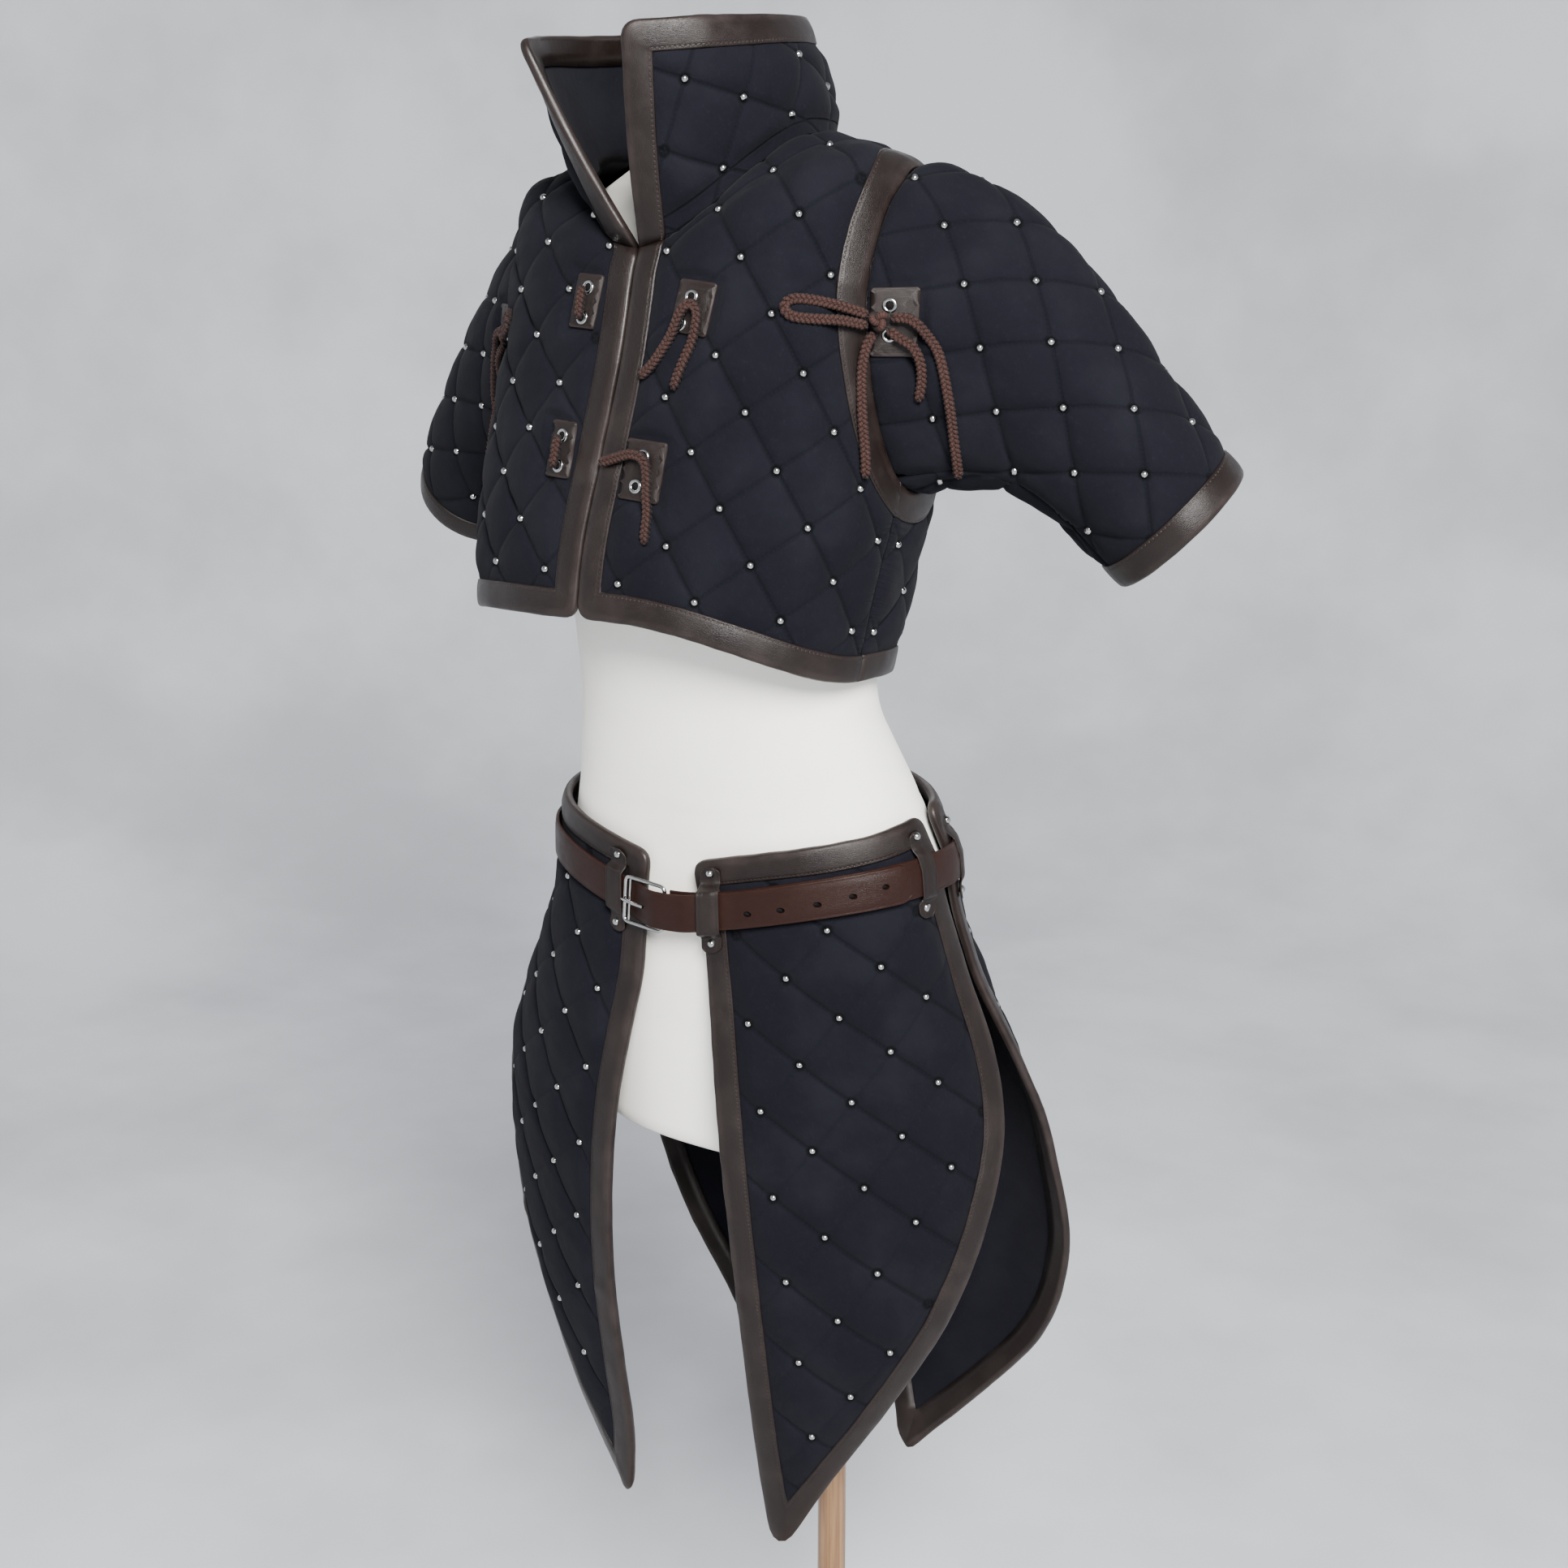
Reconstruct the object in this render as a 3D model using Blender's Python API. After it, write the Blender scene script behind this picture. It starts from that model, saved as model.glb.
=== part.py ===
"""Quilted gambeson on a dress form.

A cropped jacket and a belted skirt of four pointed panels, both quilted in
diamonds and bound in leather, on a smooth limbless form with a pole and a
round base.  Metres, +Z up, the wearer's front faces -Y and the wearer's left
is +X.  The origin is on the underside of the base, below the middle of the
waist; the pole and its base stand a little behind and to the left of it.

Each cloth piece is a Cloth: a surface lofted through a short table, with a
flat pattern worked out from it.  Edges, binding widths and quilting are laid
out on the flat pattern and then carried back to the surface.
"""
import math

import bmesh
import bpy
import numpy as np
from mathutils.bvhtree import BVHTree
from mathutils.geometry import delaunay_2d_cdt

# ---------------------------------------------------------------- sizes
SEAM_GAP = 0.0003          # between two pieces that are sewn together
STITCHED = 0.0040          # thickness of the cloth at a stitched line or edge
PUFFED = 0.0085            # thickness at the middle of a quilted diamond
PRESSED = 0.0048           # thickness under the belt and under a patch
INSIDE_SPACING = 0.046     # spacing of the points of the plain inside
RIM_MARGIN = 0.009         # no raised point lies nearer to a rim

BINDING_WIDTH = 0.019      # leather folded over each edge
BINDING_LEATHER = 0.0012
BINDING_FOLD = 0.0008      # how far the fold stands out past the edge
BINDING_SPACING = 0.044    # between two stations of a binding
FRONT_INSET = 0.0027       # cloth edge to the centre front, for the two folds
CORNER_ROUNDING = 0.16     # share of a corner's mitre that is rounded away

BELT_WIDTH = 0.030
BELT_LEATHER = 0.0025
HIP_EASE = 0.0056          # form to the inside of the skirt panels at the hips
BELT_STAND_OFF = 0.0076    # inside of a panel to the inside of the belt
BELT_FRONT_Z = 0.903
BELT_SIDE_Z = 0.936
BELT_BACK_Z = 0.950

LACE_RADIUS = 0.0033
PATCH_LEATHER = 0.0015
PATCH_STAND_OFF = 0.0054   # inside of a cloth to the back of a patch on it
PATCH_PRESS = 0.024        # how far round a patch the quilting is held down

POLE_RADIUS = 0.0125
POLE_X = 0.057
POLE_Y = 0.047
BASE_RADIUS = 0.185
BASE_HEIGHT = 0.022

# ---------------------------------------------------------------- tables
# Inside of the jacket's body, from the hem to the neck.  Heights at the
# centre front, the side and the centre back, how far round the front keeps its
# height, half the width, the y of the front and the back, how square the ring
# is, its shift along x, and how much higher the wearer's left side hangs.
#       z front z side z back level half w y front y back square shift  tilt
JACKET = np.array([
    (1.137, 1.108, 1.066, 1.0, 0.160, -0.176, 0.071, 2.5, -0.021, -0.018),
    (1.190, 1.168, 1.140, 0.8, 0.167, -0.170, 0.080, 2.5, -0.017, -0.013),
    (1.248, 1.232, 1.220, 0.4, 0.172, -0.159, 0.087, 2.6, -0.009, -0.006),
    (1.313, 1.325, 1.315, 0.0, 0.163, -0.148, 0.093, 2.8, 0.001, 0.000),
    (1.358, 1.403, 1.390, 0.0, 0.161, -0.138, 0.090, 2.7, 0.003, 0.002),
    (1.379, 1.449, 1.436, 0.0, 0.156, -0.133, 0.078, 2.3, 0.003, 0.002),
    (1.389, 1.460, 1.458, 0.0, 0.127, -0.130, 0.062, 2.1, 0.004, 0.002),
    (1.397, 1.470, 1.472, 0.0, 0.088, -0.128, 0.047, 2.0, 0.004, 0.002)])

# Top edge of the collar, by the turn from the centre front round the
# wearer's left side.  The front stands open, its right corner leans out.
#     turn      x       y      z
COLLAR_TOP = np.array([
    (0.0, 0.024, -0.173, 1.539),
    (45.0, 0.063, -0.130, 1.544),
    (90.0, 0.074, -0.062, 1.552),
    (135.0, 0.051, 0.002, 1.561),
    (180.0, 0.000, 0.033, 1.565),
    (225.0, -0.056, 0.002, 1.562),
    (270.0, -0.081, -0.062, 1.553),
    (315.0, -0.080, -0.126, 1.545),
    (360.0, -0.060, -0.176, 1.535)])
COLLAR_BOW = 0.004         # how far the collar swells between its edges

# The dress form: height, half width, y of the front and the back, squareness
#        z     half w  y front  y back  square
FORM = np.array([
    (0.692, 0.146, -0.076, 0.102, 2.3),
    (0.800, 0.164, -0.086, 0.113, 2.3),
    (0.860, 0.170, -0.091, 0.117, 2.3),
    (0.940, 0.165, -0.091, 0.109, 2.3),
    (0.985, 0.152, -0.097, 0.099, 2.2),
    (1.060, 0.129, -0.112, 0.062, 2.1),
    (1.150, 0.131, -0.124, 0.060, 2.1),
    (1.240, 0.138, -0.136, 0.083, 2.2),
    (1.310, 0.144, -0.122, 0.086, 2.3),
    (1.370, 0.143, -0.096, 0.083, 2.3),
    (1.415, 0.141, -0.076, 0.070, 2.2),
    (1.449, 0.124, -0.062, 0.046, 2.1),
    (1.462, 0.094, -0.060, 0.034, 2.0),
    (1.474, 0.064, -0.060, 0.030, 2.0),
    (1.500, 0.052, -0.067, 0.037, 2.0)])
FORM_SIDES = 36

# Skirt panels, from the top edge to the tip: the ends of each row, how far
# the row swells out past its chord, and how much of it lies on the hips.
#    z inner x inner y inner z outer x outer y outer swell  on hips
SKIRT_FRONT_LEFT = np.array([
    (0.941, 0.021, -0.094, 0.976, 0.163, -0.003, 0.040, 1.00),
    (0.900, 0.029, -0.097, 0.925, 0.172, 0.006, 0.040, 1.00),
    (0.860, 0.035, -0.099, 0.875, 0.186, 0.024, 0.035, 0.60),
    (0.800, 0.043, -0.102, 0.800, 0.206, 0.044, 0.030, 0.15),
    (0.725, 0.050, -0.102, 0.725, 0.216, 0.046, 0.026, 0.00),
    (0.645, 0.058, -0.100, 0.650, 0.217, 0.022, 0.022, 0.00),
    (0.560, 0.064, -0.093, 0.575, 0.200, -0.004, 0.018, 0.00),
    (0.480, 0.068, -0.084, 0.500, 0.163, -0.028, 0.012, 0.00),
    (0.410, 0.070, -0.072, 0.425, 0.118, -0.048, 0.006, 0.00),
    (0.352, 0.074, -0.062, 0.355, 0.078, -0.060, 0.001, 0.00)])
SKIRT_FRONT_RIGHT = np.array([
    (0.941, 0.021, -0.094, 0.976, 0.163, -0.003, 0.040, 1.00),
    (0.900, 0.026, -0.097, 0.925, 0.174, 0.000, 0.040, 1.00),
    (0.850, 0.030, -0.100, 0.865, 0.203, -0.006, 0.035, 0.50),
    (0.790, 0.043, -0.103, 0.800, 0.228, -0.008, 0.028, 0.10),
    (0.720, 0.058, -0.103, 0.720, 0.247, -0.012, 0.022, 0.00),
    (0.640, 0.068, -0.100, 0.640, 0.242, -0.020, 0.018, 0.00),
    (0.560, 0.072, -0.094, 0.560, 0.222, -0.030, 0.014, 0.00),
    (0.480, 0.071, -0.084, 0.490, 0.185, -0.042, 0.010, 0.00),
    (0.410, 0.072, -0.072, 0.420, 0.140, -0.054, 0.005, 0.00),
    (0.343, 0.082, -0.062, 0.345, 0.086, -0.060, 0.001, 0.00)])
SKIRT_BACK_LEFT = np.array([
    (1.004, 0.012, 0.110, 0.978, 0.163, 0.022, 0.030, 1.00),
    (0.960, 0.018, 0.113, 0.925, 0.170, 0.030, 0.030, 1.00),
    (0.880, 0.028, 0.120, 0.865, 0.187, 0.052, 0.045, 0.60),
    (0.805, 0.040, 0.128, 0.800, 0.203, 0.072, 0.040, 0.15),
    (0.725, 0.050, 0.133, 0.735, 0.222, 0.088, 0.030, 0.00),
    (0.650, 0.058, 0.133, 0.675, 0.237, 0.099, 0.022, 0.00),
    (0.570, 0.065, 0.128, 0.600, 0.248, 0.105, 0.016, 0.00),
    (0.500, 0.074, 0.116, 0.525, 0.231, 0.103, 0.010, 0.00),
    (0.440, 0.084, 0.102, 0.460, 0.183, 0.098, 0.006, 0.00),
    (0.378, 0.107, 0.086, 0.381, 0.111, 0.087, 0.001, 0.00)])
SKIRT_BACK_RIGHT = np.array([
    (1.004, 0.012, 0.110, 0.978, 0.163, 0.022, 0.030, 1.00),
    (0.960, 0.018, 0.113, 0.925, 0.170, 0.030, 0.030, 1.00),
    (0.880, 0.022, 0.120, 0.865, 0.182, 0.055, 0.040, 0.60),
    (0.805, 0.024, 0.130, 0.800, 0.192, 0.084, 0.032, 0.15),
    (0.725, 0.024, 0.136, 0.735, 0.200, 0.104, 0.024, 0.00),
    (0.650, 0.022, 0.138, 0.675, 0.206, 0.116, 0.018, 0.00),
    (0.570, 0.018, 0.136, 0.600, 0.196, 0.122, 0.014, 0.00),
    (0.500, 0.016, 0.128, 0.525, 0.160, 0.120, 0.010, 0.00),
    (0.440, 0.018, 0.116, 0.460, 0.104, 0.112, 0.006, 0.00),
    (0.375, 0.036, 0.100, 0.378, 0.040, 0.101, 0.001, 0.00)])

# Stitched lines of the quilting on each flat pattern: one crossing, the turns
# of the lines one way and of the square on the others, and the sides of a
# diamond each way
#              u        v     first second  side 1 side 2
QUILTS = {
    "collar": (-0.0025, 0.0297, 51.0, 51.0, 0.047, 0.043),
    "front": (0.0005, -0.0031, 44.0, 38.0, 0.047, 0.044),
    "back": (0.0000, 0.0200, 45.0, 45.0, 0.047, 0.047),
    "sleeve": (0.0231, -0.0004, 44.0, 32.0, 0.047, 0.044),
    "skirt": (-0.0047, 0.0210, 43.0, 43.0, 0.050, 0.050)}

# Armhole: an oval on the side of the jacket, in turn and in rows
ARMHOLE_TURN = 98.0
ARMHOLE_HALF_TURN = 28.0
ARMHOLE_TOP_NARROW = 0.22  # share by which its top is narrower
ARMHOLE_ROW = 0.500
ARMHOLE_HALF_ROW = 0.222
SIDE_SEAM_TURN = 88.0
SHOULDER_SEAM_TURN = ARMHOLE_TURN

CUFF_CENTRE = np.array((0.340, 0.062, 1.202))
CUFF_OUTWARD = np.array((0.60, 0.38, -0.70))
CUFF_RADIUS = 0.053
SLEEVE_HEAD_INSET = 0.0080 # armhole edge to the sleeve's edge inside it
SLEEVE_HEAD_REACH = 0.095
SLEEVE_CUFF_REACH = 0.085


# ---------------------------------------------------------------- curves
def at_row(table, place):
    """Row of a table at a place from 0 (first) to 1 (last), smoothed."""
    place = np.clip(np.asarray(place, float), 0.0, 1.0) * (len(table) - 1)
    low = np.minimum(place.astype(int), len(table) - 2)
    t = (place - low)[..., None]
    rows = np.vstack([2 * table[0] - table[1], table, 2 * table[-1] - table[-2]])
    a, b, c, d = (rows[low + k] for k in range(4))
    return 0.5 * (2 * b + (c - a) * t + (2 * a - 5 * b + 4 * c - d) * t ** 2
                  + (3 * b - a - 3 * c + d) * t ** 3)


def ring_point(turn, half_width, front, back, square, shift=0.0):
    """Point of a rounded ring at a turn in degrees from its front."""
    angle = np.radians(turn)
    side, ahead = np.sin(angle), np.cos(angle)
    depth = (back - front) / 2
    reach = (np.abs(side / half_width) ** square
             + np.abs(ahead / depth) ** square) ** (-1 / square)
    return shift + reach * side, (front + back) / 2 - reach * ahead


def smooth_step(low, high, value):
    t = np.clip((value - low) / (high - low), 0.0, 1.0)
    return t * t * (3 - 2 * t)


def unit(vectors):
    return vectors / np.linalg.norm(vectors, axis=-1, keepdims=True)


def jacket_point(row, turn):
    """Point on the inside of the jacket's body."""
    r = at_row(JACKET, row)
    x, y = ring_point(turn, r[..., 4], r[..., 5], r[..., 6], r[..., 7], r[..., 8])
    ahead, aside = np.cos(np.radians(turn)), np.sin(np.radians(turn))
    end = np.where(ahead > 0, r[..., 0], r[..., 2])
    keep = ahead ** 2 * (1 + np.where(ahead > 0, r[..., 3], 0.0) * aside ** 2)
    z = end * keep + r[..., 1] * (1 - keep) + r[..., 9] * aside ** 3
    return np.stack([x, y, z], -1)


def seam_turn(row):
    """Turn of the seam between front and back: side below, shoulder above."""
    swing = smooth_step(ARMHOLE_ROW - 0.1, ARMHOLE_ROW + 0.1, row)
    return SIDE_SEAM_TURN + (SHOULDER_SEAM_TURN - SIDE_SEAM_TURN) * swing


def form_ring(height, turn, ease=0.0):
    """Point of the dress form at a height, moved out by an ease."""
    row = [np.interp(height, FORM[:, 0], FORM[:, k]) for k in range(1, 5)]
    x, y = ring_point(turn, row[0] + ease, row[1] - ease, row[2] + ease, row[3])
    return np.stack([x, y, np.broadcast_to(height, np.shape(x))], -1)


def belt_height(turn):
    """Height of the middle of the belt."""
    ahead = np.cos(np.radians(turn))
    level = np.where(ahead > 0, BELT_FRONT_Z, BELT_BACK_Z)
    return level * ahead ** 2 + BELT_SIDE_Z * (1 - ahead ** 2)


# ---------------------------------------------------------------- cloth
class Cloth:
    """A sheet of cloth through rows and columns, and its flat pattern."""
    ROWS = 33
    RELAX_STEPS = 60

    def __init__(self, point, columns, start_column, inside_point, hold=None):
        self.point = point
        self.first, self.last = columns
        self.rows = np.linspace(0, 1, self.ROWS)
        self.columns = np.linspace(self.first, self.last, self.ROWS)
        row, column = np.meshgrid(self.rows, self.columns, indexing="ij")
        self.grid = point(row, column)
        hold = np.ones_like(row) if hold is None else hold(row, column)
        self.flat = self.lay_flat(start_column, hold)
        middle = self.ROWS // 2
        here = np.array([[self.rows[middle], self.columns[middle]]])
        outward = point(*here.T)[0] - inside_point
        self.sign = 1.0
        self.sign = 1.0 if self.normal(here)[0] @ outward > 0 else -1.0

    def lay_flat(self, start_column, hold):
        """Flat pattern: every triangle of the grid turned into the plane, all
        joined with the least stretch.  Flat points are complex numbers here.
        What is cut away, as in an armhole, hardly holds."""
        across = np.linalg.norm(np.diff(self.grid, axis=1), axis=2)
        along = np.linalg.norm(np.diff(self.grid, axis=0), axis=2)
        u = np.hstack([np.zeros((self.ROWS, 1)), np.cumsum(across, 1)])
        at_start = np.array([np.interp(start_column, self.columns, r) for r in u])
        v = np.concatenate([[0], np.cumsum(along.mean(axis=1))])
        flat = ((u - at_start[:, None]) + 1j * v[:, None]).ravel()

        ids = np.arange(flat.size).reshape(self.ROWS, self.ROWS)
        a, b, c, d = ids[:-1, :-1], ids[:-1, 1:], ids[1:, 1:], ids[1:, :-1]
        corners = np.concatenate([np.stack(t, -1).reshape(-1, 3) for t in (
            (a, b, c), (a, c, d), (a, b, d), (b, c, d))])
        strength = hold.ravel()[corners].min(1)
        points = self.grid.reshape(-1, 3)[corners]
        first, second = points[:, 1] - points[:, 0], points[:, 2] - points[:, 0]
        base = np.linalg.norm(first, axis=1)
        reach = (second * first).sum(1) / base
        height = np.linalg.norm(np.cross(first, second), axis=1) / base
        shape = np.stack([0 * base + 0j, base + 0j, reach + 1j * height], 1)
        sides = shape - np.roll(shape, -1, axis=1)
        # the weight of a side is the cotangent of the angle across from it
        corner = np.roll(-sides, -2, axis=1), np.roll(sides, -1, axis=1)
        turn = np.conj(corner[0]) * corner[1]
        weights = np.maximum(-turn.real / np.abs(turn.imag), 0.05) * strength[:, None]
        after = np.roll(corners, -1, axis=1)
        system = np.zeros((flat.size, flat.size))
        for i, j in ((corners, corners), (after, after)):
            np.add.at(system, (i, j), weights)
        for i, j in ((corners, after), (after, corners)):
            np.add.at(system, (i, j), -weights)
        system[0, 0] += 1.0
        solved = np.linalg.inv(system)
        for _ in range(self.RELAX_STEPS):
            now = flat[corners] - flat[after]
            turned = (weights * now * np.conj(sides)).sum(1)
            wanted = weights * sides * (turned / np.abs(turned))[:, None]
            pulls = np.zeros(flat.size, complex)
            np.add.at(pulls, corners, wanted)
            np.add.at(pulls, after, -wanted)
            flat = solved @ pulls
        flat = flat.reshape(self.ROWS, self.ROWS)
        low, high = (np.interp(start_column, self.columns, row.real)
                     + 1j * np.interp(start_column, self.columns, row.imag)
                     for row in (flat[0], flat[-1]))
        flat = (flat - low) * 1j / ((high - low) / abs(high - low))
        return np.stack([flat.real, flat.imag], -1)

    def cell(self, places):
        """Grid cell and the position in it, for (row, column) places."""
        steps = self.ROWS - 1
        i = places[:, 0] * steps
        j = (places[:, 1] - self.first) / (self.last - self.first) * steps
        i0 = np.clip(np.floor(i).astype(int), 0, steps - 1)
        j0 = np.clip(np.floor(j).astype(int), 0, steps - 1)
        return i0, j0, (i - i0)[:, None], (j - j0)[:, None]

    def to_flat(self, places):
        i, j, s, t = self.cell(np.asarray(places, float))
        f = self.flat
        return ((1 - s) * (1 - t) * f[i, j] + (1 - s) * t * f[i, j + 1]
                + s * (1 - t) * f[i + 1, j] + s * t * f[i + 1, j + 1])

    def to_place(self, points):
        """Places on the sheet of points of the flat pattern."""
        points = np.asarray(points, float)
        nodes = self.flat.reshape(-1, 2)
        nearest = np.argmin(((points[:, None] - nodes[None]) ** 2).sum(2), axis=1)
        places = np.stack([self.rows[nearest // self.ROWS],
                           self.columns[nearest % self.ROWS]], 1)
        width = self.last - self.first
        for _ in range(12):
            i, j, s, t = self.cell(places)
            f = self.flat
            d_row = ((1 - t) * (f[i + 1, j] - f[i, j])
                     + t * (f[i + 1, j + 1] - f[i, j + 1])) * (self.ROWS - 1)
            d_col = ((1 - s) * (f[i, j + 1] - f[i, j])
                     + s * (f[i + 1, j + 1] - f[i + 1, j])) * (self.ROWS - 1) / width
            miss = points - self.to_flat(places)
            det = d_row[:, 0] * d_col[:, 1] - d_row[:, 1] * d_col[:, 0]
            step_row = (miss[:, 0] * d_col[:, 1] - miss[:, 1] * d_col[:, 0]) / det
            step_col = (d_row[:, 0] * miss[:, 1] - d_row[:, 1] * miss[:, 0]) / det
            places = places + np.clip(np.stack([step_row, step_col], 1), -0.2, 0.2)
        return places

    def surface(self, places):
        """Inside surface at places, carried on straight past the sheet's ends."""
        rows = np.clip(places[:, 0], 0, 1)
        columns = np.clip(places[:, 1], self.first, self.last)
        here = self.point(rows, columns)
        step = 1e-3
        back_row = np.where(places[:, 0] > 1, -step, step)
        back_col = np.where(places[:, 1] > self.last, -step, step)
        d_row = (self.point(rows + back_row, columns) - here) / back_row[:, None]
        d_col = (self.point(rows, columns + back_col) - here) / back_col[:, None]
        return (here + d_row * (places[:, 0] - rows)[:, None]
                + d_col * (places[:, 1] - columns)[:, None])

    def normal(self, places):
        """Outward direction of the surface at places."""
        step = 4e-3
        rows = np.clip(places[:, 0], step, 1 - step)
        columns = np.clip(places[:, 1], self.first + step, self.last - step)
        along = self.point(rows + step, columns) - self.point(rows - step, columns)
        across = self.point(rows, columns + step) - self.point(rows, columns - step)
        return unit(np.cross(across, along)) * self.sign


class Edge:
    """One edge of a pattern: its places in order, and how it is finished."""

    def __init__(self, name, places, bound=False, inset=SEAM_GAP / 2, stops=None,
                 spacing=BINDING_SPACING):
        self.name = name
        self.places = np.asarray(places, float)
        self.bound = bound
        self.inset = inset
        self.stops = stops
        self.spacing = spacing


def moved_in(line, distance):
    """A flat line moved to its left, the inner side of a pattern."""
    along = np.gradient(line, axis=0)
    inward = unit(np.stack([-along[:, 1], along[:, 0]], 1))
    return line + inward * distance


def lengthened(line, reach=0.12):
    first = line[0] + unit(line[0] - line[1]) * reach
    last = line[-1] + unit(line[-1] - line[-2]) * reach
    return np.vstack([first, line, last])


def crossing(one, other, near):
    """Where two flat lines cross, nearest to a point."""
    best, found = 1e9, near
    for a, b in zip(one[:-1], one[1:]):
        along, other_along = b - a, other[1:] - other[:-1]
        det = along[0] * other_along[:, 1] - along[1] * other_along[:, 0]
        det = np.where(np.abs(det) < 1e-15, 1e-15, det)
        gap = other[:-1] - a
        s = (gap[:, 0] * other_along[:, 1] - gap[:, 1] * other_along[:, 0]) / det
        t = (gap[:, 0] * along[1] - gap[:, 1] * along[0]) / det
        hits = (s >= 0) & (s <= 1) & (t >= 0) & (t <= 1)
        for k in np.nonzero(hits)[0]:
            point = a + along * s[k]
            distance = np.linalg.norm(point - near)
            if distance < best:
                best, found = distance, point
    return found


def nearest_on(line, point):
    """The point of a flat line nearest to another point."""
    a, b = line[:-1], line[1:]
    t = np.clip(((point - a) * (b - a)).sum(1) / ((b - a) ** 2).sum(1), 0, 1)
    feet = a + (b - a) * t[:, None]
    return feet[np.argmin(np.linalg.norm(feet - point, axis=1))]


def cut_between(line, start, end):
    """The stretch of a line between the points nearest to two others."""
    lengths = np.concatenate([[0], np.cumsum(np.linalg.norm(np.diff(line, axis=0), axis=1))])
    ends = []
    for point in (start, end):
        a, b = line[:-1], line[1:]
        t = np.clip(((point - a) * (b - a)).sum(1) / ((b - a) ** 2).sum(1), 0, 1)
        foot = a + (b - a) * t[:, None]
        k = np.argmin(np.linalg.norm(foot - point, axis=1))
        ends.append(lengths[k] + t[k] * (lengths[k + 1] - lengths[k]))
    return lengths, ends


def along_line(line, lengths, distances):
    return np.stack([np.interp(distances, lengths, line[:, k]) for k in (0, 1)], 1)


class Pattern:
    """The outline of a piece on the flat pattern of its cloth.

    The rim is a list of stations.  Each has an outer point P on the edge and
    an inner point Q, a binding's width in from a bound edge, or P itself.
    """

    def __init__(self, cloth, edges):
        self.cloth = cloth
        self.edges = edges
        count = len(edges)
        outer, inner = [], []
        for edge in edges:
            line = cloth.to_flat(edge.places)
            outer.append(lengthened(moved_in(line, edge.inset)))
            width = BINDING_WIDTH if edge.bound else 0.0
            inner.append(lengthened(moved_in(line, edge.inset + width)))
        self.stations = []
        corners = []
        for k in range(count):
            near = cloth.to_flat(edges[k].places[:1])[0]
            p = crossing(outer[k - 1], outer[k], near)
            q = crossing(inner[k - 1], inner[k], near)
            if edges[k].bound and edges[k - 1].bound:
                p = p + (q - p) * CORNER_ROUNDING
            corners.append((p, q))
        for k, edge in enumerate(edges):
            (p0, q0), (p1, q1) = corners[k], corners[(k + 1) % count]
            self.add(p0, q0, k)
            if edge.stops is not None:
                for point in cloth.to_flat(edge.stops):
                    foot = nearest_on(inner[k], point)
                    self.add(foot, foot, k)
                continue
            lengths, (start, end) = cut_between(inner[k], q0, q1)
            steps = max(1, round((end - start) / edge.spacing))
            distances = np.linspace(start, end, steps + 1)[1:-1]
            if len(distances) == 0:
                continue
            points = along_line(inner[k], lengths, distances)
            for point in points:
                self.add(nearest_on(outer[k], point) if edge.bound else point, point, k)
        self.p_place = cloth.to_place(np.array([s[0] for s in self.stations]))
        self.q_place = cloth.to_place(np.array([s[1] for s in self.stations]))

    def add(self, p, q, edge):
        self.stations.append((p, q, edge))

    def outline(self):
        """Inner points in order, which bound the quilted field."""
        return np.array([s[1] for s in self.stations])

    def area(self):
        p = np.array([s[0] for s in self.stations])
        x, y = p.T
        return abs(x @ np.roll(y, -1) - y @ np.roll(x, -1)) / 2


def outline_distance(points, outline):
    """Distance of points to an outline, negative outside it."""
    a, b = outline, np.roll(outline, -1, axis=0)
    x, y = points[:, 0, None], points[:, 1, None]
    crosses = ((a[:, 1] > y) != (b[:, 1] > y))
    slope = (b[:, 0] - a[:, 0]) / np.where(b[:, 1] == a[:, 1], 1e-12, b[:, 1] - a[:, 1])
    inside = (crosses & (x < a[:, 0] + slope * (y - a[:, 1]))).sum(1) % 2 == 1
    along = b - a
    length = np.maximum((along ** 2).sum(1), 1e-15)
    t = np.clip(((points[:, None] - a) * along).sum(2) / length, 0, 1)
    feet = a + along * t[..., None]
    distance = np.linalg.norm(points[:, None] - feet, axis=2).min(1)
    return np.where(inside, distance, -distance)


def lattice(outline, quilt, steps=2):
    """Points of a quilting pattern, and how high each puffs.

    With two steps a side, a point with two even counts is a crossing of the
    stitched lines, one odd count is the middle of a line, two odd counts
    are the middle of a diamond.
    """
    origin = np.array(quilt[:2])
    first, second = math.radians(quilt[2]), math.radians(quilt[3])
    one = np.array((math.cos(first), math.sin(first))) * quilt[4] / steps
    two = np.array((-math.sin(second), math.cos(second))) * quilt[5] / steps
    reach = int(np.abs(outline - origin).max() * 1.5 / min(quilt[4:]) * steps) + 2
    i, j = np.meshgrid(np.arange(-reach, reach + 1), np.arange(-reach, reach + 1))
    i, j = i.ravel(), j.ravel()
    points = origin + i[:, None] * one + j[:, None] * two
    middle = (i % 2 == 1) & (j % 2 == 1)
    return points, middle.astype(float)


def plain_grid(outline, spacing):
    low, high = outline.min(0), outline.max(0)
    rows = np.arange(low[1], high[1], spacing * 0.866)
    points = []
    for k, y in enumerate(rows):
        for x in np.arange(low[0] + spacing / 2 * (k % 2), high[0], spacing):
            points.append((x, y))
    return np.array(points).reshape(-1, 2)


def fill(outline, points):
    """Triangles over an outline and the points inside it."""
    everything = [tuple(p) for p in outline] + [tuple(p) for p in points]
    from_outline = list(range(len(outline)))
    done = delaunay_2d_cdt(everything, [], [from_outline], 0, 1e-7, True)
    source = [ids[0] for ids in done[3]]
    faces = np.array([[source[v] for v in face] for face in done[2]])
    middles = np.array(everything)[faces].mean(axis=1)
    return faces[outline_distance(middles, outline) > 0]


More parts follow.
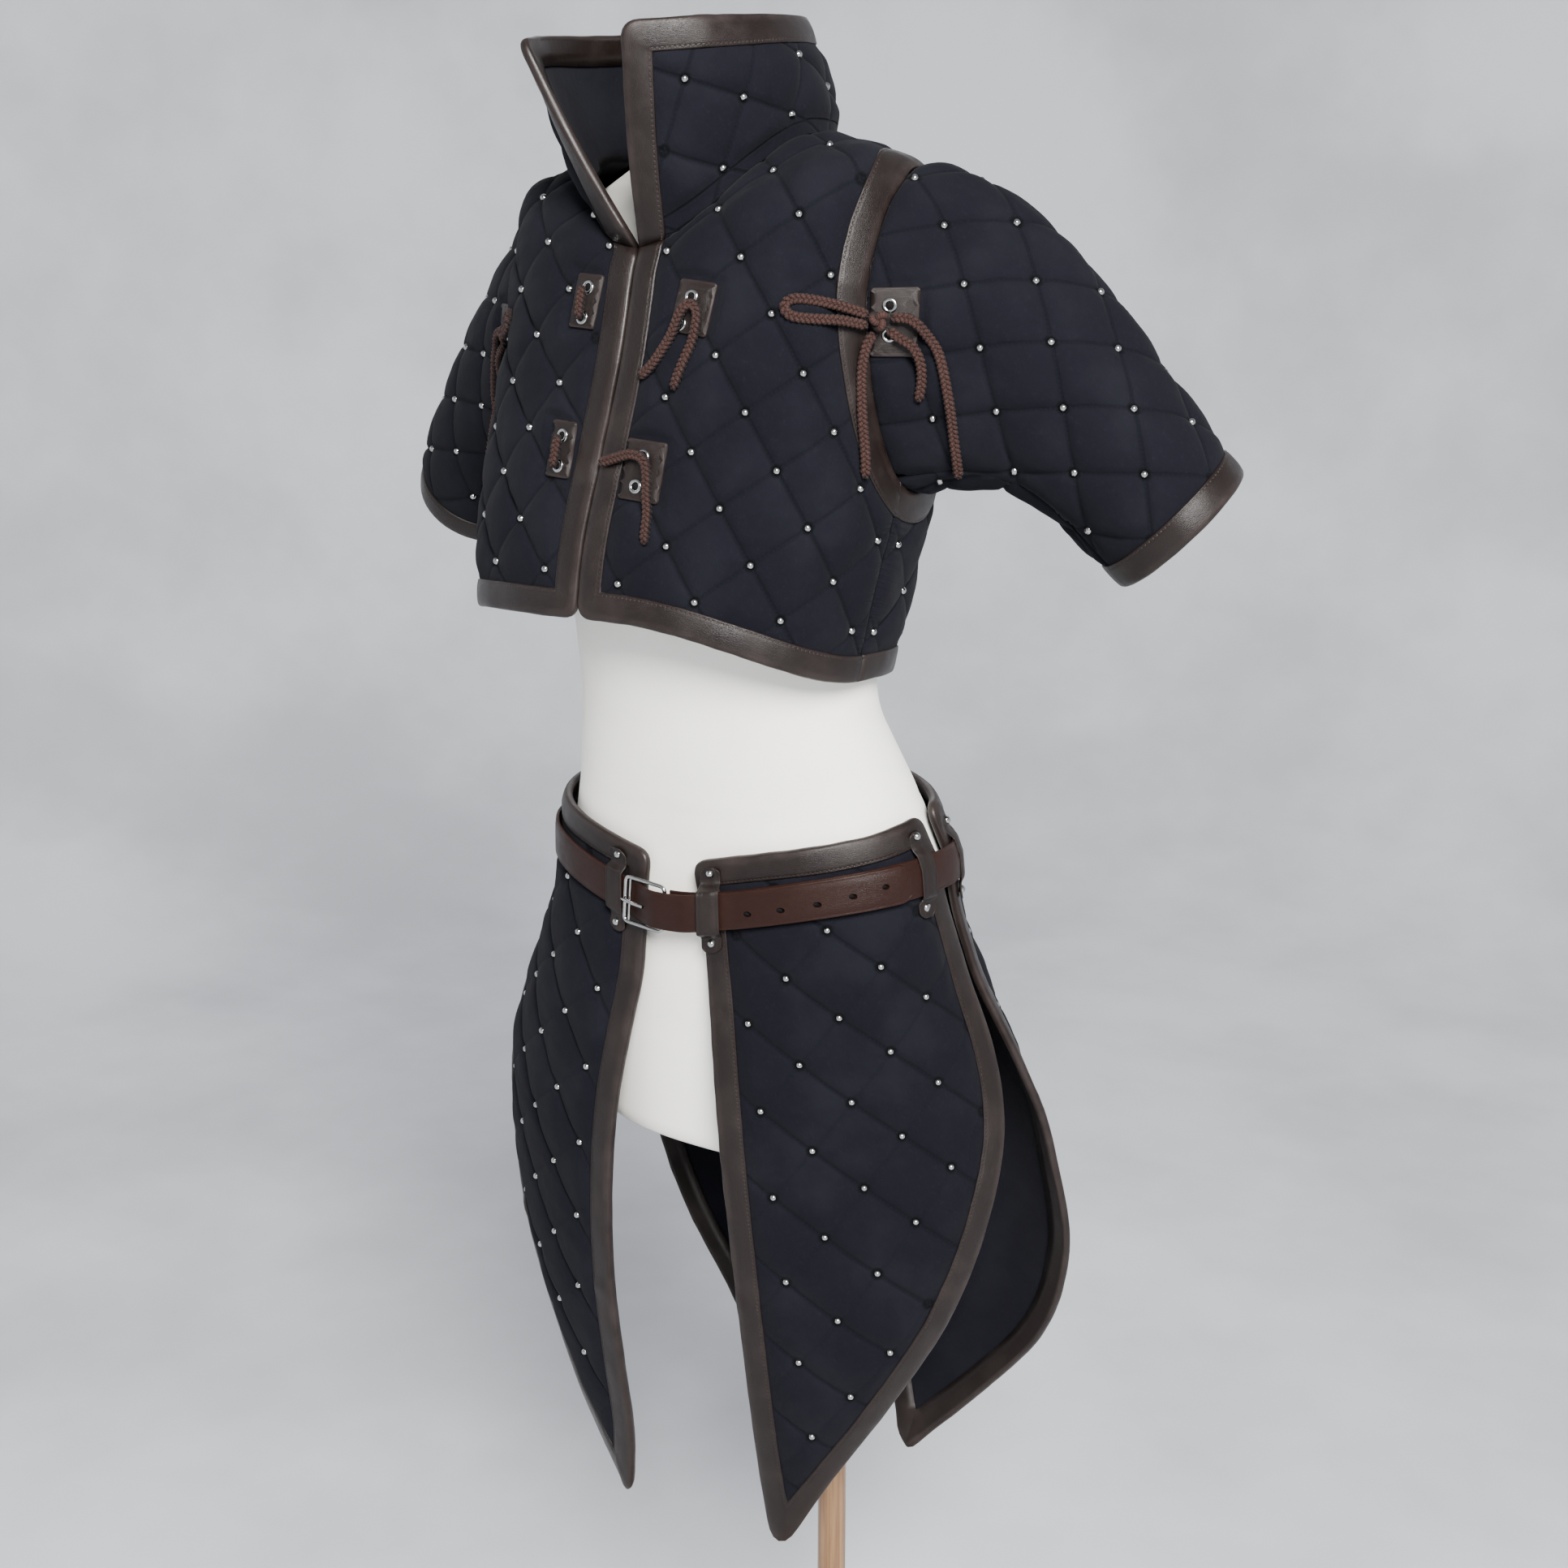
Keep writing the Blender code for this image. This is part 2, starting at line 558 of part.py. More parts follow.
def rim_pairs(pattern):
    """The pattern's boundary, as pairs (kind, station), kind 'p' or 'q'."""
    ring = []
    stations, edges = pattern.stations, pattern.edges
    for k, (p, q, edge) in enumerate(stations):
        before = stations[k - 1][2]
        here_bound, before_bound = edges[edge].bound, edges[before].bound
        apart = np.linalg.norm(p - q) > 1e-6
        if here_bound and before_bound:
            ring.append(("p", k))
        elif here_bound:
            ring += [("q", k), ("p", k)] if apart else [("q", k)]
        elif before_bound:
            ring += [("p", k), ("q", k)] if apart else [("q", k)]
        else:
            ring.append(("q", k))
    return ring


def panel_mesh(pattern, quilt, rim_normal=None, press=None):
    """Closed solid of a quilted piece: a puffed outside over a plain inside."""
    cloth = pattern.cloth
    outline = pattern.outline()
    raised, puffs = lattice(outline, quilt)
    room = outline_distance(raised, outline)
    keep = room > RIM_MARGIN
    raised, puffs = raised[keep], puffs[keep] * smooth_step(0.0, 2.4 * RIM_MARGIN, room[keep])
    plain = plain_grid(outline, INSIDE_SPACING)
    plain = plain[outline_distance(plain, outline) > INSIDE_SPACING / 2]

    p_normal, q_normal = rim_normals(pattern, rim_normal)
    p_inner = cloth.surface(pattern.p_place)
    q_inner = cloth.surface(pattern.q_place)
    raised_place = cloth.to_place(raised)
    lift = STITCHED + (PUFFED - STITCHED) * puffs
    if press is not None:
        lift = np.minimum(lift, press(raised, raised_place))
    raised_outer = cloth.surface(raised_place) + cloth.normal(raised_place) * lift[:, None]
    plain_inner = cloth.surface(cloth.to_place(plain))

    mesh = bmesh.new()
    count = len(pattern.stations)
    same = [np.linalg.norm(s[0] - s[1]) < 1e-6 for s in pattern.stations]

    def layer(p_points, q_points, inner_points):
        q_verts = [mesh.verts.new(c) for c in q_points]
        p_verts = [q_verts[k] if same[k] else mesh.verts.new(c)
                   for k, c in enumerate(p_points)]
        return p_verts, q_verts, [mesh.verts.new(c) for c in inner_points]

    outer = layer(p_inner + p_normal * STITCHED, q_inner + q_normal * STITCHED,
                  raised_outer)
    inner = layer(p_inner, q_inner, plain_inner)
    for (p_verts, q_verts, field), points in ((outer, raised), (inner, plain)):
        verts = q_verts + field
        for face in fill(outline, points):
            mesh.faces.new([verts[v] for v in face])
        for k in range(count):
            after = (k + 1) % count
            if pattern.edges[pattern.stations[k][2]].bound:
                for face in ((p_verts[k], p_verts[after], q_verts[after]),
                             (p_verts[k], q_verts[after], q_verts[k])):
                    if len(set(face)) == 3:
                        mesh.faces.new(face)
    ring = rim_pairs(pattern)
    for (kind, k), (kind_after, after) in zip(ring, ring[1:] + ring[:1]):
        low, low_after = (inner[0 if s == "p" else 1][n]
                          for s, n in ((kind, k), (kind_after, after)))
        high, high_after = (outer[0 if s == "p" else 1][n]
                            for s, n in ((kind, k), (kind_after, after)))
        mesh.faces.new((low, low_after, high_after))
        mesh.faces.new((low, high_after, high))
    bmesh.ops.recalc_face_normals(mesh, faces=mesh.faces)
    if mesh.calc_volume(signed=True) < 0:
        bmesh.ops.reverse_faces(mesh, faces=mesh.faces)
    return mesh


def rim_normals(pattern, rim_normal):
    """Outward directions at the stations; a shared seam may give its own."""
    cloth = pattern.cloth
    p_normal = cloth.normal(pattern.p_place)
    q_normal = cloth.normal(pattern.q_place)
    if rim_normal is not None:
        for k, (_, _, edge) in enumerate(pattern.stations):
            touching = {pattern.edges[edge].name, pattern.edges[pattern.stations[k - 1][2]].name}
            if any(name.startswith("neck") for name in touching):
                p_normal[k] = rim_normal(cloth, pattern.p_place[k])
                q_normal[k] = rim_normal(cloth, pattern.q_place[k])
    return p_normal, q_normal


# ---------------------------------------------------------------- bindings
def frames(pattern, names, rim_normal=None, backwards=False):
    """Stations of the named edges, which follow each other round a pattern."""
    p_normal, q_normal = rim_normals(pattern, rim_normal)
    p = pattern.cloth.surface(pattern.p_place)
    q = pattern.cloth.surface(pattern.q_place)
    count = len(pattern.stations)
    wanted = [pattern.edges[s[2]].name in names for s in pattern.stations]
    if all(wanted):
        order = list(range(count))
    else:
        start = next(k for k in range(count) if wanted[k] and not wanted[k - 1])
        order = [start]
        while wanted[order[-1]]:
            order.append((order[-1] + 1) % count)
    rows = []
    for k in order:
        outward = p[k] - q[k]
        width = np.linalg.norm(outward)
        mitre = min(width / BINDING_WIDTH, 2.2)
        rows.append((p[k], q[k], p_normal[k], q_normal[k], outward / width * mitre,
                     backwards))
    return rows[::-1] if backwards else rows


def binding_mesh(rows, closed):
    """A strip of leather folded over an edge, through its stations."""
    leather, gap = BINDING_LEATHER, SEAM_GAP
    mesh = bmesh.new()
    rings = []
    for p, q, n, m, e, _ in rows:
        over = STITCHED + gap
        section = (
            q + m * (over + leather),
            p + n * (over + leather),
            p + n * (STITCHED / 2) + e * (gap + leather + BINDING_FOLD),
            p - n * (gap + leather),
            q - m * (gap + leather),
            q - m * gap,
            p - n * gap + e * gap,
            p + n * over + e * gap,
            q + m * over)
        rings.append([mesh.verts.new(c) for c in section])
    senses = [row[5] for row in rows]
    pairs = list(zip(rings, rings[1:] + rings[:1], senses))
    sides = len(rings[0])
    for one, two, backwards in pairs if closed else pairs[:-1]:
        for s in range(sides):
            t = (s + 1) % sides
            a, b, c, d = one[s], one[t], two[t], two[s]
            # on the legs of the fold the diagonals follow those of the cloth
            if (s in (0, 5)) == backwards:
                mesh.faces.new((a, b, c))
                mesh.faces.new((a, c, d))
            else:
                mesh.faces.new((a, b, d))
                mesh.faces.new((b, c, d))
    if not closed:
        for ring in (rings[0], rings[-1]):
            for face in ((0, 1, 7, 8), (1, 2, 7), (2, 6, 7), (2, 3, 6), (3, 4, 5, 6)):
                mesh.faces.new([ring[k] for k in face])
    bmesh.ops.triangulate(mesh, faces=[f for f in mesh.faces if len(f.verts) > 3])
    bmesh.ops.recalc_face_normals(mesh, faces=mesh.faces)
    return mesh


# ---------------------------------------------------------------- objects
MATERIALS = {
    # name: colour, roughness, metallic
    "navy_cloth": ((0.012, 0.014, 0.024, 1), 0.92, 0.0),
    "dark_leather": ((0.035, 0.022, 0.018, 1), 0.48, 0.0),
    "belt_leather": ((0.060, 0.024, 0.018, 1), 0.42, 0.0),
    "lace_cord": ((0.070, 0.028, 0.020, 1), 0.85, 0.0),
    "silver_metal": ((0.62, 0.61, 0.60, 1), 0.25, 1.0),
    "form_cover": ((0.84, 0.82, 0.76, 1), 0.60, 0.0),
    "pine_wood": ((0.42, 0.26, 0.13, 1), 0.50, 0.0)}


def material(name, owner):
    """A Principled material of an object's own."""
    colour, roughness, metallic = MATERIALS[name]
    made = bpy.data.materials.new(owner + "_" + name)
    made.use_nodes = True
    shader = made.node_tree.nodes["Principled BSDF"]
    shader.inputs["Base Color"].default_value = colour
    shader.inputs["Roughness"].default_value = roughness
    shader.inputs["Metallic"].default_value = metallic
    made.diffuse_color = colour
    return made


def add_object(name, mesh, finish, smooth=True):
    data = bpy.data.meshes.new(name)
    mesh.to_mesh(data)
    mesh.free()
    if smooth:
        data.shade_smooth()
    item = bpy.data.objects.new(name, data)
    data.materials.append(material(finish, name))
    bpy.context.scene.collection.objects.link(item)
    return item


def add_lace(name, points, step):
    """A cord as a tube through points about a step apart."""
    lengths = np.concatenate([[0], np.cumsum(np.linalg.norm(np.diff(points, axis=0), axis=1))])
    places = np.linspace(0, lengths[-1], max(3, round(lengths[-1] / step) + 1))
    route = np.stack([np.interp(places, lengths, points[:, k]) for k in range(3)], 1)
    data = bpy.data.curves.new(name, "CURVE")
    data.dimensions = "3D"
    data.bevel_depth = LACE_RADIUS
    data.bevel_resolution = 2
    data.use_fill_caps = True
    spline = data.splines.new("POLY")
    spline.points.add(len(route) - 1)
    for point, place in zip(spline.points, route):
        point.co = (*place, 1.0)
    item = bpy.data.objects.new(name, data)
    data.materials.append(material("lace_cord", name))
    bpy.context.scene.collection.objects.link(item)


def loft_mesh(rings, cap_first=True, cap_last=True):
    mesh = bmesh.new()
    rows = [[mesh.verts.new(c) for c in ring] for ring in rings]
    for one, two in zip(rows, rows[1:]):
        for a, b, c, d in zip(one, one[1:] + one[:1], two[1:] + two[:1], two):
            mesh.faces.new((a, b, c, d))
    if cap_first:
        mesh.faces.new(rows[0])
    if cap_last:
        mesh.faces.new(rows[-1])
    bmesh.ops.recalc_face_normals(mesh, faces=mesh.faces)
    return mesh


# ---------------------------------------------------------------- the form
def make_form():
    turns = np.arange(FORM_SIDES) * 360.0 / FORM_SIDES
    rings = []
    for height, half_width, front, back, square in FORM:
        x, y = ring_point(turns, half_width, front, back, square)
        rings.append(np.stack([x, y, np.full_like(x, height)], 1))
    add_object("dress_form", loft_mesh(rings), "form_cover")


def make_stand():
    # profile of the turned base, from its underside up to the pole's foot
    profile = ((BASE_RADIUS - 0.004, 0.0), (BASE_RADIUS, 0.004),
               (BASE_RADIUS, BASE_HEIGHT - 0.006), (BASE_RADIUS - 0.006, BASE_HEIGHT),
               (0.045, BASE_HEIGHT), (0.034, BASE_HEIGHT + 0.018),
               (0.030, BASE_HEIGHT + 0.034))
    turns = np.radians(np.arange(40) * 9.0)
    rings = [[(POLE_X + radius * math.sin(a), POLE_Y - radius * math.cos(a), height)
              for a in turns] for radius, height in profile]
    add_object("stand_base", loft_mesh(rings), "pine_wood", smooth=False)

    bottom = BASE_HEIGHT + 0.034 + SEAM_GAP
    top = FORM[0, 0] - SEAM_GAP
    rings = [[(POLE_X + POLE_RADIUS * math.sin(a), POLE_Y - POLE_RADIUS * math.cos(a), z)
              for a in np.radians(np.arange(20) * 18.0)] for z in (bottom, top)]
    add_object("stand_pole", loft_mesh(rings), "pine_wood")


# ---------------------------------------------------------------- jacket
def front_point(side):
    """Front piece: row from hem to neck, column from centre front to seam."""
    return lambda row, column: jacket_point(row, side * column * seam_turn(row))


def back_point(row, column):
    """Back piece: column -1 is the wearer's right seam, 1 the left."""
    return jacket_point(row, 180.0 - column * (180.0 - seam_turn(row)))


def armhole_places(start, end, to_column, steps=48):
    """Places along the armhole between two angles round its oval."""
    angle = np.radians(np.linspace(start, end, steps))
    narrow = 1 - ARMHOLE_TOP_NARROW * np.clip(-np.cos(angle), 0, 1)
    turn = ARMHOLE_TURN - ARMHOLE_HALF_TURN * np.sin(angle) * narrow
    row = ARMHOLE_ROW - ARMHOLE_HALF_ROW * np.cos(angle)
    return np.stack([row, to_column(turn, row)], 1)


def armhole_hold(turn, row):
    """How firmly the cloth holds its shape: hardly inside the armhole."""
    narrow = 1 - ARMHOLE_TOP_NARROW * np.clip((row - ARMHOLE_ROW) / ARMHOLE_HALF_ROW, 0, 1)
    far = np.hypot((turn - ARMHOLE_TURN) / (ARMHOLE_HALF_TURN * narrow),
                   (row - ARMHOLE_ROW) / ARMHOLE_HALF_ROW)
    return 0.04 + 0.96 * smooth_step(0.80, 0.95, far)


def line_places(start, end, steps=33):
    return np.linspace(start, end, steps)


# Stations that both sides of a seam share
NECK_STEPS = (5, 7, 5)     # chords of the neck seam: left front, back, right front
SIDE_STOPS = (0.26, 0.48, 0.72)
SHOULDER_STOPS = (0.33, 0.66)
SLEEVE_STOPS = (0.22, 0.45, 0.68)


def armhole_seam_angle():
    """Angle round the armhole's oval where the side seam meets it."""
    share = (ARMHOLE_TURN - SIDE_SEAM_TURN) / ARMHOLE_HALF_TURN
    return math.degrees(math.asin(share))


def neck_rim_normal(collar):
    """At the neck seam both cloths lean halfway between their surfaces."""
    def find(cloth, place):
        if cloth is collar:
            turn = place[1] * 360.0
        elif cloth.first < 0:
            turn = 180.0 - place[1] * (180.0 - SHOULDER_SEAM_TURN)
        else:
            side = 1.0 if cloth.point(1.0, 0.5)[0] > 0 else -1.0
            turn = side * place[1] * SHOULDER_SEAM_TURN
        ahead = jacket_point(0.999, turn + 0.5) - jacket_point(0.999, turn - 0.5)
        down = jacket_point(0.97, turn) - jacket_point(1.0, turn)
        body = unit(np.cross(ahead, -down))
        column = (turn % 360.0) / 360.0
        up = collar.point(0.05, column) - collar.point(0.0, column)
        stand = unit(np.cross(ahead, up))
        return unit(body + stand)
    return find


def spot_axes(spot):
    """Middle of a patch on the flat pattern, and its two directions there."""
    u, v, turn = spot[:3]
    angle = math.radians(turn)
    across = np.array((math.cos(angle), math.sin(angle)))
    return np.array((u, v)), across, np.array((-across[1], across[0]))


def patch_press(spots):
    """Cloth thickness allowed at flat points: less under a leather patch."""
    def press(flat, _places):
        allowed = np.full(len(flat), PUFFED)
        for spot in spots:
            middle, across, up = spot_axes(spot)
            off = flat - middle
            near = ((np.abs(off @ across) < spot[3] / 2 + PATCH_PRESS)
                    & (np.abs(off @ up) < spot[4] / 2 + PATCH_PRESS))
            allowed[near] = PRESSED
        return allowed
    return press


def belt_press(cloth):
    """Cloth thickness allowed on a skirt panel: less under the belt."""
    def press(_flat, places):
        points = cloth.surface(places)
        turn = np.degrees(np.arctan2(points[:, 0], -points[:, 1]))
        off = np.abs(points[:, 2] - belt_height(turn))
        return PRESSED + (PUFFED - PRESSED) * smooth_step(0.038, 0.052, off)
    return press


# Middle of each leather patch on the flat pattern of its piece, its turn, its
# width and its height
FRONT_PATCHES = {
    "left": ((0.0594, 0.2270, -4.0, 0.030, 0.038), (0.0397, 0.1110, 0.0, 0.034, 0.044)),
    "right": ((0.0347, 0.2240, 0.0, 0.024, 0.040), (0.0347, 0.1170, 0.0, 0.024, 0.042))}
SLEEVE_PATCHES = {"left": (-0.1274, 0.0588, 52.0, 0.034, 0.046),
                  "right": (-0.1250, 0.0620, 52.0, 0.034, 0.046)}


def make_patch(name, cloth, spot):
    middle, aside, up = spot_axes(spot)
    across = np.linspace(-spot[3] / 2, spot[3] / 2, 3)
    along = np.linspace(-spot[4] / 2, spot[4] / 2, 4)
    flat = np.array([middle + aside * a + up * b for b in along for a in across])
    places = cloth.to_place(flat)
    inner = cloth.surface(places)
    normal = cloth.normal(places)
    mesh = bmesh.new()
    columns, rows = len(across), len(along)
    low = [mesh.verts.new(c) for c in inner + normal * PATCH_STAND_OFF]
    high = [mesh.verts.new(c) for c in inner + normal * (PATCH_STAND_OFF + PATCH_LEATHER)]
    for i in range(rows - 1):
        for j in range(columns - 1):
            k = i * columns + j
            quad = (k, k + 1, k + 1 + columns, k + columns)
            mesh.faces.new([high[n] for n in quad])
            mesh.faces.new([low[n] for n in quad])
    ring = (list(range(columns)) + [columns * (i + 1) - 1 for i in range(1, rows)]
            + list(range(columns * rows - 2, columns * (rows - 1) - 1, -1))
            + [columns * i for i in range(rows - 2, 0, -1)])
    for a, b in zip(ring, ring[1:] + ring[:1]):
        mesh.faces.new((low[a], low[b], high[b], high[a]))
    bmesh.ops.triangulate(mesh, faces=mesh.faces)
    bmesh.ops.recalc_face_normals(mesh, faces=mesh.faces)
    add_object(name, mesh, "dark_leather", smooth=False)


def jacket_pieces():
    """Patterns of the jacket's body and collar."""
    seam = armhole_seam_angle()

    def collar_point(row, column):
        turn = column * 360.0
        low = jacket_point(np.ones_like(row * column), turn + np.zeros_like(row))
        high = at_row(COLLAR_TOP[:, 1:], column + np.zeros_like(row))
        row = (row + np.zeros_like(column))[..., None]
        outward = unit(low * (1, 1, 0) - np.array((0, -0.04, 0)))
        return low + (high - low) * row + outward * COLLAR_BOW * np.sin(math.pi * row)

    collar = Cloth(collar_point, (0.0, 1.0), 0.5, np.array((0, -0.04, 1.52)))
    shoulder = SHOULDER_SEAM_TURN / 360.0
    turns = (0.0, shoulder, 1.0 - shoulder, 1.0)
    names = ("neck_left", "neck_back", "neck_right")
    edges = [Edge(name, line_places((0, a), (0, b)), stops=line_places((0, a), (0, b), n + 1)[1:-1])
             for name, a, b, n in zip(names, turns, turns[1:], NECK_STEPS)]
    edges += [Edge("front_right", line_places((0, 1), (1, 1)), True, FRONT_INSET),
              Edge("top", line_places((1, 1), (1, 0), 65), True, 0.0, spacing=0.032),
              Edge("front_left", line_places((1, 0), (0, 0)), True, FRONT_INSET)]
    pieces = {"collar": Pattern(collar, edges)}

    for name, side in (("left", 1.0), ("right", -1.0)):
        cloth = Cloth(front_point(side), (0.0, 1.0), 0.0, np.array((0, 0, 1.25)),
                      lambda r, c: armhole_hold(c * seam_turn(r), r))
        bottom = armhole_places(seam, seam + 1, lambda t, r: t / seam_turn(r))[0, 0]
        top = ARMHOLE_ROW + ARMHOLE_HALF_ROW
        edges = [
            Edge("hem", line_places((0, 0), (0, 1)), True, 0.0),
            Edge("side", line_places((0, 1), (bottom, 1)),
                 stops=[(bottom * share, 1) for share in SIDE_STOPS]),
            Edge("armhole", armhole_places(seam, 180, lambda t, r: t / seam_turn(r)),
                 True, 0.0, spacing=0.030),
            Edge("shoulder", line_places((top, 1), (1, 1)),
                 stops=[(top + (1 - top) * share, 1) for share in SHOULDER_STOPS]),
            Edge("neck", line_places((1, 1), (1, 0)),
                 stops=line_places((1, 1), (1, 0), NECK_STEPS[0] + 1)[1:-1]),
            Edge("centre", line_places((1, 0), (0, 0)), True, FRONT_INSET)]
        pieces["front_" + name] = Pattern(cloth, edges)

    back = Cloth(back_point, (-1.0, 1.0), 0.0, np.array((0, 0, 1.25)),
                 lambda r, c: armhole_hold(180.0 - np.abs(c) * (180.0 - seam_turn(r)), r))

    def to_column(sign):
        return lambda turn, row: sign * (180.0 - turn) / (180.0 - seam_turn(row))

    left_arm = armhole_places(360 + seam, 180, to_column(1.0))
    right_arm = armhole_places(180, 360 + seam, to_column(-1.0))
    bottom = left_arm[0, 0]
    edges = [
        Edge("hem", line_places((0, -1), (0, 1), 65), True, 0.0),
        Edge("side_left", line_places((0, 1), (bottom, 1)),
             stops=[(bottom * share, 1) for share in SIDE_STOPS]),
        Edge("armhole_left", left_arm, True, 0.0, spacing=0.030),
        Edge("shoulder_left", line_places((top, 1), (1, 1)),
             stops=[(top + (1 - top) * share, 1) for share in SHOULDER_STOPS]),
        Edge("neck", line_places((1, 1), (1, -1)),
             stops=line_places((1, 1), (1, -1), NECK_STEPS[1] + 1)[1:-1]),
        Edge("shoulder_right", line_places((1, -1), (top, -1)),
             stops=[(top + (1 - top) * share, -1) for share in SHOULDER_STOPS[::-1]]),
        Edge("armhole_right", right_arm, True, 0.0, spacing=0.030),
        Edge("side_right", line_places((bottom, -1), (0, -1)),
             stops=[(bottom * share, -1) for share in SIDE_STOPS[::-1]])]
    pieces["back"] = Pattern(back, edges)
    return pieces


def make_jacket():
    pieces = jacket_pieces()
    collar = pieces["collar"].cloth
    neck = neck_rim_normal(collar)
    for name, pattern in pieces.items():
        side = name.split("_")[-1]
        press = patch_press(FRONT_PATCHES[side]) if name.startswith("front") else None
        mesh = panel_mesh(pattern, QUILTS[name.split("_")[0]], neck, press)
        add_object(name, mesh, "navy_cloth")
    add_object("binding_collar", binding_mesh(
        frames(pieces["collar"], ("front_right", "top", "front_left"), neck), False),
        "dark_leather")
    add_object("binding_back_hem", binding_mesh(
        frames(pieces["back"], ("hem",), neck), False), "dark_leather")
    rings = {}
    for side in ("left", "right"):
        front = pieces["front_" + side]
        add_object("binding_front_" + side, binding_mesh(
            frames(front, ("centre", "hem"), neck), False), "dark_leather")
        rows = frames(front, ("armhole",), neck)
        around = frames(pieces["back"], ("armhole_" + side,), neck, side == "left")
        rings[side] = rows + around
        add_object("binding_armhole_" + side, binding_mesh(rings[side], True), "dark_leather")
        for place, spot in zip(("top", "low"), FRONT_PATCHES[side]):
            make_patch("patch_%s_%s" % (side, place), front.cloth, spot)
    cloths = {side: pieces["front_" + side].cloth for side in rings}
    return rings, cloths


# ---------------------------------------------------------------- laces
# Each lace is laid on what is already made, seen along a level direction.
# A route gives, from the middle of its patch, how far across and how far up
# it runs, and how much it is lifted off.
FRONT_LACES = {
    "left_top": ((-0.0375, -0.0475, 0.0), (-0.0255, -0.0365, 0.0), (-0.0125, -0.0185, 0.0),
                 (-0.0045, -0.0015, 0.0), (0.0025, 0.0025, 0.0), (0.0085, -0.0055, 0.0),
                 (0.0055, -0.0215, 0.0), (-0.0015, -0.0375, 0.0), (-0.0085, -0.0555, 0.0)),
    "left_low": ((-0.0357, 0.0047, 0.0), (-0.0207, 0.0087, 0.0), (-0.0067, 0.0117, 0.0),
                 (0.0043, 0.0077, 0.0), (0.0083, -0.0043, 0.0), (0.0093, -0.0183, 0.0),
                 (0.0103, -0.0323, 0.0), (0.0093, -0.0503, 0.0)),
    "right_top": ((0.0005, 0.0105, 0.0), (0.0000, -0.0010, 0.0), (-0.0005, -0.0125, 0.0)),
    "right_low": ((0.0016, 0.0105, 0.0), (0.0000, -0.0010, 0.0), (-0.0018, -0.0125, 0.0))}
SLEEVE_LOOKING = (-0.574, 0.819, 0.0)
KNOT_RADIUS = 0.0072
KNOT_MIDDLE = (-0.0110, 0.0010)
SLEEVE_TIES = {
    "loop": ((-0.0074, 0.0040, 0.0), (-0.0264, 0.0095, 0.0), (-0.0460, 0.0135, 0.0),
             (-0.0598, 0.0140, 0.0), (-0.0650, 0.0088, 0.0), (-0.0600, 0.0030, 0.0),
             (-0.0460, 0.0010, 0.0), (-0.0264, 0.0000, 0.0), (-0.0077, -0.0033, 0.0)),
    "left_end": ((-0.0022, -0.0081, 0.0), (-0.0075, -0.0150, 0.0), (-0.0110, -0.0300, 0.0),
                 (-0.0115, -0.0460, 0.0), (-0.0105, -0.0680, 0.0), (-0.0085, -0.0900, 0.0),
                 (-0.0080, -0.1070, 0.0)),
    "right_end": ((0.0081, 0.0022, 0.0), (0.0215, 0.0005, 0.0), (0.0330, -0.0100, 0.0),
                  (0.0416, -0.0236, 0.0), (0.0490, -0.0560, 0.0), (0.0540, -0.0840, 0.0),
                  (0.0585, -0.1080, 0.0)),
    "short_end": ((0.0059, -0.0059, 0.0), (0.0145, -0.0120, 0.0), (0.0235, -0.0180, 0.0),
                  (0.0290, -0.0290, 0.0), (0.0300, -0.0420, 0.0), (0.0280, -0.0545, 0.0))}
LACE_CLEARANCE = 0.0008


class View:
    """The finished pieces seen along a level direction."""

    def __init__(self, looking):
        self.ahead = unit(np.array(looking))
        self.across = np.array((self.ahead[1], -self.ahead[0], 0.0))
        graph = bpy.context.evaluated_depsgraph_get()
        self.pieces = [BVHTree.FromObject(item, graph) for item in bpy.data.objects
                       if item.type == "MESH"]

    def depth(self, sideways, height):
        """How far off the first surface is, and how square on it is seen.
        Both are not a number where there is nothing."""
        start = self.across * sideways - self.ahead + np.array((0, 0, height))
        hits = [piece.ray_cast(start, self.ahead) for piece in self.pieces]
        hits = [hit for hit in hits if hit[0] is not None]
        if not hits:
            return math.nan, math.nan
        first = min(hits, key=lambda hit: hit[3])
        return first[3] - 1.0, abs(np.array(first[1]) @ self.ahead)

    def lay(self, middle, route, radius, mirror=1.0, fine=0.003):
        """Smooth points of a cord laid along a route on the pieces."""
        route = np.array(route) * (mirror, 1, 1)
        length = np.linalg.norm(np.diff(route[:, :2], axis=0), axis=1).sum()
        plane = at_row(route, np.linspace(0, 1, int(length / fine) + 2))
        sideways = middle @ self.across + plane[:, 0]
        heights = middle[2] + plane[:, 1]
        seen = np.array([self.depth(a, z) for a, z in zip(sideways, heights)])
        depths = seen[:, 0] - (radius + LACE_CLEARANCE) / np.maximum(seen[:, 1], 0.55)
        found = ~np.isnan(depths)
        steps = np.arange(len(depths))
        depths = np.interp(steps, steps[found], depths[found])  # hangs free elsewhere
        padded = np.pad(depths, 2, mode="edge")
        nearest = np.min([padded[k:k + len(depths)] for k in range(5)], axis=0)
        padded = np.pad(nearest, 2, mode="edge")
        depths = np.mean([padded[k:k + len(depths)] for k in range(5)], axis=0) - plane[:, 2]
        return (sideways[:, None] * self.across + depths[:, None] * self.ahead
                + heights[:, None] * np.array((0, 0, 1.0)))


def spot_middle(cloth, spot):
    place = cloth.to_place(np.array([spot[:2]]))
    return (cloth.surface(place) + cloth.normal(place) * PATCH_STAND_OFF)[0]


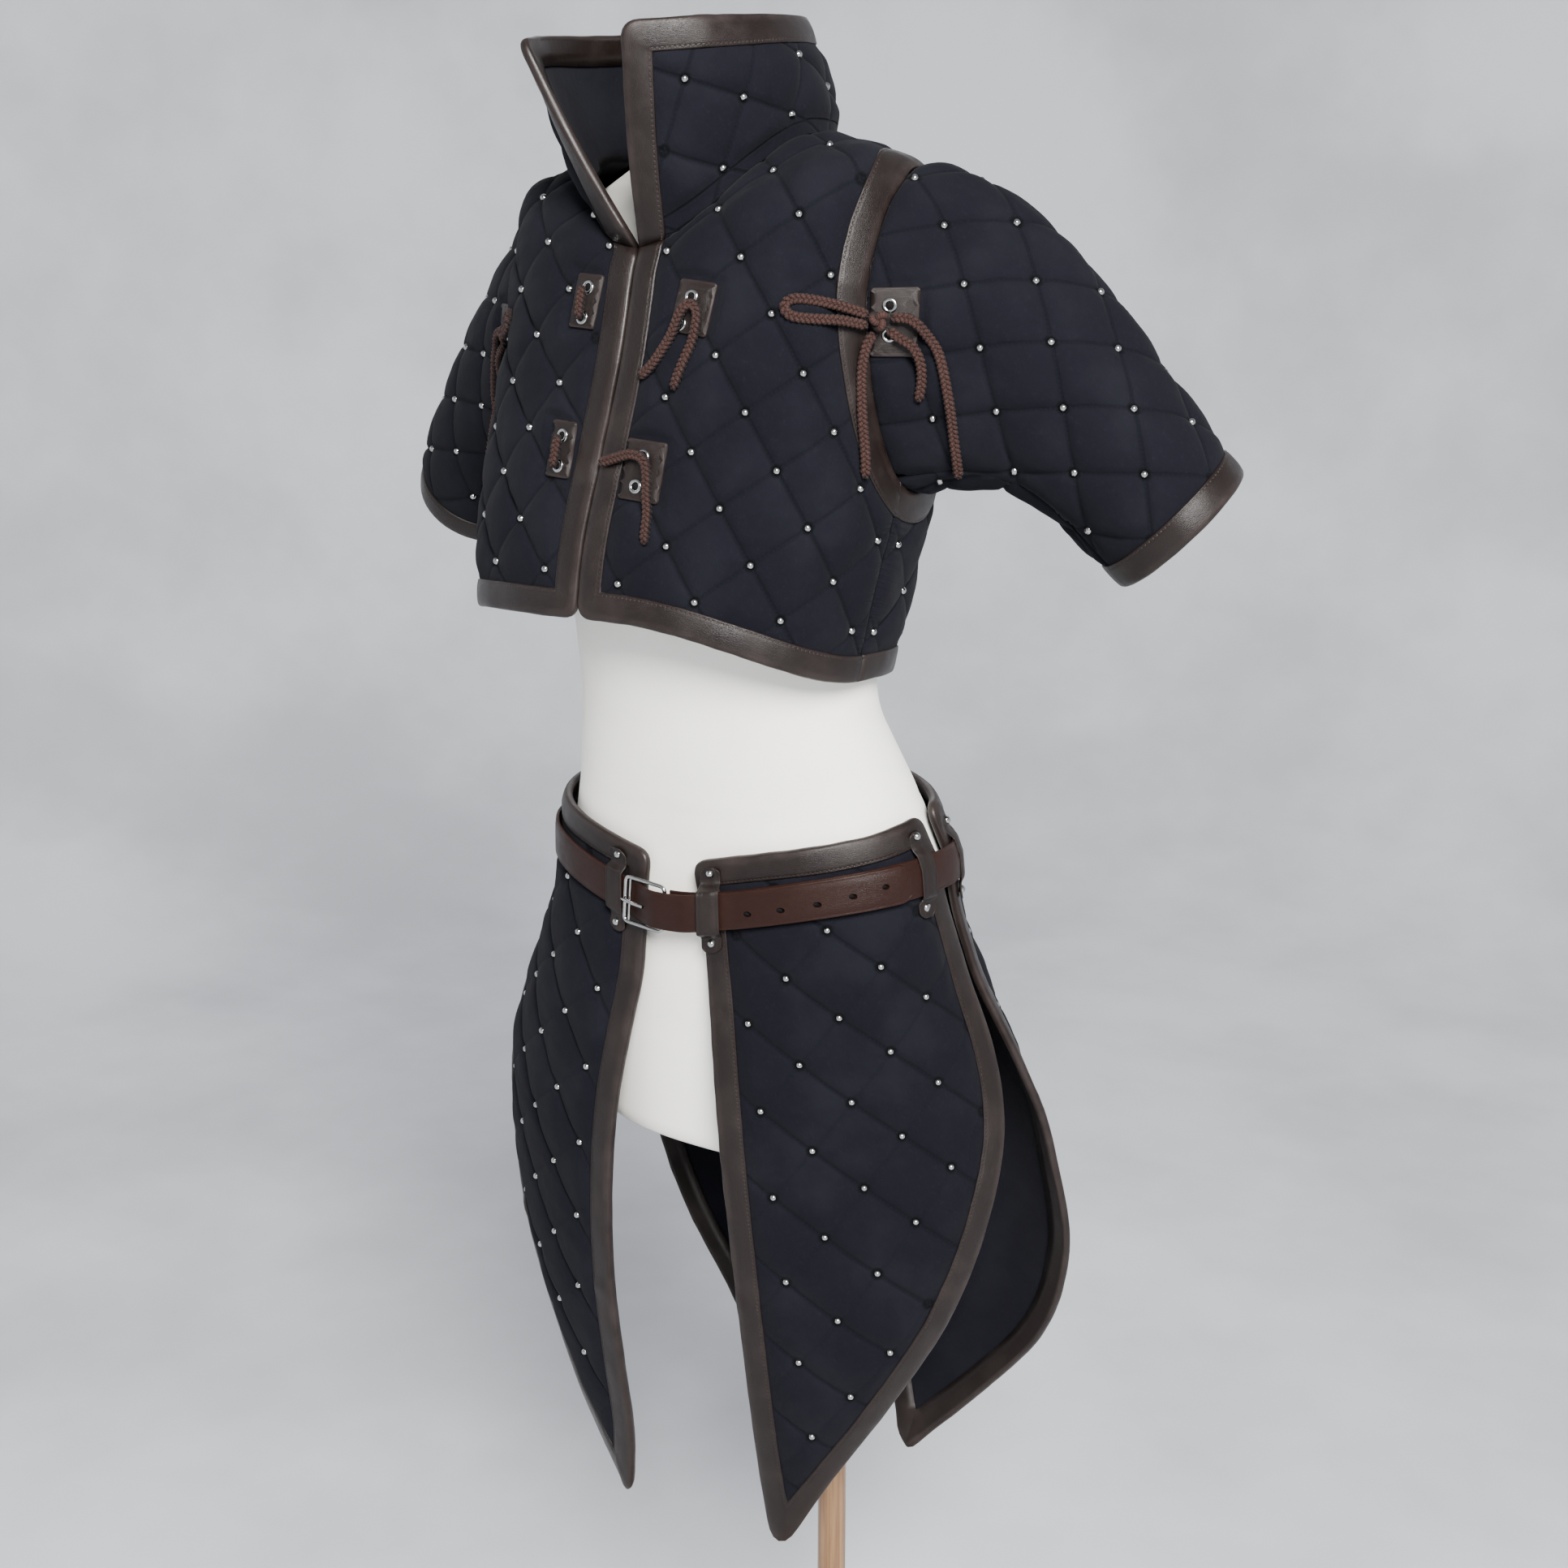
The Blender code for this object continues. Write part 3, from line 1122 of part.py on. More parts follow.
def make_laces(fronts, sleeves):
    straight = View((0.0, 1.0, 0.0))
    for side, cloth in fronts.items():
        for place, spot in zip(("top", "low"), FRONT_PATCHES[side]):
            name = side + "_" + place
            route = straight.lay(spot_middle(cloth, spot), FRONT_LACES[name], LACE_RADIUS)
            add_lace("lace_" + name, route, 0.009)
    for side, cloth in sleeves.items():
        sign = 1.0 if side == "left" else -1.0
        view = View((SLEEVE_LOOKING[0] * sign,) + SLEEVE_LOOKING[1:])
        patch = spot_middle(cloth, SLEEVE_PATCHES[side])
        knot = view.lay(patch, [KNOT_MIDDLE + (0.0,)] * 2, KNOT_RADIUS, sign)[0]
        mesh = bmesh.new()
        bmesh.ops.create_icosphere(mesh, subdivisions=1, radius=KNOT_RADIUS)
        for vert in mesh.verts:
            vert.co = knot + np.array(vert.co)
        add_object("tie_knot_" + side, mesh, "lace_cord", smooth=False)
        for name, route in SLEEVE_TIES.items():
            points = view.lay(knot, route, LACE_RADIUS, sign)
            add_lace("tie_%s_%s" % (name, side), points, 0.006 if name == "loop" else 0.010)


# ---------------------------------------------------------------- sleeves
def make_sleeve(side, ring):
    """A short sleeve from inside the armhole's binding out to a round cuff."""
    sign = 1.0 if side == "left" else -1.0
    edge = np.array([row[0] for row in ring])
    inward = unit(np.array([row[4] for row in ring]))
    head = edge + inward * SLEEVE_HEAD_INSET
    head = np.vstack([head, head[:1]])
    steps = np.linalg.norm(np.diff(head, axis=0), axis=1)
    share = np.concatenate([[0], np.cumsum(steps)]) / steps.sum()
    top = share[np.argmax(head[:, 2])]

    outward = unit(CUFF_OUTWARD * (sign, 1, 1))
    centre = CUFF_CENTRE * (sign, 1, 1)
    up = unit(np.array((0, 0, 1.0)) - outward * outward[2])
    rear = unit(np.cross(up, outward)) * sign
    reach_out = unit(np.array((0.86 * sign, 0.20, 0.0)))
    rise = np.array((0, 0, 1.0))
    inward_full = np.vstack([inward, inward[:1]])

    def sleeve_point(row, column):
        row = row + np.zeros_like(column)
        column = np.clip(column + np.zeros_like(row), 0, 1)
        start = np.stack([np.interp(column, share, head[:, k]) for k in range(3)], -1)
        lean = np.stack([np.interp(column, share, inward_full[:, k]) for k in range(3)], -1)
        angle = 2 * math.pi * (column - top)
        end = centre + CUFF_RADIUS * (np.cos(angle)[..., None] * up
                                      + np.sin(angle)[..., None] * rear)
        lifted = (0.09 * np.cos(angle) - 0.02)[..., None] * rise
        leave = unit(reach_out + lean * 0.35 + lifted) * SLEEVE_HEAD_REACH
        arrive = outward * SLEEVE_CUFF_REACH
        t = row[..., None]
        return ((1 - t) ** 3 * start + 3 * (1 - t) ** 2 * t * (start + leave)
                + 3 * (1 - t) * t ** 2 * (end - arrive) + t ** 3 * end)

    middle = (head.mean(0) + centre) / 2
    cloth = Cloth(sleeve_point, (0.0, 1.0), top, middle)
    stops = np.stack([np.zeros(len(share) - 2), share[1:-1]], 1)
    edges = [
        Edge("head", line_places((0, 0), (0, 1), 97), inset=0.0, stops=stops),
        Edge("under_back", line_places((0, 1), (1, 1)),
             stops=[(share, 1) for share in SLEEVE_STOPS]),
        Edge("cuff", line_places((1, 1), (1, 0), 65), True, 0.0, spacing=0.034),
        Edge("under_front", line_places((1, 0), (0, 0)),
             stops=[(share, 0) for share in SLEEVE_STOPS[::-1]])]
    pattern = Pattern(cloth, edges)
    add_object("sleeve_" + side,
               panel_mesh(pattern, QUILTS["sleeve"], press=patch_press([SLEEVE_PATCHES[side]])),
               "navy_cloth")
    add_object("binding_cuff_" + side,
               binding_mesh(frames(pattern, ("cuff",)), True), "dark_leather")
    return cloth


# ---------------------------------------------------------------- skirt
def off_the_form(point):
    """Points moved out to clear the form, down to its lower end."""
    height = point[..., 2]
    row = [np.interp(height, FORM[:, 0], FORM[:, k]) for k in range(1, 5)]
    middle = (row[1] + row[2]) / 2
    turn = np.degrees(np.arctan2(point[..., 0], middle - point[..., 1]))
    x, y = ring_point(turn, row[0] + HIP_EASE, row[1] - HIP_EASE, row[2] + HIP_EASE, row[3])
    now = np.hypot(point[..., 0], point[..., 1] - middle)
    push = np.maximum(np.hypot(x, y - middle) - now, 0.0)
    push = push * smooth_step(FORM[0, 0] - 0.05, FORM[0, 0], height) / now
    return np.stack([point[..., 0] * (1 + push),
                     middle + (point[..., 1] - middle) * (1 + push), height], -1)


def skirt_point(table, sign):
    def find(row, column):
        row = row + np.zeros_like(column)
        column = column + np.zeros_like(row)
        r = at_row(table, row)
        inner, outer = r[..., [1, 2, 0]], r[..., [4, 5, 3]]
        share = column[..., None]
        chord = outer - inner
        aside = unit(np.stack([chord[..., 1], -chord[..., 0], np.zeros_like(row)], -1))
        aside = aside * np.where(inner[..., 1] > 0, -1.0, 1.0)[..., None]
        free = inner + chord * share + aside * (r[..., 6:7] * 4 * share * (1 - share))
        height = free[..., 2]
        start = np.degrees(np.arctan2(inner[..., 0], -inner[..., 1]))
        end = np.degrees(np.arctan2(outer[..., 0], -outer[..., 1]))
        turn = start + (end - start) * column
        hips = form_ring(height, turn, HIP_EASE)
        point = free + (hips - free) * r[..., 7:8]
        return off_the_form(point) * np.array((sign, 1, 1))
    return find


def make_skirt():
    panels = (("front_left", SKIRT_FRONT_LEFT, 1.0), ("front_right", SKIRT_FRONT_RIGHT, -1.0),
              ("back_left", SKIRT_BACK_LEFT, 1.0),
              ("back_right", SKIRT_BACK_RIGHT, -1.0))
    for name, table, sign in panels:
        cloth = Cloth(skirt_point(table, sign), (0.0, 1.0), 0.0, np.array((0, 0.01, 0.7)))
        edges = [Edge("top", line_places((0, 0), (0, 1)), True, 0.0, spacing=0.030),
                 Edge("outer", line_places((0, 1), (1, 1), 65), True, 0.0, spacing=0.037),
                 Edge("inner", line_places((1, 0), (0, 0), 65), True, 0.0, spacing=0.052)]
        pattern = Pattern(cloth, edges)
        mesh = panel_mesh(pattern, QUILTS["skirt"], press=belt_press(cloth))
        add_object("skirt_" + name, mesh, "navy_cloth")
        rows = frames(pattern, ("top", "outer", "inner"))
        add_object("binding_skirt_" + name, binding_mesh(rows, True), "dark_leather")


# ---------------------------------------------------------------- belt
BELT_START = 2.0           # turn where the strap is held by the buckle's bar
BELT_STEPS = 40            # chords from its start to where it lifts
BELT_END = 360.0 + 78.0    # turn where the strap's free end stops
BUCKLE_WIDTH = 0.043
BUCKLE_HEIGHT = 0.0405
BUCKLE_BAR = 0.0034
BUCKLE_TURN = -9.0
BUCKLE_LIFT = BELT_LEATHER + 0.0004
BUCKLE_SET_OUT = 0.0012    # the flat frame clears the curve of the strap


def on_belt(turn, rise, out):
    """Point by the belt: its turn, its rise from the middle line, and how
    far out it lies from the belt's inner face."""
    height = belt_height(turn) + rise
    return form_ring(height, turn, HIP_EASE + BELT_STAND_OFF + out)


def belt_out(turn):
    """How far out the strap runs: over its own start after one round."""
    over_bar = BUCKLE_LIFT + BUCKLE_SET_OUT + BUCKLE_BAR + 0.0026
    doubled = BELT_LEATHER + 0.0005
    up = smooth_step(342.5, 358.5, turn)
    down = smooth_step(368.0, 385.0, turn)
    return over_bar * up + (doubled - over_bar) * down


def make_belt():
    turns = np.concatenate([np.linspace(BELT_START, 335.0, BELT_STEPS),
                            np.linspace(340.0, 390.0, 13),
                            np.linspace(397.0, BELT_END, 8)])
    half = BELT_WIDTH / 2
    rings = []
    for turn in turns:
        out = belt_out(turn)
        rings.append([on_belt(turn, rise, out + depth) for rise, depth in (
            (-half, 0), (half, 0), (half, BELT_LEATHER), (-half, BELT_LEATHER))])
    add_object("belt_strap", loft_mesh(rings), "belt_leather", smooth=False)

    # Buckle frame: a flat rectangle of bar round the strap
    middle = on_belt(BUCKLE_TURN, 0.0, BUCKLE_LIFT)
    ahead = on_belt(BUCKLE_TURN + 1, 0.0, BUCKLE_LIFT) - on_belt(BUCKLE_TURN - 1, 0.0, BUCKLE_LIFT)
    across = unit(ahead)
    up = unit(np.array((0, 0, 1.0)) - across * across[2])
    out = unit(np.cross(across, up))
    mesh = bmesh.new()
    loops = []
    for width, height, depth in ((BUCKLE_WIDTH, BUCKLE_HEIGHT, 0.0),
                                 (BUCKLE_WIDTH, BUCKLE_HEIGHT, BUCKLE_BAR),
                                 (BUCKLE_WIDTH - 2 * BUCKLE_BAR,
                                  BUCKLE_HEIGHT - 2 * BUCKLE_BAR, BUCKLE_BAR),
                                 (BUCKLE_WIDTH - 2 * BUCKLE_BAR,
                                  BUCKLE_HEIGHT - 2 * BUCKLE_BAR, 0.0)):
        loops.append([mesh.verts.new(middle + across * (a * width / 2) + up * (b * height / 2)
                                     + out * (depth + BUCKLE_SET_OUT))
                      for a, b in ((-1, -1), (1, -1), (1, 1), (-1, 1))])
    for one, two in zip(loops, loops[1:] + loops[:1]):
        for a, b, c, d in zip(one, one[1:] + one[:1], two[1:] + two[:1], two):
            mesh.faces.new((a, b, c, d))
    bmesh.ops.recalc_face_normals(mesh, faces=mesh.faces)
    add_object("buckle_frame", mesh, "silver_metal", smooth=False)

    # Prong, from the strap's hole to rest on the frame's bar
    half_bar = 0.0014
    tip = (middle - across * (BUCKLE_WIDTH / 2 - 0.0002)
           + out * (BUCKLE_SET_OUT + BUCKLE_BAR + half_bar + 0.0004))
    root = middle + across * 0.004 + out * (BUCKLE_SET_OUT + BUCKLE_BAR + half_bar + 0.0034)
    along = unit(root - tip)
    side = unit(np.cross(along, out))
    top = np.cross(side, along)
    rings = [[place + side * (half_bar * a) + top * (half_bar * b)
              for a, b in ((-1, -0.6), (-0.6, -1), (0.6, -1), (1, -0.6),
                           (1, 0.6), (0.6, 1), (-0.6, 1), (-1, 0.6))] for place in (tip, root)]
    add_object("buckle_prong", loft_mesh(rings), "silver_metal", smooth=False)


# Belt loops: name and turn of the middle
BELT_LOOPS = (("front_left", 20.0), ("side_left", 84.0), ("rear_left", 104.0),
              ("back_left", 165.0), ("back_right", 195.0), ("rear_right", 256.0),
              ("side_right", 276.0), ("front_right", 335.0))
LOOP_WIDTH = 0.017
LOOP_LEATHER = 0.0013
LOOP_RISES = (0.034, 0.027, 0.021, 0.0165, 0.006, -0.006, -0.0165, -0.021, -0.027, -0.034)
LOOP_REACH = 0.0045        # how wide the cloth's height is felt round a point
LOOP_CLEARANCE = 0.0009
LOOP_SEEN_FROM = 0.030


def make_belt_loops():
    """Strips of leather from above the belt to below it, laid on what is there."""
    graph = bpy.context.evaluated_depsgraph_get()
    pieces = [BVHTree.FromObject(item, graph) for item in bpy.data.objects
              if "skirt" in item.name or item.name == "belt_strap"]

    def lie(turn, rise):
        """How far out from the belt's inner line the pieces reach at a point."""
        foot, above = on_belt(turn, rise, 0.0), on_belt(turn, rise, LOOP_SEEN_FROM)
        reach = np.linalg.norm(foot - above)
        hits = [piece.ray_cast(above, unit(foot - above), 1.3 * reach)[3] for piece in pieces]
        hits = [hit for hit in hits if hit is not None] or [reach]
        return LOOP_SEEN_FROM * (1 - min(hits) / reach)

    for name, turn in BELT_LOOPS:
        radius = np.linalg.norm(on_belt(turn, 0, 0)[:2] - (0, 0.01))
        half_turn = math.degrees(LOOP_WIDTH / 2 / radius)
        reach_turn = math.degrees(LOOP_REACH / radius)
        rings = []
        for rise in LOOP_RISES:
            outs = [max(lie(turn + s * half_turn + a * reach_turn, rise + b * LOOP_REACH)
                        for a in (-1, 0, 1) for b in (-1, 0, 1)) + LOOP_CLEARANCE
                    for s in (-1, 0, 1)]
            low = [on_belt(turn + s * half_turn, rise, out) for s, out in zip((-1, 0, 1), outs)]
            high = [on_belt(turn + s * half_turn, rise, out + LOOP_LEATHER)
                    for s, out in zip((-1, 0, 1), outs)]
            rings.append(low + high[::-1])
        add_object("belt_loop_" + name, loft_mesh(rings), "dark_leather", smooth=False)


def main():
    for item in list(bpy.data.objects):
        bpy.data.objects.remove(item, do_unlink=True)
    make_form()
    make_stand()
    rings, fronts = make_jacket()
    sleeves = {}
    for side, ring in rings.items():
        sleeves[side] = make_sleeve(side, ring)
        make_patch("patch_sleeve_" + side, sleeves[side], SLEEVE_PATCHES[side])
    make_laces(fronts, sleeves)
    make_skirt()
    make_belt()
    make_belt_loops()


main()
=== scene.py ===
"""Quilted gambeson on a dress form: cloth, leather, laces and fittings.

The cropped jacket and the belted skirt are quilted in diamonds with a dome
stud at each crossing, and bound in leather.  Metres, +Z up; the wearer's
front faces -Y and the wearer's left is +X.  Edges, bindings and quilting are
laid out on a flat pattern of each cloth and carried back to its surface.
"""
import functools
import math
from collections import namedtuple

import bmesh
import bpy
import numpy as np
from bpy.props import FloatProperty, FloatVectorProperty, PointerProperty
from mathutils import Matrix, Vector
from mathutils.bvhtree import BVHTree
from mathutils.geometry import delaunay_2d_cdt
from mathutils.kdtree import KDTree


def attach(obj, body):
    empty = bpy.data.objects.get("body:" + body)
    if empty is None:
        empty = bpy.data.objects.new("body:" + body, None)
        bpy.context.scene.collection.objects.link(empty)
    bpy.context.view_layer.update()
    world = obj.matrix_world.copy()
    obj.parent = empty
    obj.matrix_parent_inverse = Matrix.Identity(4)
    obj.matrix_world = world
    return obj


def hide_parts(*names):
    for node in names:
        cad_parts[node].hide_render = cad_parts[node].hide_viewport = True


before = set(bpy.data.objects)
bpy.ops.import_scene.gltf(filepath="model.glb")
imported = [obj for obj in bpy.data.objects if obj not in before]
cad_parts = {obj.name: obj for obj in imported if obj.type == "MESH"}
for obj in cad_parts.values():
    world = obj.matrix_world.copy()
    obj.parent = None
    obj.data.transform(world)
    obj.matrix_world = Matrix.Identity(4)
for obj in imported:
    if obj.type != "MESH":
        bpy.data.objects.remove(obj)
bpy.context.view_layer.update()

bl_info = {
    "name": "Gambeson on a dress form",
    "version": (1, 0, 0),
    "blender": (4, 5, 0),
    "location": "3D View > Sidebar > Gambeson",
    "description": "Builds a quilted, leather-bound gambeson on its dress form",
    "category": "Add Mesh"}


# ---- settings
def length(name, description, default):
    return FloatProperty(name=name, description=description, default=default,
                         min=0.0, unit="LENGTH", subtype="DISTANCE")


def colour(name, description, default):
    return FloatVectorProperty(name=name, description=description, default=default,
                               min=0.0, max=1.0, size=3, subtype="COLOR")


class QuiltSettings(bpy.types.PropertyGroup):
    stitched: length("Stitched", "Thickness of the cloth at a stitched line", 0.0040)
    puffed: length("Puffed", "Thickness at the middle of a quilted diamond", 0.0098)
    stud_radius: length("Stud radius", "Radius of the dome studs", 0.0028)
    cloth: colour("Cloth", "Colour of the quilted cotton", (0.0036, 0.0036, 0.0059))
    cloth_worn: colour("Rubbed cloth", "Colour of the cloth where it is rubbed",
                       (0.0062, 0.0063, 0.0092))


class LeatherSettings(bpy.types.PropertyGroup):
    binding_width: length("Binding width", "Width of the leather folded over an edge", 0.019)
    thickness: length("Thickness", "Thickness of the binding leather", 0.0012)
    belt_width: length("Belt width", "Width of the belt", 0.030)
    belt_thickness: length("Belt thickness", "Thickness of the belt leather", 0.0025)
    dark: colour("Binding", "Colour of the binding leather", (0.0062, 0.0036, 0.0030))
    # lighter colour for random rubbing and for the painted highlight along the folds
    worn_and_highlit: colour("Worn binding", "Colour of the binding where it is rubbed",
                 (0.0200, 0.0140, 0.0124))
    belt: colour("Belt", "Colour of the belt leather", (0.0120, 0.0040, 0.0026))
    # lighter belt colour for random rubbing and for the painted highlight along its edges
    belt_worn_and_highlit: colour("Worn belt", "Colour of the belt where it is rubbed",
                      (0.0210, 0.0080, 0.0052))


class LaceSettings(bpy.types.PropertyGroup):
    radius: length("Radius", "Half the thickness of a plaited lace", 0.0033)
    light: colour("Lace", "Colour of the lace's threads", (0.0340, 0.0125, 0.0088))
    # painted shade: the colour between the strands of the plait
    dark: colour("Lace shade", "Colour between the lace's threads", (0.0035, 0.0011, 0.0009))


class FittingSettings(bpy.types.PropertyGroup):
    silver: colour("Silver", "Colour of the buckle, the eyelets and the studs",
                   (0.40, 0.40, 0.39))


class StandSettings(bpy.types.PropertyGroup):
    cover: colour("Cover", "Colour of the dress form's cover", (0.88, 0.865, 0.81))
    pine: colour("Pine", "Colour of the light grain of the pole", (0.250, 0.140, 0.060))
    pine_dark: colour("Pine grain", "Colour of the dark grain of the pole",
                      (0.120, 0.058, 0.022))


class StageSettings(bpy.types.PropertyGroup):
    floor: colour("Floor", "Colour of the floor and its rising rim", (0.60, 0.61, 0.64))
    key: FloatProperty(name="Key light", description="Power of the main light",
                       default=520.0, min=0.0, unit="POWER")
    fill: FloatProperty(name="Fill light", description="Power of the light from the left",
                        default=9.0, min=0.0, unit="POWER")


SETTINGS = {"quilt": QuiltSettings, "leather": LeatherSettings, "lace": LaceSettings,
            "fitting": FittingSettings, "stand": StandSettings, "stage": StageSettings}


def setting(group):
    """A group of the scene's settings."""
    return getattr(bpy.context.scene, "gambeson_" + group)


# ---- sizes
SEAM_GAP = 0.0003  # between two pieces that are sewn together
PRESSED = 0.0048  # thickness under the belt and under a patch
EDGE_MARGIN = 0.015  # how far from an edge the quilting reaches its full height
BINDING_FOLD = 0.0008  # how far the fold stands out past the edge
ARMHOLE_LIP = 0.0028  # how much further it stands out round an armhole
FRONT_INSET = 0.0027  # cloth edge to the centre front, for the two folds
CORNER_ROUNDING = 0.64  # share of a corner's square that its arc spans
STATION_SPACING = 0.0065  # between two stations of an edge
QUILT_STEPS = 16  # points along a side of a diamond
INSIDE_SPACING = 0.010  # between the points of the plain inside

HIP_EASE = 0.0056  # form to the inside of the skirt panels at the hips
BELT_STAND_OFF = 0.0076  # inside of a panel to the inside of the belt
BELT_FRONT_Z = 0.903
BELT_SIDE_Z = 0.936
BELT_BACK_Z = 0.950

PATCH_LEATHER = 0.0015
PATCH_STAND_OFF = 0.0054  # inside of a cloth to the back of a patch on it
PATCH_PRESS = 0.012  # how far round a patch the quilting is held down

POLE_RADIUS = 0.0125
POLE_X = 0.057
POLE_Y = 0.047
BASE_RADIUS = 0.185
BASE_HEIGHT = 0.022

# ---- tables
# Inside of the jacket's body, from the hem to the neck.  Heights at the
# centre front, the side and the centre back, how far round the front keeps its
# height, half the width, the y of the front and the back, how square the ring
# is, its shift along x, and how much higher the wearer's left side hangs.
#       z front z side z back level half w y front y back square shift  tilt
JACKET = np.array([
    (1.137, 1.108, 1.066, 1.0, 0.160, -0.176, 0.071, 2.5, -0.021, -0.018),
    (1.190, 1.168, 1.140, 0.8, 0.167, -0.170, 0.080, 2.5, -0.017, -0.013),
    (1.248, 1.232, 1.220, 0.4, 0.172, -0.159, 0.087, 2.6, -0.009, -0.006),
    (1.313, 1.325, 1.315, 0.0, 0.163, -0.148, 0.093, 2.8, 0.001, 0.000),
    (1.358, 1.403, 1.390, 0.0, 0.161, -0.138, 0.090, 2.7, 0.003, 0.002),
    (1.379, 1.449, 1.436, 0.0, 0.156, -0.133, 0.078, 2.3, 0.003, 0.002),
    (1.389, 1.460, 1.458, 0.0, 0.127, -0.130, 0.062, 2.1, 0.004, 0.002),
    (1.397, 1.470, 1.472, 0.0, 0.088, -0.128, 0.047, 2.0, 0.004, 0.002)])

# Top edge of the collar, by the turn from the centre front round the
# wearer's left side.  The front stands open, its right corner leans out.
#     turn      x       y      z
COLLAR_TOP = np.array([
    (0.0, 0.024, -0.173, 1.539),
    (45.0, 0.063, -0.130, 1.544),
    (90.0, 0.074, -0.062, 1.552),
    (135.0, 0.051, 0.002, 1.561),
    (180.0, 0.000, 0.033, 1.565),
    (225.0, -0.056, 0.002, 1.562),
    (270.0, -0.081, -0.062, 1.553),
    (315.0, -0.080, -0.126, 1.545),
    (360.0, -0.060, -0.176, 1.535)])
COLLAR_BOW = 0.004  # how far the collar swells between its edges

# The dress form: height, half width, y of the front and the back, squareness
#        z     half w  y front  y back  square
FORM = np.array([
    (0.692, 0.146, -0.076, 0.102, 2.3),
    (0.800, 0.164, -0.086, 0.113, 2.3),
    (0.860, 0.170, -0.091, 0.117, 2.3),
    (0.940, 0.165, -0.091, 0.109, 2.3),
    (0.985, 0.152, -0.097, 0.099, 2.2),
    (1.060, 0.129, -0.112, 0.062, 2.1),
    (1.150, 0.131, -0.124, 0.060, 2.1),
    (1.240, 0.138, -0.136, 0.083, 2.2),
    (1.310, 0.144, -0.122, 0.086, 2.3),
    (1.370, 0.143, -0.096, 0.083, 2.3),
    (1.415, 0.141, -0.076, 0.070, 2.2),
    (1.449, 0.124, -0.062, 0.046, 2.1),
    (1.462, 0.094, -0.060, 0.034, 2.0),
    (1.474, 0.064, -0.060, 0.030, 2.0),
    (1.500, 0.052, -0.067, 0.037, 2.0)])

# Skirt panels, from the top edge to the tip: the ends of each row, how far
# the row swells out past its chord, and how much of it lies on the hips.
#    z inner x inner y inner z outer x outer y outer swell  on hips
SKIRT_FRONT_LEFT = np.array([
    (0.941, 0.021, -0.094, 0.976, 0.163, -0.003, 0.040, 1.00),
    (0.900, 0.029, -0.097, 0.925, 0.172, 0.006, 0.040, 1.00),
    (0.860, 0.035, -0.099, 0.875, 0.186, 0.024, 0.035, 0.60),
    (0.800, 0.043, -0.102, 0.800, 0.206, 0.044, 0.030, 0.15),
    (0.725, 0.050, -0.102, 0.725, 0.216, 0.046, 0.026, 0.00),
    (0.645, 0.058, -0.100, 0.650, 0.217, 0.022, 0.022, 0.00),
    (0.560, 0.064, -0.093, 0.575, 0.200, -0.004, 0.018, 0.00),
    (0.480, 0.068, -0.084, 0.500, 0.163, -0.028, 0.012, 0.00),
    (0.410, 0.070, -0.072, 0.425, 0.118, -0.048, 0.006, 0.00),
    (0.352, 0.074, -0.062, 0.355, 0.078, -0.060, 0.001, 0.00)])
SKIRT_FRONT_RIGHT = np.array([
    (0.941, 0.021, -0.094, 0.976, 0.163, -0.003, 0.040, 1.00),
    (0.900, 0.026, -0.097, 0.925, 0.174, 0.000, 0.040, 1.00),
    (0.850, 0.030, -0.100, 0.865, 0.203, -0.006, 0.035, 0.50),
    (0.790, 0.043, -0.103, 0.800, 0.228, -0.008, 0.028, 0.10),
    (0.720, 0.058, -0.103, 0.720, 0.247, -0.012, 0.022, 0.00),
    (0.640, 0.068, -0.100, 0.640, 0.242, -0.020, 0.018, 0.00),
    (0.560, 0.072, -0.094, 0.560, 0.222, -0.030, 0.014, 0.00),
    (0.480, 0.071, -0.084, 0.490, 0.185, -0.042, 0.010, 0.00),
    (0.410, 0.072, -0.072, 0.420, 0.140, -0.054, 0.005, 0.00),
    (0.343, 0.082, -0.062, 0.345, 0.086, -0.060, 0.001, 0.00)])
SKIRT_BACK_LEFT = np.array([
    (1.004, 0.012, 0.110, 0.978, 0.163, 0.022, 0.030, 1.00),
    (0.960, 0.018, 0.113, 0.925, 0.170, 0.030, 0.030, 1.00),
    (0.880, 0.028, 0.120, 0.865, 0.187, 0.052, 0.045, 0.60),
    (0.805, 0.040, 0.128, 0.800, 0.203, 0.072, 0.040, 0.15),
    (0.725, 0.050, 0.133, 0.735, 0.222, 0.088, 0.030, 0.00),
    (0.650, 0.058, 0.133, 0.675, 0.237, 0.099, 0.022, 0.00),
    (0.570, 0.065, 0.128, 0.600, 0.248, 0.105, 0.016, 0.00),
    (0.500, 0.074, 0.116, 0.525, 0.231, 0.103, 0.010, 0.00),
    (0.440, 0.084, 0.102, 0.460, 0.183, 0.098, 0.006, 0.00),
    (0.378, 0.107, 0.086, 0.381, 0.111, 0.087, 0.001, 0.00)])
SKIRT_BACK_RIGHT = np.array([
    (1.004, 0.012, 0.110, 0.978, 0.163, 0.022, 0.030, 1.00),
    (0.960, 0.018, 0.113, 0.925, 0.170, 0.030, 0.030, 1.00),
    (0.880, 0.022, 0.120, 0.865, 0.182, 0.055, 0.040, 0.60),
    (0.805, 0.024, 0.130, 0.800, 0.192, 0.084, 0.032, 0.15),
    (0.725, 0.024, 0.136, 0.735, 0.200, 0.104, 0.024, 0.00),
    (0.650, 0.022, 0.138, 0.675, 0.206, 0.116, 0.018, 0.00),
    (0.570, 0.018, 0.136, 0.600, 0.196, 0.122, 0.014, 0.00),
    (0.500, 0.016, 0.128, 0.525, 0.160, 0.120, 0.010, 0.00),
    (0.440, 0.018, 0.116, 0.460, 0.104, 0.112, 0.006, 0.00),
    (0.375, 0.036, 0.100, 0.378, 0.040, 0.101, 0.001, 0.00)])
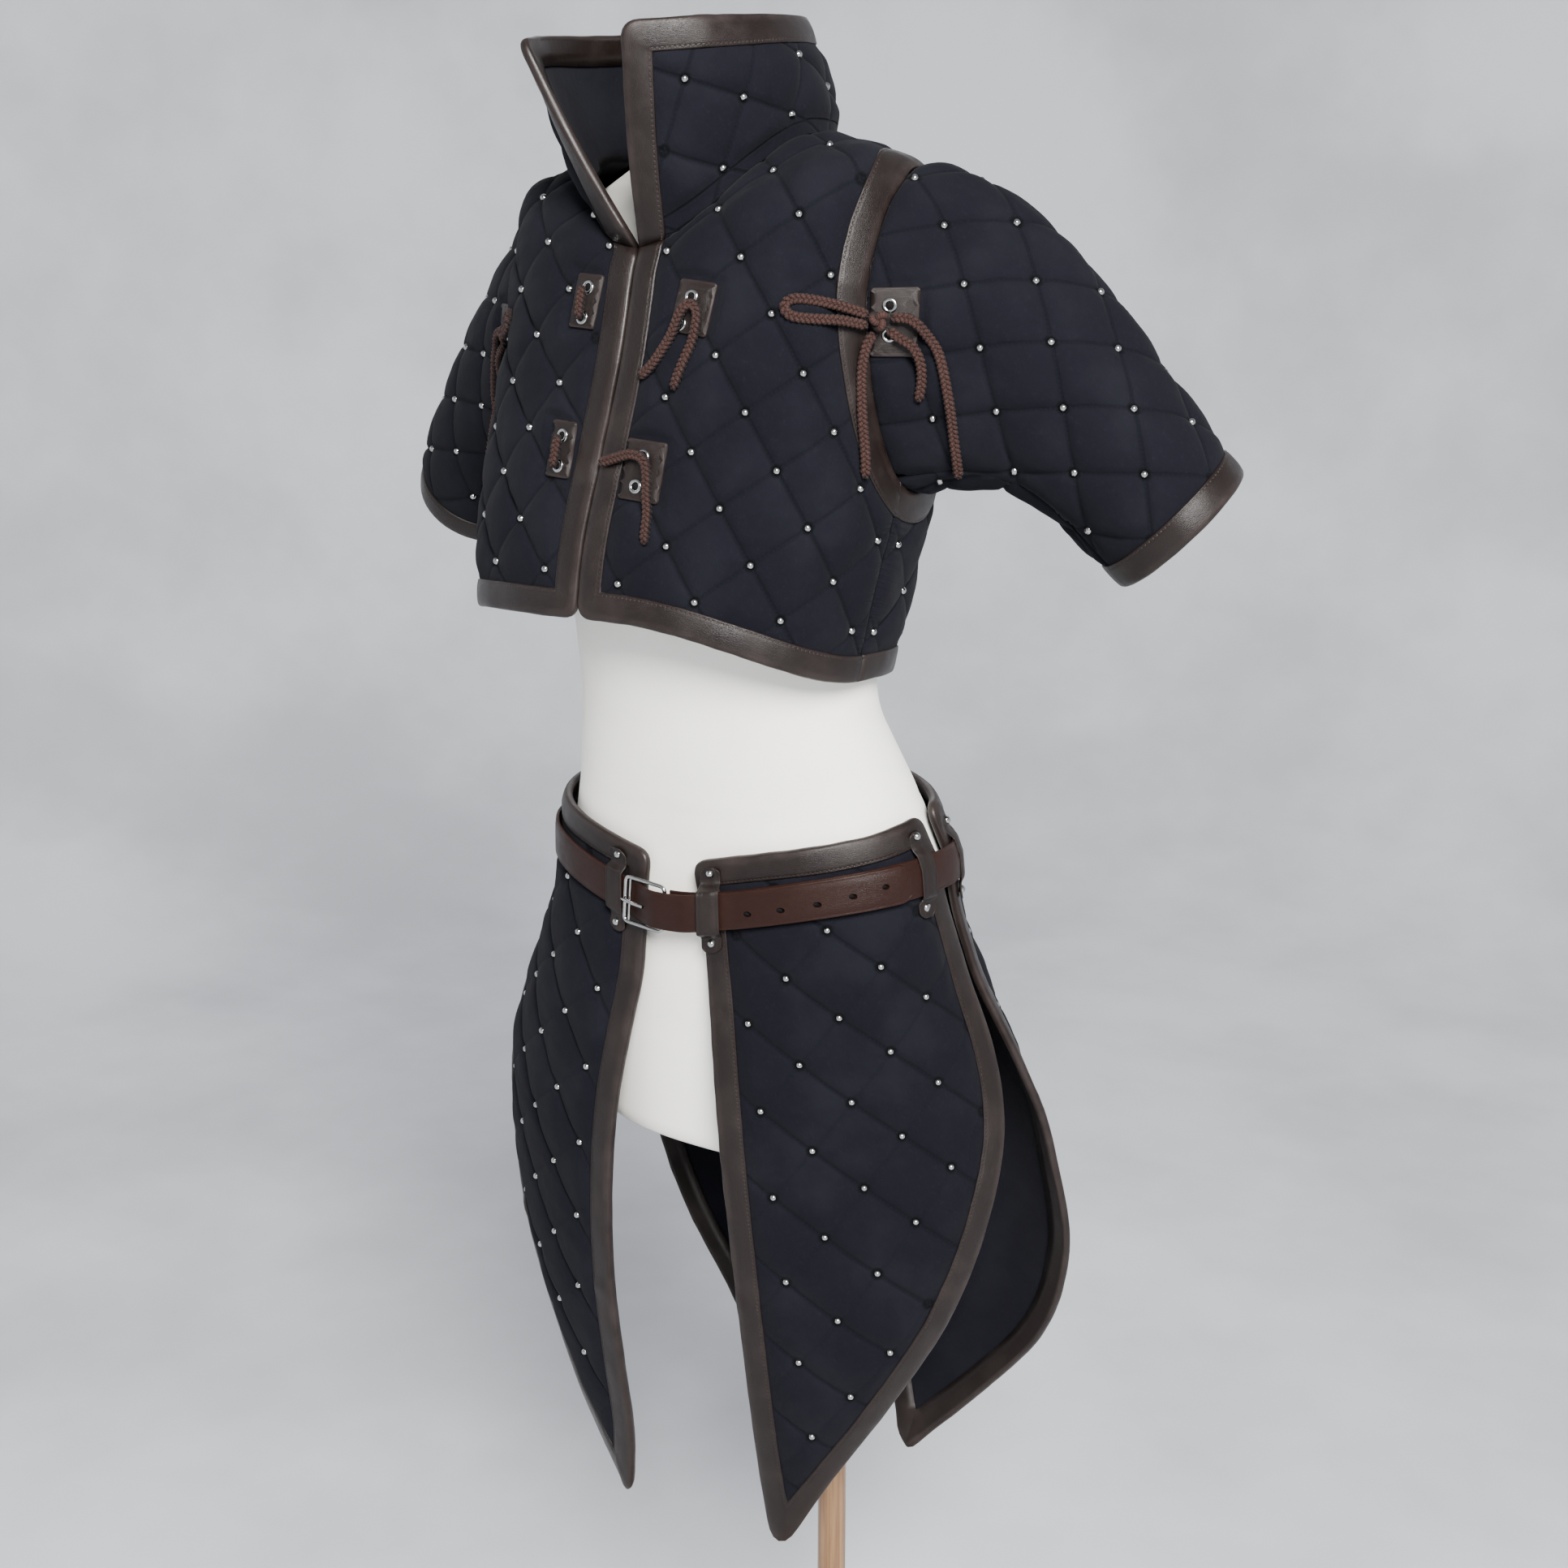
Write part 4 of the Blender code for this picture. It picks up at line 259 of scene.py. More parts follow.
SKIRTS = {"front_left": (SKIRT_FRONT_LEFT, 1.0), "front_right": (SKIRT_FRONT_RIGHT, -1.0),
          "back_left": (SKIRT_BACK_LEFT, 1.0), "back_right": (SKIRT_BACK_RIGHT, -1.0)}
SIGNS = {"left": 1.0, "right": -1.0}  # way along x of the wearer's two sides

# Stitched lines of the quilting on each flat pattern: one crossing, the turns
# of the lines one way and of the square on the others, the sides of a diamond
# each way, and how deep the lines of each kind are drawn in
#              u        v     first second  side 1 side 2 deep 1 deep 2
QUILTS = {
    "collar": (-0.0025, 0.0297, 51.0, 51.0, 0.047, 0.043, 1.00, 0.75),
    "front": (0.0005, -0.0031, 44.0, 38.0, 0.047, 0.044, 1.00, 0.60),
    "back": (0.0000, 0.0200, 45.0, 45.0, 0.047, 0.047, 1.00, 0.60),
    "sleeve": (0.0231, -0.0004, 44.0, 32.0, 0.047, 0.044, 0.85, 0.75),
    "skirt": (-0.0047, 0.0210, 43.0, 43.0, 0.050, 0.050, 1.00, 0.30)}

# Pieces cut from cloth that was turned over, so the deep lines run the other way
TURNED_OVER = ("front_right", "skirt_front_left", "skirt_back_left")

# Armhole: an oval on the side of the jacket, in turn and in rows
ARMHOLE_TURN = 98.0
ARMHOLE_HALF_TURN = 28.0
ARMHOLE_TOP_NARROW = 0.22  # share by which its top is narrower
ARMHOLE_ROW = 0.500
ARMHOLE_HALF_ROW = 0.222
SIDE_SEAM_TURN = 88.0
SHOULDER_SEAM_TURN = ARMHOLE_TURN

CUFF_CENTRE = np.array((0.340, 0.062, 1.202))
CUFF_OUTWARD = np.array((0.60, 0.38, -0.70))
CUFF_RADIUS = 0.053
SLEEVE_HEAD_INSET = 0.0080  # armhole edge to the sleeve's edge inside it
SLEEVE_HEAD_REACH = 0.095
SLEEVE_CUFF_REACH = 0.085

# Middle of each leather patch on the flat pattern of its piece, its turn in
# degrees, its width and its height
FRONT_PATCHES = {
    "left": ((0.0594, 0.2270, -4.0, 0.030, 0.038), (0.0397, 0.1110, 0.0, 0.034, 0.044)),
    "right": ((0.0347, 0.2240, 0.0, 0.024, 0.040), (0.0347, 0.1170, 0.0, 0.024, 0.042))}
SLEEVE_PATCHES = {"left": (-0.1274, 0.0588, 52.0, 0.034, 0.046),
                  "right": (-0.1250, 0.0620, 52.0, 0.034, 0.046)}
# Eyelets of each patch: how far across and how far up from its middle
EYELETS = {"left_top": ((-0.0026, 0.0069), (-0.0070, -0.0125)),
           "left_low": ((-0.0010, 0.0100), (-0.0030, -0.0116)),
           "right_top": ((0.0000, 0.0098), (0.0000, -0.0122)),
           "right_low": ((0.0000, 0.0098), (0.0000, -0.0122)),
           "sleeve_left": ((-0.0033, -0.0110), (-0.0033, 0.0081)),
           "sleeve_right": ((0.0033, -0.0110), (0.0033, 0.0081))}


# ---- curves
AT_ONCE = 2000  # points that are measured together


def at_row(table, place):
    """Row of a table at a place from 0 (first) to 1 (last), smoothed."""
    place = np.clip(np.asarray(place, float), 0.0, 1.0) * (len(table) - 1)
    low = np.minimum(place.astype(int), len(table) - 2)
    t = (place - low)[..., None]
    rows = np.vstack([2 * table[0] - table[1], table, 2 * table[-1] - table[-2]])
    a, b, c, d = (rows[low + k] for k in range(4))
    return 0.5 * (2 * b + (c - a) * t + (2 * a - 5 * b + 4 * c - d) * t ** 2
                  + (3 * b - a - 3 * c + d) * t ** 3)


def ring_point(turn, half_width, front, back, square, shift=0.0):
    """Point of a rounded ring at a turn in degrees from its front."""
    angle = np.radians(turn)
    side, ahead = np.sin(angle), np.cos(angle)
    depth = (back - front) / 2
    reach = (np.abs(side / half_width) ** square
             + np.abs(ahead / depth) ** square) ** (-1 / square)
    return shift + reach * side, (front + back) / 2 - reach * ahead


def smooth_step(low, high, value):
    t = np.clip((value - low) / (high - low), 0.0, 1.0)
    return t * t * (3 - 2 * t)


def unit(vectors):
    return vectors / np.linalg.norm(vectors, axis=-1, keepdims=True)


def lengths_along(line):
    """How far along a line each of its points is."""
    return np.concatenate([[0], np.cumsum(np.linalg.norm(np.diff(line, axis=0), axis=1))])


def between_rows(places, known, rows):
    """Rows of a table at places between the known ones."""
    return np.stack([np.interp(places, known, column) for column in np.transpose(rows)], -1)


def circle(sides, aside=(0, -1, 0), other=(1, 0, 0)):
    """Points round a circle of radius 1, level unless it is given two ways."""
    angle = np.arange(sides) * 2 * math.pi / sides
    return (np.cos(angle)[:, None] * np.asarray(aside)
            + np.sin(angle)[:, None] * np.asarray(other))


def point_tree(points):
    """A search tree of points."""
    tree = KDTree(len(points))
    for k, point in enumerate(points):
        tree.insert(point, k)
    tree.balance()
    return tree


def segment_distance(points, starts, ends):
    """Distance of flat points to the nearest of some segments."""
    found = np.empty(len(points))
    ways = ends - starts
    size = np.maximum((ways ** 2).sum(1), 1e-15)
    for first in range(0, len(points), AT_ONCE):
        off = points[first:first + AT_ONCE, None] - starts
        t = np.clip((off * ways).sum(2) / size, 0, 1)
        found[first:first + AT_ONCE] = np.linalg.norm(off - ways * t[..., None],
                                                      axis=2).min(1)
    return found


def smooth_noise(points, size, seed):
    """Soft uneven values from about -1 to 1, a few sizes from crest to crest."""
    random = np.random.default_rng(seed)
    points = np.asarray(points, float)
    total = np.zeros(len(points))
    for _ in range(9):
        way = unit(random.normal(size=points.shape[1]))
        total += np.sin(points @ way * (2 * math.pi / (size * random.uniform(0.7, 1.7)))
                        + random.uniform(0, 2 * math.pi))
    return total / 4.2


def jacket_point(row, turn):
    """Point on the inside of the jacket's body."""
    r = at_row(JACKET, row)
    x, y = ring_point(turn, r[..., 4], r[..., 5], r[..., 6], r[..., 7], r[..., 8])
    ahead, aside = np.cos(np.radians(turn)), np.sin(np.radians(turn))
    end = np.where(ahead > 0, r[..., 0], r[..., 2])
    keep = ahead ** 2 * (1 + np.where(ahead > 0, r[..., 3], 0.0) * aside ** 2)
    z = end * keep + r[..., 1] * (1 - keep) + r[..., 9] * aside ** 3
    return np.stack([x, y, z], -1)


def seam_turn(row):
    """Turn of the seam between front and back: side below, shoulder above."""
    swing = smooth_step(ARMHOLE_ROW - 0.1, ARMHOLE_ROW + 0.1, row)
    return SIDE_SEAM_TURN + (SHOULDER_SEAM_TURN - SIDE_SEAM_TURN) * swing


def form_row(height):
    """Half width, y of front and back, and squareness of the form."""
    return [np.interp(height, FORM[:, 0], FORM[:, k]) for k in range(1, 5)]


def eased_ring(row, turn, ease):
    """x and y at a turn round a row of the form, moved out by an ease."""
    half_width, front, back, square = row
    return ring_point(turn, half_width + ease, front - ease, back + ease, square)


def form_ring(height, turn, ease=0.0):
    """Point of the dress form at a height, moved out by an ease."""
    x, y = eased_ring(form_row(height), turn, ease)
    return np.stack([x, y, np.broadcast_to(height, np.shape(x))], -1)


def belt_height(turn):
    """Height of the middle of the belt."""
    ahead = np.cos(np.radians(turn))
    level = np.where(ahead > 0, BELT_FRONT_Z, BELT_BACK_Z)
    return level * ahead ** 2 + BELT_SIDE_Z * (1 - ahead ** 2)


# ---- cloth
class Cloth:
    """A sheet of cloth through rows and columns, and its flat pattern."""
    ROWS = 33
    RELAX_STEPS = 60

    def __init__(self, point, columns, start_column, inside_point, hold=None):
        self.point = point
        self.first, self.last = columns
        self.rows = np.linspace(0, 1, self.ROWS)
        self.columns = np.linspace(self.first, self.last, self.ROWS)
        row, column = np.meshgrid(self.rows, self.columns, indexing="ij")
        self.grid = point(row, column)
        hold = np.ones_like(row) if hold is None else hold(row, column)
        self.flat = self.lay_flat(start_column, hold)
        middle = self.ROWS // 2
        here = np.array([[self.rows[middle], self.columns[middle]]])
        outward = point(*here.T)[0] - inside_point
        self.sign = 1.0
        self.sign = 1.0 if self.normal(here)[0] @ outward > 0 else -1.0

    def lay_flat(self, start_column, hold):
        """Flat pattern: every triangle of the grid turned into the plane, all
        joined with the least stretch.  Flat points are complex numbers here.
        What is cut away, as in an armhole, hardly holds."""
        across = np.linalg.norm(np.diff(self.grid, axis=1), axis=2)
        along = np.linalg.norm(np.diff(self.grid, axis=0), axis=2)
        u = np.hstack([np.zeros((self.ROWS, 1)), np.cumsum(across, 1)])
        at_start = np.array([np.interp(start_column, self.columns, r) for r in u])
        v = np.concatenate([[0], np.cumsum(along.mean(axis=1))])
        flat = ((u - at_start[:, None]) + 1j * v[:, None]).ravel()

        ids = np.arange(flat.size).reshape(self.ROWS, self.ROWS)
        a, b, c, d = ids[:-1, :-1], ids[:-1, 1:], ids[1:, 1:], ids[1:, :-1]
        corners = np.concatenate([np.stack(t, -1).reshape(-1, 3) for t in (
            (a, b, c), (a, c, d), (a, b, d), (b, c, d))])
        strength = hold.ravel()[corners].min(1)
        points = self.grid.reshape(-1, 3)[corners]
        first, second = points[:, 1] - points[:, 0], points[:, 2] - points[:, 0]
        base = np.linalg.norm(first, axis=1)
        reach = (second * first).sum(1) / base
        height = np.linalg.norm(np.cross(first, second), axis=1) / base
        shape = np.stack([0 * base + 0j, base + 0j, reach + 1j * height], 1)
        sides = shape - np.roll(shape, -1, axis=1)
        # the weight of a side is the cotangent of the angle across from it
        corner = np.roll(-sides, -2, axis=1), np.roll(sides, -1, axis=1)
        turn = np.conj(corner[0]) * corner[1]
        weights = np.maximum(-turn.real / np.abs(turn.imag), 0.05) * strength[:, None]
        after = np.roll(corners, -1, axis=1)
        system = np.zeros((flat.size, flat.size))
        for i, j in ((corners, corners), (after, after)):
            np.add.at(system, (i, j), weights)
        for i, j in ((corners, after), (after, corners)):
            np.add.at(system, (i, j), -weights)
        system[0, 0] += 1.0
        solved = np.linalg.inv(system)
        for _ in range(self.RELAX_STEPS):
            now = flat[corners] - flat[after]
            turned = (weights * now * np.conj(sides)).sum(1)
            wanted = weights * sides * (turned / np.abs(turned))[:, None]
            pulls = np.zeros(flat.size, complex)
            np.add.at(pulls, corners, wanted)
            np.add.at(pulls, after, -wanted)
            flat = solved @ pulls
        flat = flat.reshape(self.ROWS, self.ROWS)
        low, high = (np.interp(start_column, self.columns, row.real)
                     + 1j * np.interp(start_column, self.columns, row.imag)
                     for row in (flat[0], flat[-1]))
        flat = (flat - low) * 1j / ((high - low) / abs(high - low))
        return np.stack([flat.real, flat.imag], -1)

    def cell(self, places):
        """Grid cell and the position in it, for (row, column) places."""
        steps = self.ROWS - 1
        i = places[:, 0] * steps
        j = (places[:, 1] - self.first) / (self.last - self.first) * steps
        i0 = np.clip(np.floor(i).astype(int), 0, steps - 1)
        j0 = np.clip(np.floor(j).astype(int), 0, steps - 1)
        return i0, j0, (i - i0)[:, None], (j - j0)[:, None]

    def to_flat(self, places):
        i, j, s, t = self.cell(np.asarray(places, float))
        f = self.flat
        return ((1 - s) * (1 - t) * f[i, j] + (1 - s) * t * f[i, j + 1]
                + s * (1 - t) * f[i + 1, j] + s * t * f[i + 1, j + 1])

    def to_place(self, points):
        """Places on the sheet of points of the flat pattern."""
        points = np.asarray(points, float)
        tree = point_tree([(u, v, 0.0) for u, v in self.flat.reshape(-1, 2)])
        nearest = np.array([tree.find((u, v, 0.0))[1] for u, v in points], int)
        places = np.stack([self.rows[nearest // self.ROWS],
                           self.columns[nearest % self.ROWS]], 1)
        width = self.last - self.first
        for _ in range(12):
            i, j, s, t = self.cell(places)
            f = self.flat
            d_row = ((1 - t) * (f[i + 1, j] - f[i, j])
                     + t * (f[i + 1, j + 1] - f[i, j + 1])) * (self.ROWS - 1)
            d_col = ((1 - s) * (f[i, j + 1] - f[i, j])
                     + s * (f[i + 1, j + 1] - f[i + 1, j])) * (self.ROWS - 1) / width
            miss = points - self.to_flat(places)
            det = d_row[:, 0] * d_col[:, 1] - d_row[:, 1] * d_col[:, 0]
            step_row = (miss[:, 0] * d_col[:, 1] - miss[:, 1] * d_col[:, 0]) / det
            step_col = (d_row[:, 0] * miss[:, 1] - d_row[:, 1] * miss[:, 0]) / det
            places = places + np.clip(np.stack([step_row, step_col], 1), -0.2, 0.2)
        return places

    def surface(self, places):
        """Inside surface at places, carried on straight past the sheet's ends."""
        rows = np.clip(places[:, 0], 0, 1)
        columns = np.clip(places[:, 1], self.first, self.last)
        here = self.point(rows, columns)
        step = 1e-3
        back_row = np.where(places[:, 0] > 1, -step, step)
        back_col = np.where(places[:, 1] > self.last, -step, step)
        d_row = (self.point(rows + back_row, columns) - here) / back_row[:, None]
        d_col = (self.point(rows, columns + back_col) - here) / back_col[:, None]
        return (here + d_row * (places[:, 0] - rows)[:, None]
                + d_col * (places[:, 1] - columns)[:, None])

    def normal(self, places):
        """Outward direction of the surface at places."""
        step = 4e-3
        rows = np.clip(places[:, 0], step, 1 - step)
        columns = np.clip(places[:, 1], self.first + step, self.last - step)
        along = self.point(rows + step, columns) - self.point(rows - step, columns)
        across = self.point(rows, columns + step) - self.point(rows, columns - step)
        return unit(np.cross(across, along)) * self.sign


# One edge of a pattern: its places in order, and how it is finished
Edge = namedtuple("Edge", "name places bound inset", defaults=(False, SEAM_GAP / 2))


def moved_in(line, distance):
    """A flat line moved to its left, the inner side of a pattern."""
    along = np.gradient(line, axis=0)
    inward = unit(np.stack([-along[:, 1], along[:, 0]], 1))
    return line + inward * distance


def lengthened(line, reach=0.12):
    first = line[0] + unit(line[0] - line[1]) * reach
    last = line[-1] + unit(line[-1] - line[-2]) * reach
    return np.vstack([first, line, last])


def crossing(one, other, near):
    """Where two flat lines cross, nearest to a point."""
    best, found = 1e9, near
    for a, b in zip(one[:-1], one[1:]):
        along, other_along = b - a, other[1:] - other[:-1]
        det = along[0] * other_along[:, 1] - along[1] * other_along[:, 0]
        det = np.where(np.abs(det) < 1e-15, 1e-15, det)
        gap = other[:-1] - a
        s = (gap[:, 0] * other_along[:, 1] - gap[:, 1] * other_along[:, 0]) / det
        t = (gap[:, 0] * along[1] - gap[:, 1] * along[0]) / det
        for k in np.nonzero((s >= 0) & (s <= 1) & (t >= 0) & (t <= 1))[0]:
            point = a + along * s[k]
            distance = np.linalg.norm(point - near)
            if distance < best:
                best, found = distance, point
    return found


def foot_on(line, point):
    """The point of a flat line nearest to another point, and its distance
    along the line."""
    a, b = line[:-1], line[1:]
    t = np.clip(((point - a) * (b - a)).sum(1) / ((b - a) ** 2).sum(1), 0, 1)
    feet = a + (b - a) * t[:, None]
    k = np.argmin(np.linalg.norm(feet - point, axis=1))
    steps = np.linalg.norm(b - a, axis=1)
    return feet[k], steps[:k].sum() + steps[k] * t[k]


def line_places(start, end, steps=129):
    return np.linspace(start, end, steps)


class Pattern:
    """The outline of a piece on the flat pattern of its cloth.

    The rim is a list of stations.  Each has an outer point P on the edge and
    an inner point Q, a binding's width in from a bound edge, or P itself.
    """

    def __init__(self, cloth, edges):
        self.cloth = cloth
        self.edges = edges
        binding = setting("leather").binding_width
        count = len(edges)
        outer, inner = [], []
        for edge in edges:
            line = cloth.to_flat(edge.places)
            outer.append(lengthened(moved_in(line, edge.inset)))
            inner.append(lengthened(moved_in(line, edge.inset + binding * edge.bound)))
        self.stations = []
        corners = []
        for k in range(count):
            near = cloth.to_flat(edges[k].places[:1])[0]
            corners.append((crossing(outer[k - 1], outer[k], near),
                            crossing(inner[k - 1], inner[k], near)))
        for k, edge in enumerate(edges):
            (p0, q0), (_, q1) = corners[k], corners[(k + 1) % count]
            if edge.bound and edges[k - 1].bound:
                self.add_corner(outer[k - 1], outer[k], p0, q0, k)
            else:
                self.stations.append((p0, q0, k))
            start, end = foot_on(inner[k], q0)[1], foot_on(inner[k], q1)[1]
            steps = max(1, round((end - start) / STATION_SPACING))
            lengths = lengths_along(inner[k])
            for distance in np.linspace(start, end, steps + 1)[1:-1]:
                q = between_rows(distance, lengths, inner[k])
                p = foot_on(outer[k], q)[0] if edge.bound else q
                self.stations.append((p, q, k))
        self.p = np.array([s[0] for s in self.stations])
        self.q = np.array([s[1] for s in self.stations])
        self.p_place, self.q_place = cloth.to_place(self.p), cloth.to_place(self.q)

    def add_corner(self, before, after, p, q, edge):
        """Stations round a corner between two bound edges."""
        start, end = foot_on(before, q)[0], foot_on(after, q)[0]
        one, two = p + (start - p) * CORNER_ROUNDING, p + (end - p) * CORNER_ROUNDING
        self.stations.append((start, q, edge - 1 if edge else len(self.edges) - 1))
        for t in np.linspace(0, 1, 7):
            arc = (1 - t) ** 2 * one + 2 * t * (1 - t) * p + t * t * two
            owner = edge if t > 0.5 else (edge - 1) % len(self.edges)
            self.stations.append((arc, q, owner))
        self.stations.append((end, q, edge))

    def size(self):
        """Width, length and area of the whole cut."""
        x, y = self.p.T
        area = abs(x @ np.roll(y, -1) - y @ np.roll(x, -1)) / 2
        return (float(np.ptp(x)), float(np.ptp(y))), float(area)


def outline_distance(points, outline):
    """Distance of points to an outline, negative outside it."""
    a, b = outline, np.roll(outline, -1, axis=0)
    found = segment_distance(points, a, b)
    rise = np.where(b[:, 1] == a[:, 1], 1e-12, b[:, 1] - a[:, 1])
    slope = (b[:, 0] - a[:, 0]) / rise
    for first in range(0, len(points), AT_ONCE):
        x, y = points[first:first + AT_ONCE].T[:, :, None]
        crosses = (a[:, 1] > y) != (b[:, 1] > y)
        inside = (crosses & (x < a[:, 0] + slope * (y - a[:, 1]))).sum(1) % 2
        found[first:first + AT_ONCE] *= np.where(inside == 1, 1, -1)
    return found


def quilt_axes(quilt):
    """The crossing that a quilting starts from, and the sides of a diamond."""
    first, second = math.radians(quilt[2]), math.radians(quilt[3])
    one = np.array((math.cos(first), math.sin(first))) * quilt[4]
    two = np.array((-math.sin(second), math.cos(second))) * quilt[5]
    return np.array(quilt[:2]), one, two


def lattice(outline, quilt, steps):
    """Points along the lines of a quilting, a number of steps to a side."""
    origin, one, two = quilt_axes(quilt)
    reach = int(np.abs(outline - origin).max() * 1.5 / min(quilt[4:6]) * steps) + 2
    i, j = np.meshgrid(np.arange(-reach, reach + 1), np.arange(-reach, reach + 1))
    points = origin + (i.reshape(-1, 1) * one + j.reshape(-1, 1) * two) / steps
    low, high = outline.min(0), outline.max(0)
    return points[((points > low) & (points < high)).all(1)]


def quilt_counts(points, quilt):
    """Flat points counted in sides of a diamond: whole on a stitched line."""
    origin, one, two = quilt_axes(quilt)
    return (points - origin) @ np.linalg.inv(np.stack([one, two]))


def pillow(counts, quilt):
    """How high the quilting puffs, from 0 on a crossing to 1 in a diamond."""
    swell = (np.abs(np.sin(math.pi * counts)) + 1e-9) ** 0.45
    one = 1 - quilt[6] * (1 - swell[:, 0])
    two = 1 - quilt[7] * (1 - swell[:, 1])
    off = np.linalg.norm(counts - np.round(counts), axis=1)
    return one * two * smooth_step(-0.02, 0.22, off)


def plain_grid(outline, spacing):
    low, high = outline.min(0), outline.max(0)
    points = [(x, y) for k, y in enumerate(np.arange(low[1], high[1], spacing * 0.866))
              for x in np.arange(low[0] + spacing / 2 * (k % 2), high[0], spacing)]
    return np.array(points).reshape(-1, 2)


def fill(outline, points):
    """Triangles over an outline and the points inside it."""
    everything = [tuple(p) for p in outline] + [tuple(p) for p in points]
    done = delaunay_2d_cdt(everything, [], [list(range(len(outline)))], 0, 1e-7, True)
    source = np.array([ids[0] for ids in done[3]])
    faces = source[np.array(done[2])]
    middles = np.array(everything)[faces].mean(axis=1)
    return faces[outline_distance(middles, outline) > 0]


# ---- materials
class Nodes:
    """Short ways to add nodes to a material."""

    def __init__(self, name):
        self.material = bpy.data.materials.new(name)
        self.material.use_nodes = True
        self.tree = self.material.node_tree
        self.shader = self.tree.nodes["Principled BSDF"]

    def add(self, kind, values=None, **settings):
        node = self.tree.nodes.new(kind)
        for key, value in settings.items():
            setattr(node, key, value)
        for socket, value in (values or {}).items():
            self.put(node.inputs[socket], value)
        return node

    def put(self, socket, value):
        if isinstance(value, bpy.types.NodeSocket):
            self.tree.links.new(value, socket)
        elif socket.type == "RGBA":
            socket.default_value = (*tuple(value)[:3], 1.0)
        else:
            socket.default_value = value

    def place(self, layer=None):
        """Coordinates in metres: on the object, or on a flat pattern."""
        if layer is None:
            return self.add("ShaderNodeTexCoord").outputs["Object"]
        return self.add("ShaderNodeUVMap", uv_map=layer).outputs["UV"]

    def stretched(self, place, scale):
        return self.add("ShaderNodeMapping", {"Vector": place, "Scale": scale}).outputs[0]

    def noise(self, place, scale, detail=3.0, roughness=0.55):
        return self.add("ShaderNodeTexNoise", {
            "Vector": place, "Scale": scale, "Detail": detail,
            "Roughness": roughness}).outputs["Fac"]

    def cells(self, place, scale):
        return self.add("ShaderNodeTexVoronoi", {"Vector": place, "Scale": scale},
                        feature="DISTANCE_TO_EDGE").outputs["Distance"]

    def maths(self, operation, one, two=0.0, clamp=False):
        return self.add("ShaderNodeMath", {0: one, 1: two}, operation=operation,
                        use_clamp=clamp).outputs[0]

    def times(self, one, two):
        return self.maths("MULTIPLY", one, two)

    def plus(self, one, two):
        return self.maths("ADD", one, two)

    def apart(self, one, two):
        return self.maths("ABSOLUTE", self.maths("SUBTRACT", one, two))

    def wave(self, value, rate):
        return self.maths("SINE", self.times(value, rate))

    def dashes(self, along, rate, short, long):
        """1 on the stitches of a row and 0 between them."""
        part = self.apart(self.maths("FRACT", self.times(along, rate)), 0.5)
        return self.between(part, short, long, 1.0, 0.0)

    def between(self, value, low, high, at_low=0.0, at_high=1.0):
        return self.add("ShaderNodeMapRange", {
            "Value": value, "From Min": low, "From Max": high,
            "To Min": at_low, "To Max": at_high}, interpolation_type="SMOOTHSTEP").outputs[0]

    def mix(self, share, one, two):
        node = self.add("ShaderNodeMix", data_type="RGBA")
        for k, value in zip((0, 6, 7), (share, one, two)):
            self.put(node.inputs[k], value)
        return node.outputs[2]

    def parts(self, vector):
        return self.add("ShaderNodeSeparateXYZ", {0: vector}).outputs

    def bump(self, height, distance, strength=1.0, under=None):
        values = {"Height": height, "Distance": distance, "Strength": strength}
        if under is not None:
            values["Normal"] = under
        return self.add("ShaderNodeBump", values).outputs[0]

    def finish(self, **values):
        for key, value in values.items():
            self.put(self.shader.inputs[key.replace("_", " ")], value)
        return self.material


WEAVE = 5200.0  # turns of the weave's wave to a metre
STITCHES_A_SIDE = 14.0  # along a side of a diamond
STITCHES_A_METRE = 300.0  # along a binding
STITCH_SHARE = 0.115  # where a binding is sewn: share of its width from its rim
SEAM_ROWS = (0.0030, 0.0140)  # rows of stitches, from the neck seam up the collar
LINT = (0.0085, 0.0088, 0.0125)
THREAD = (0.0040, 0.0045, 0.0080)


def shaded(shade, share):
    """A colour made darker or lighter by a share."""
    return tuple(share * c for c in shade)


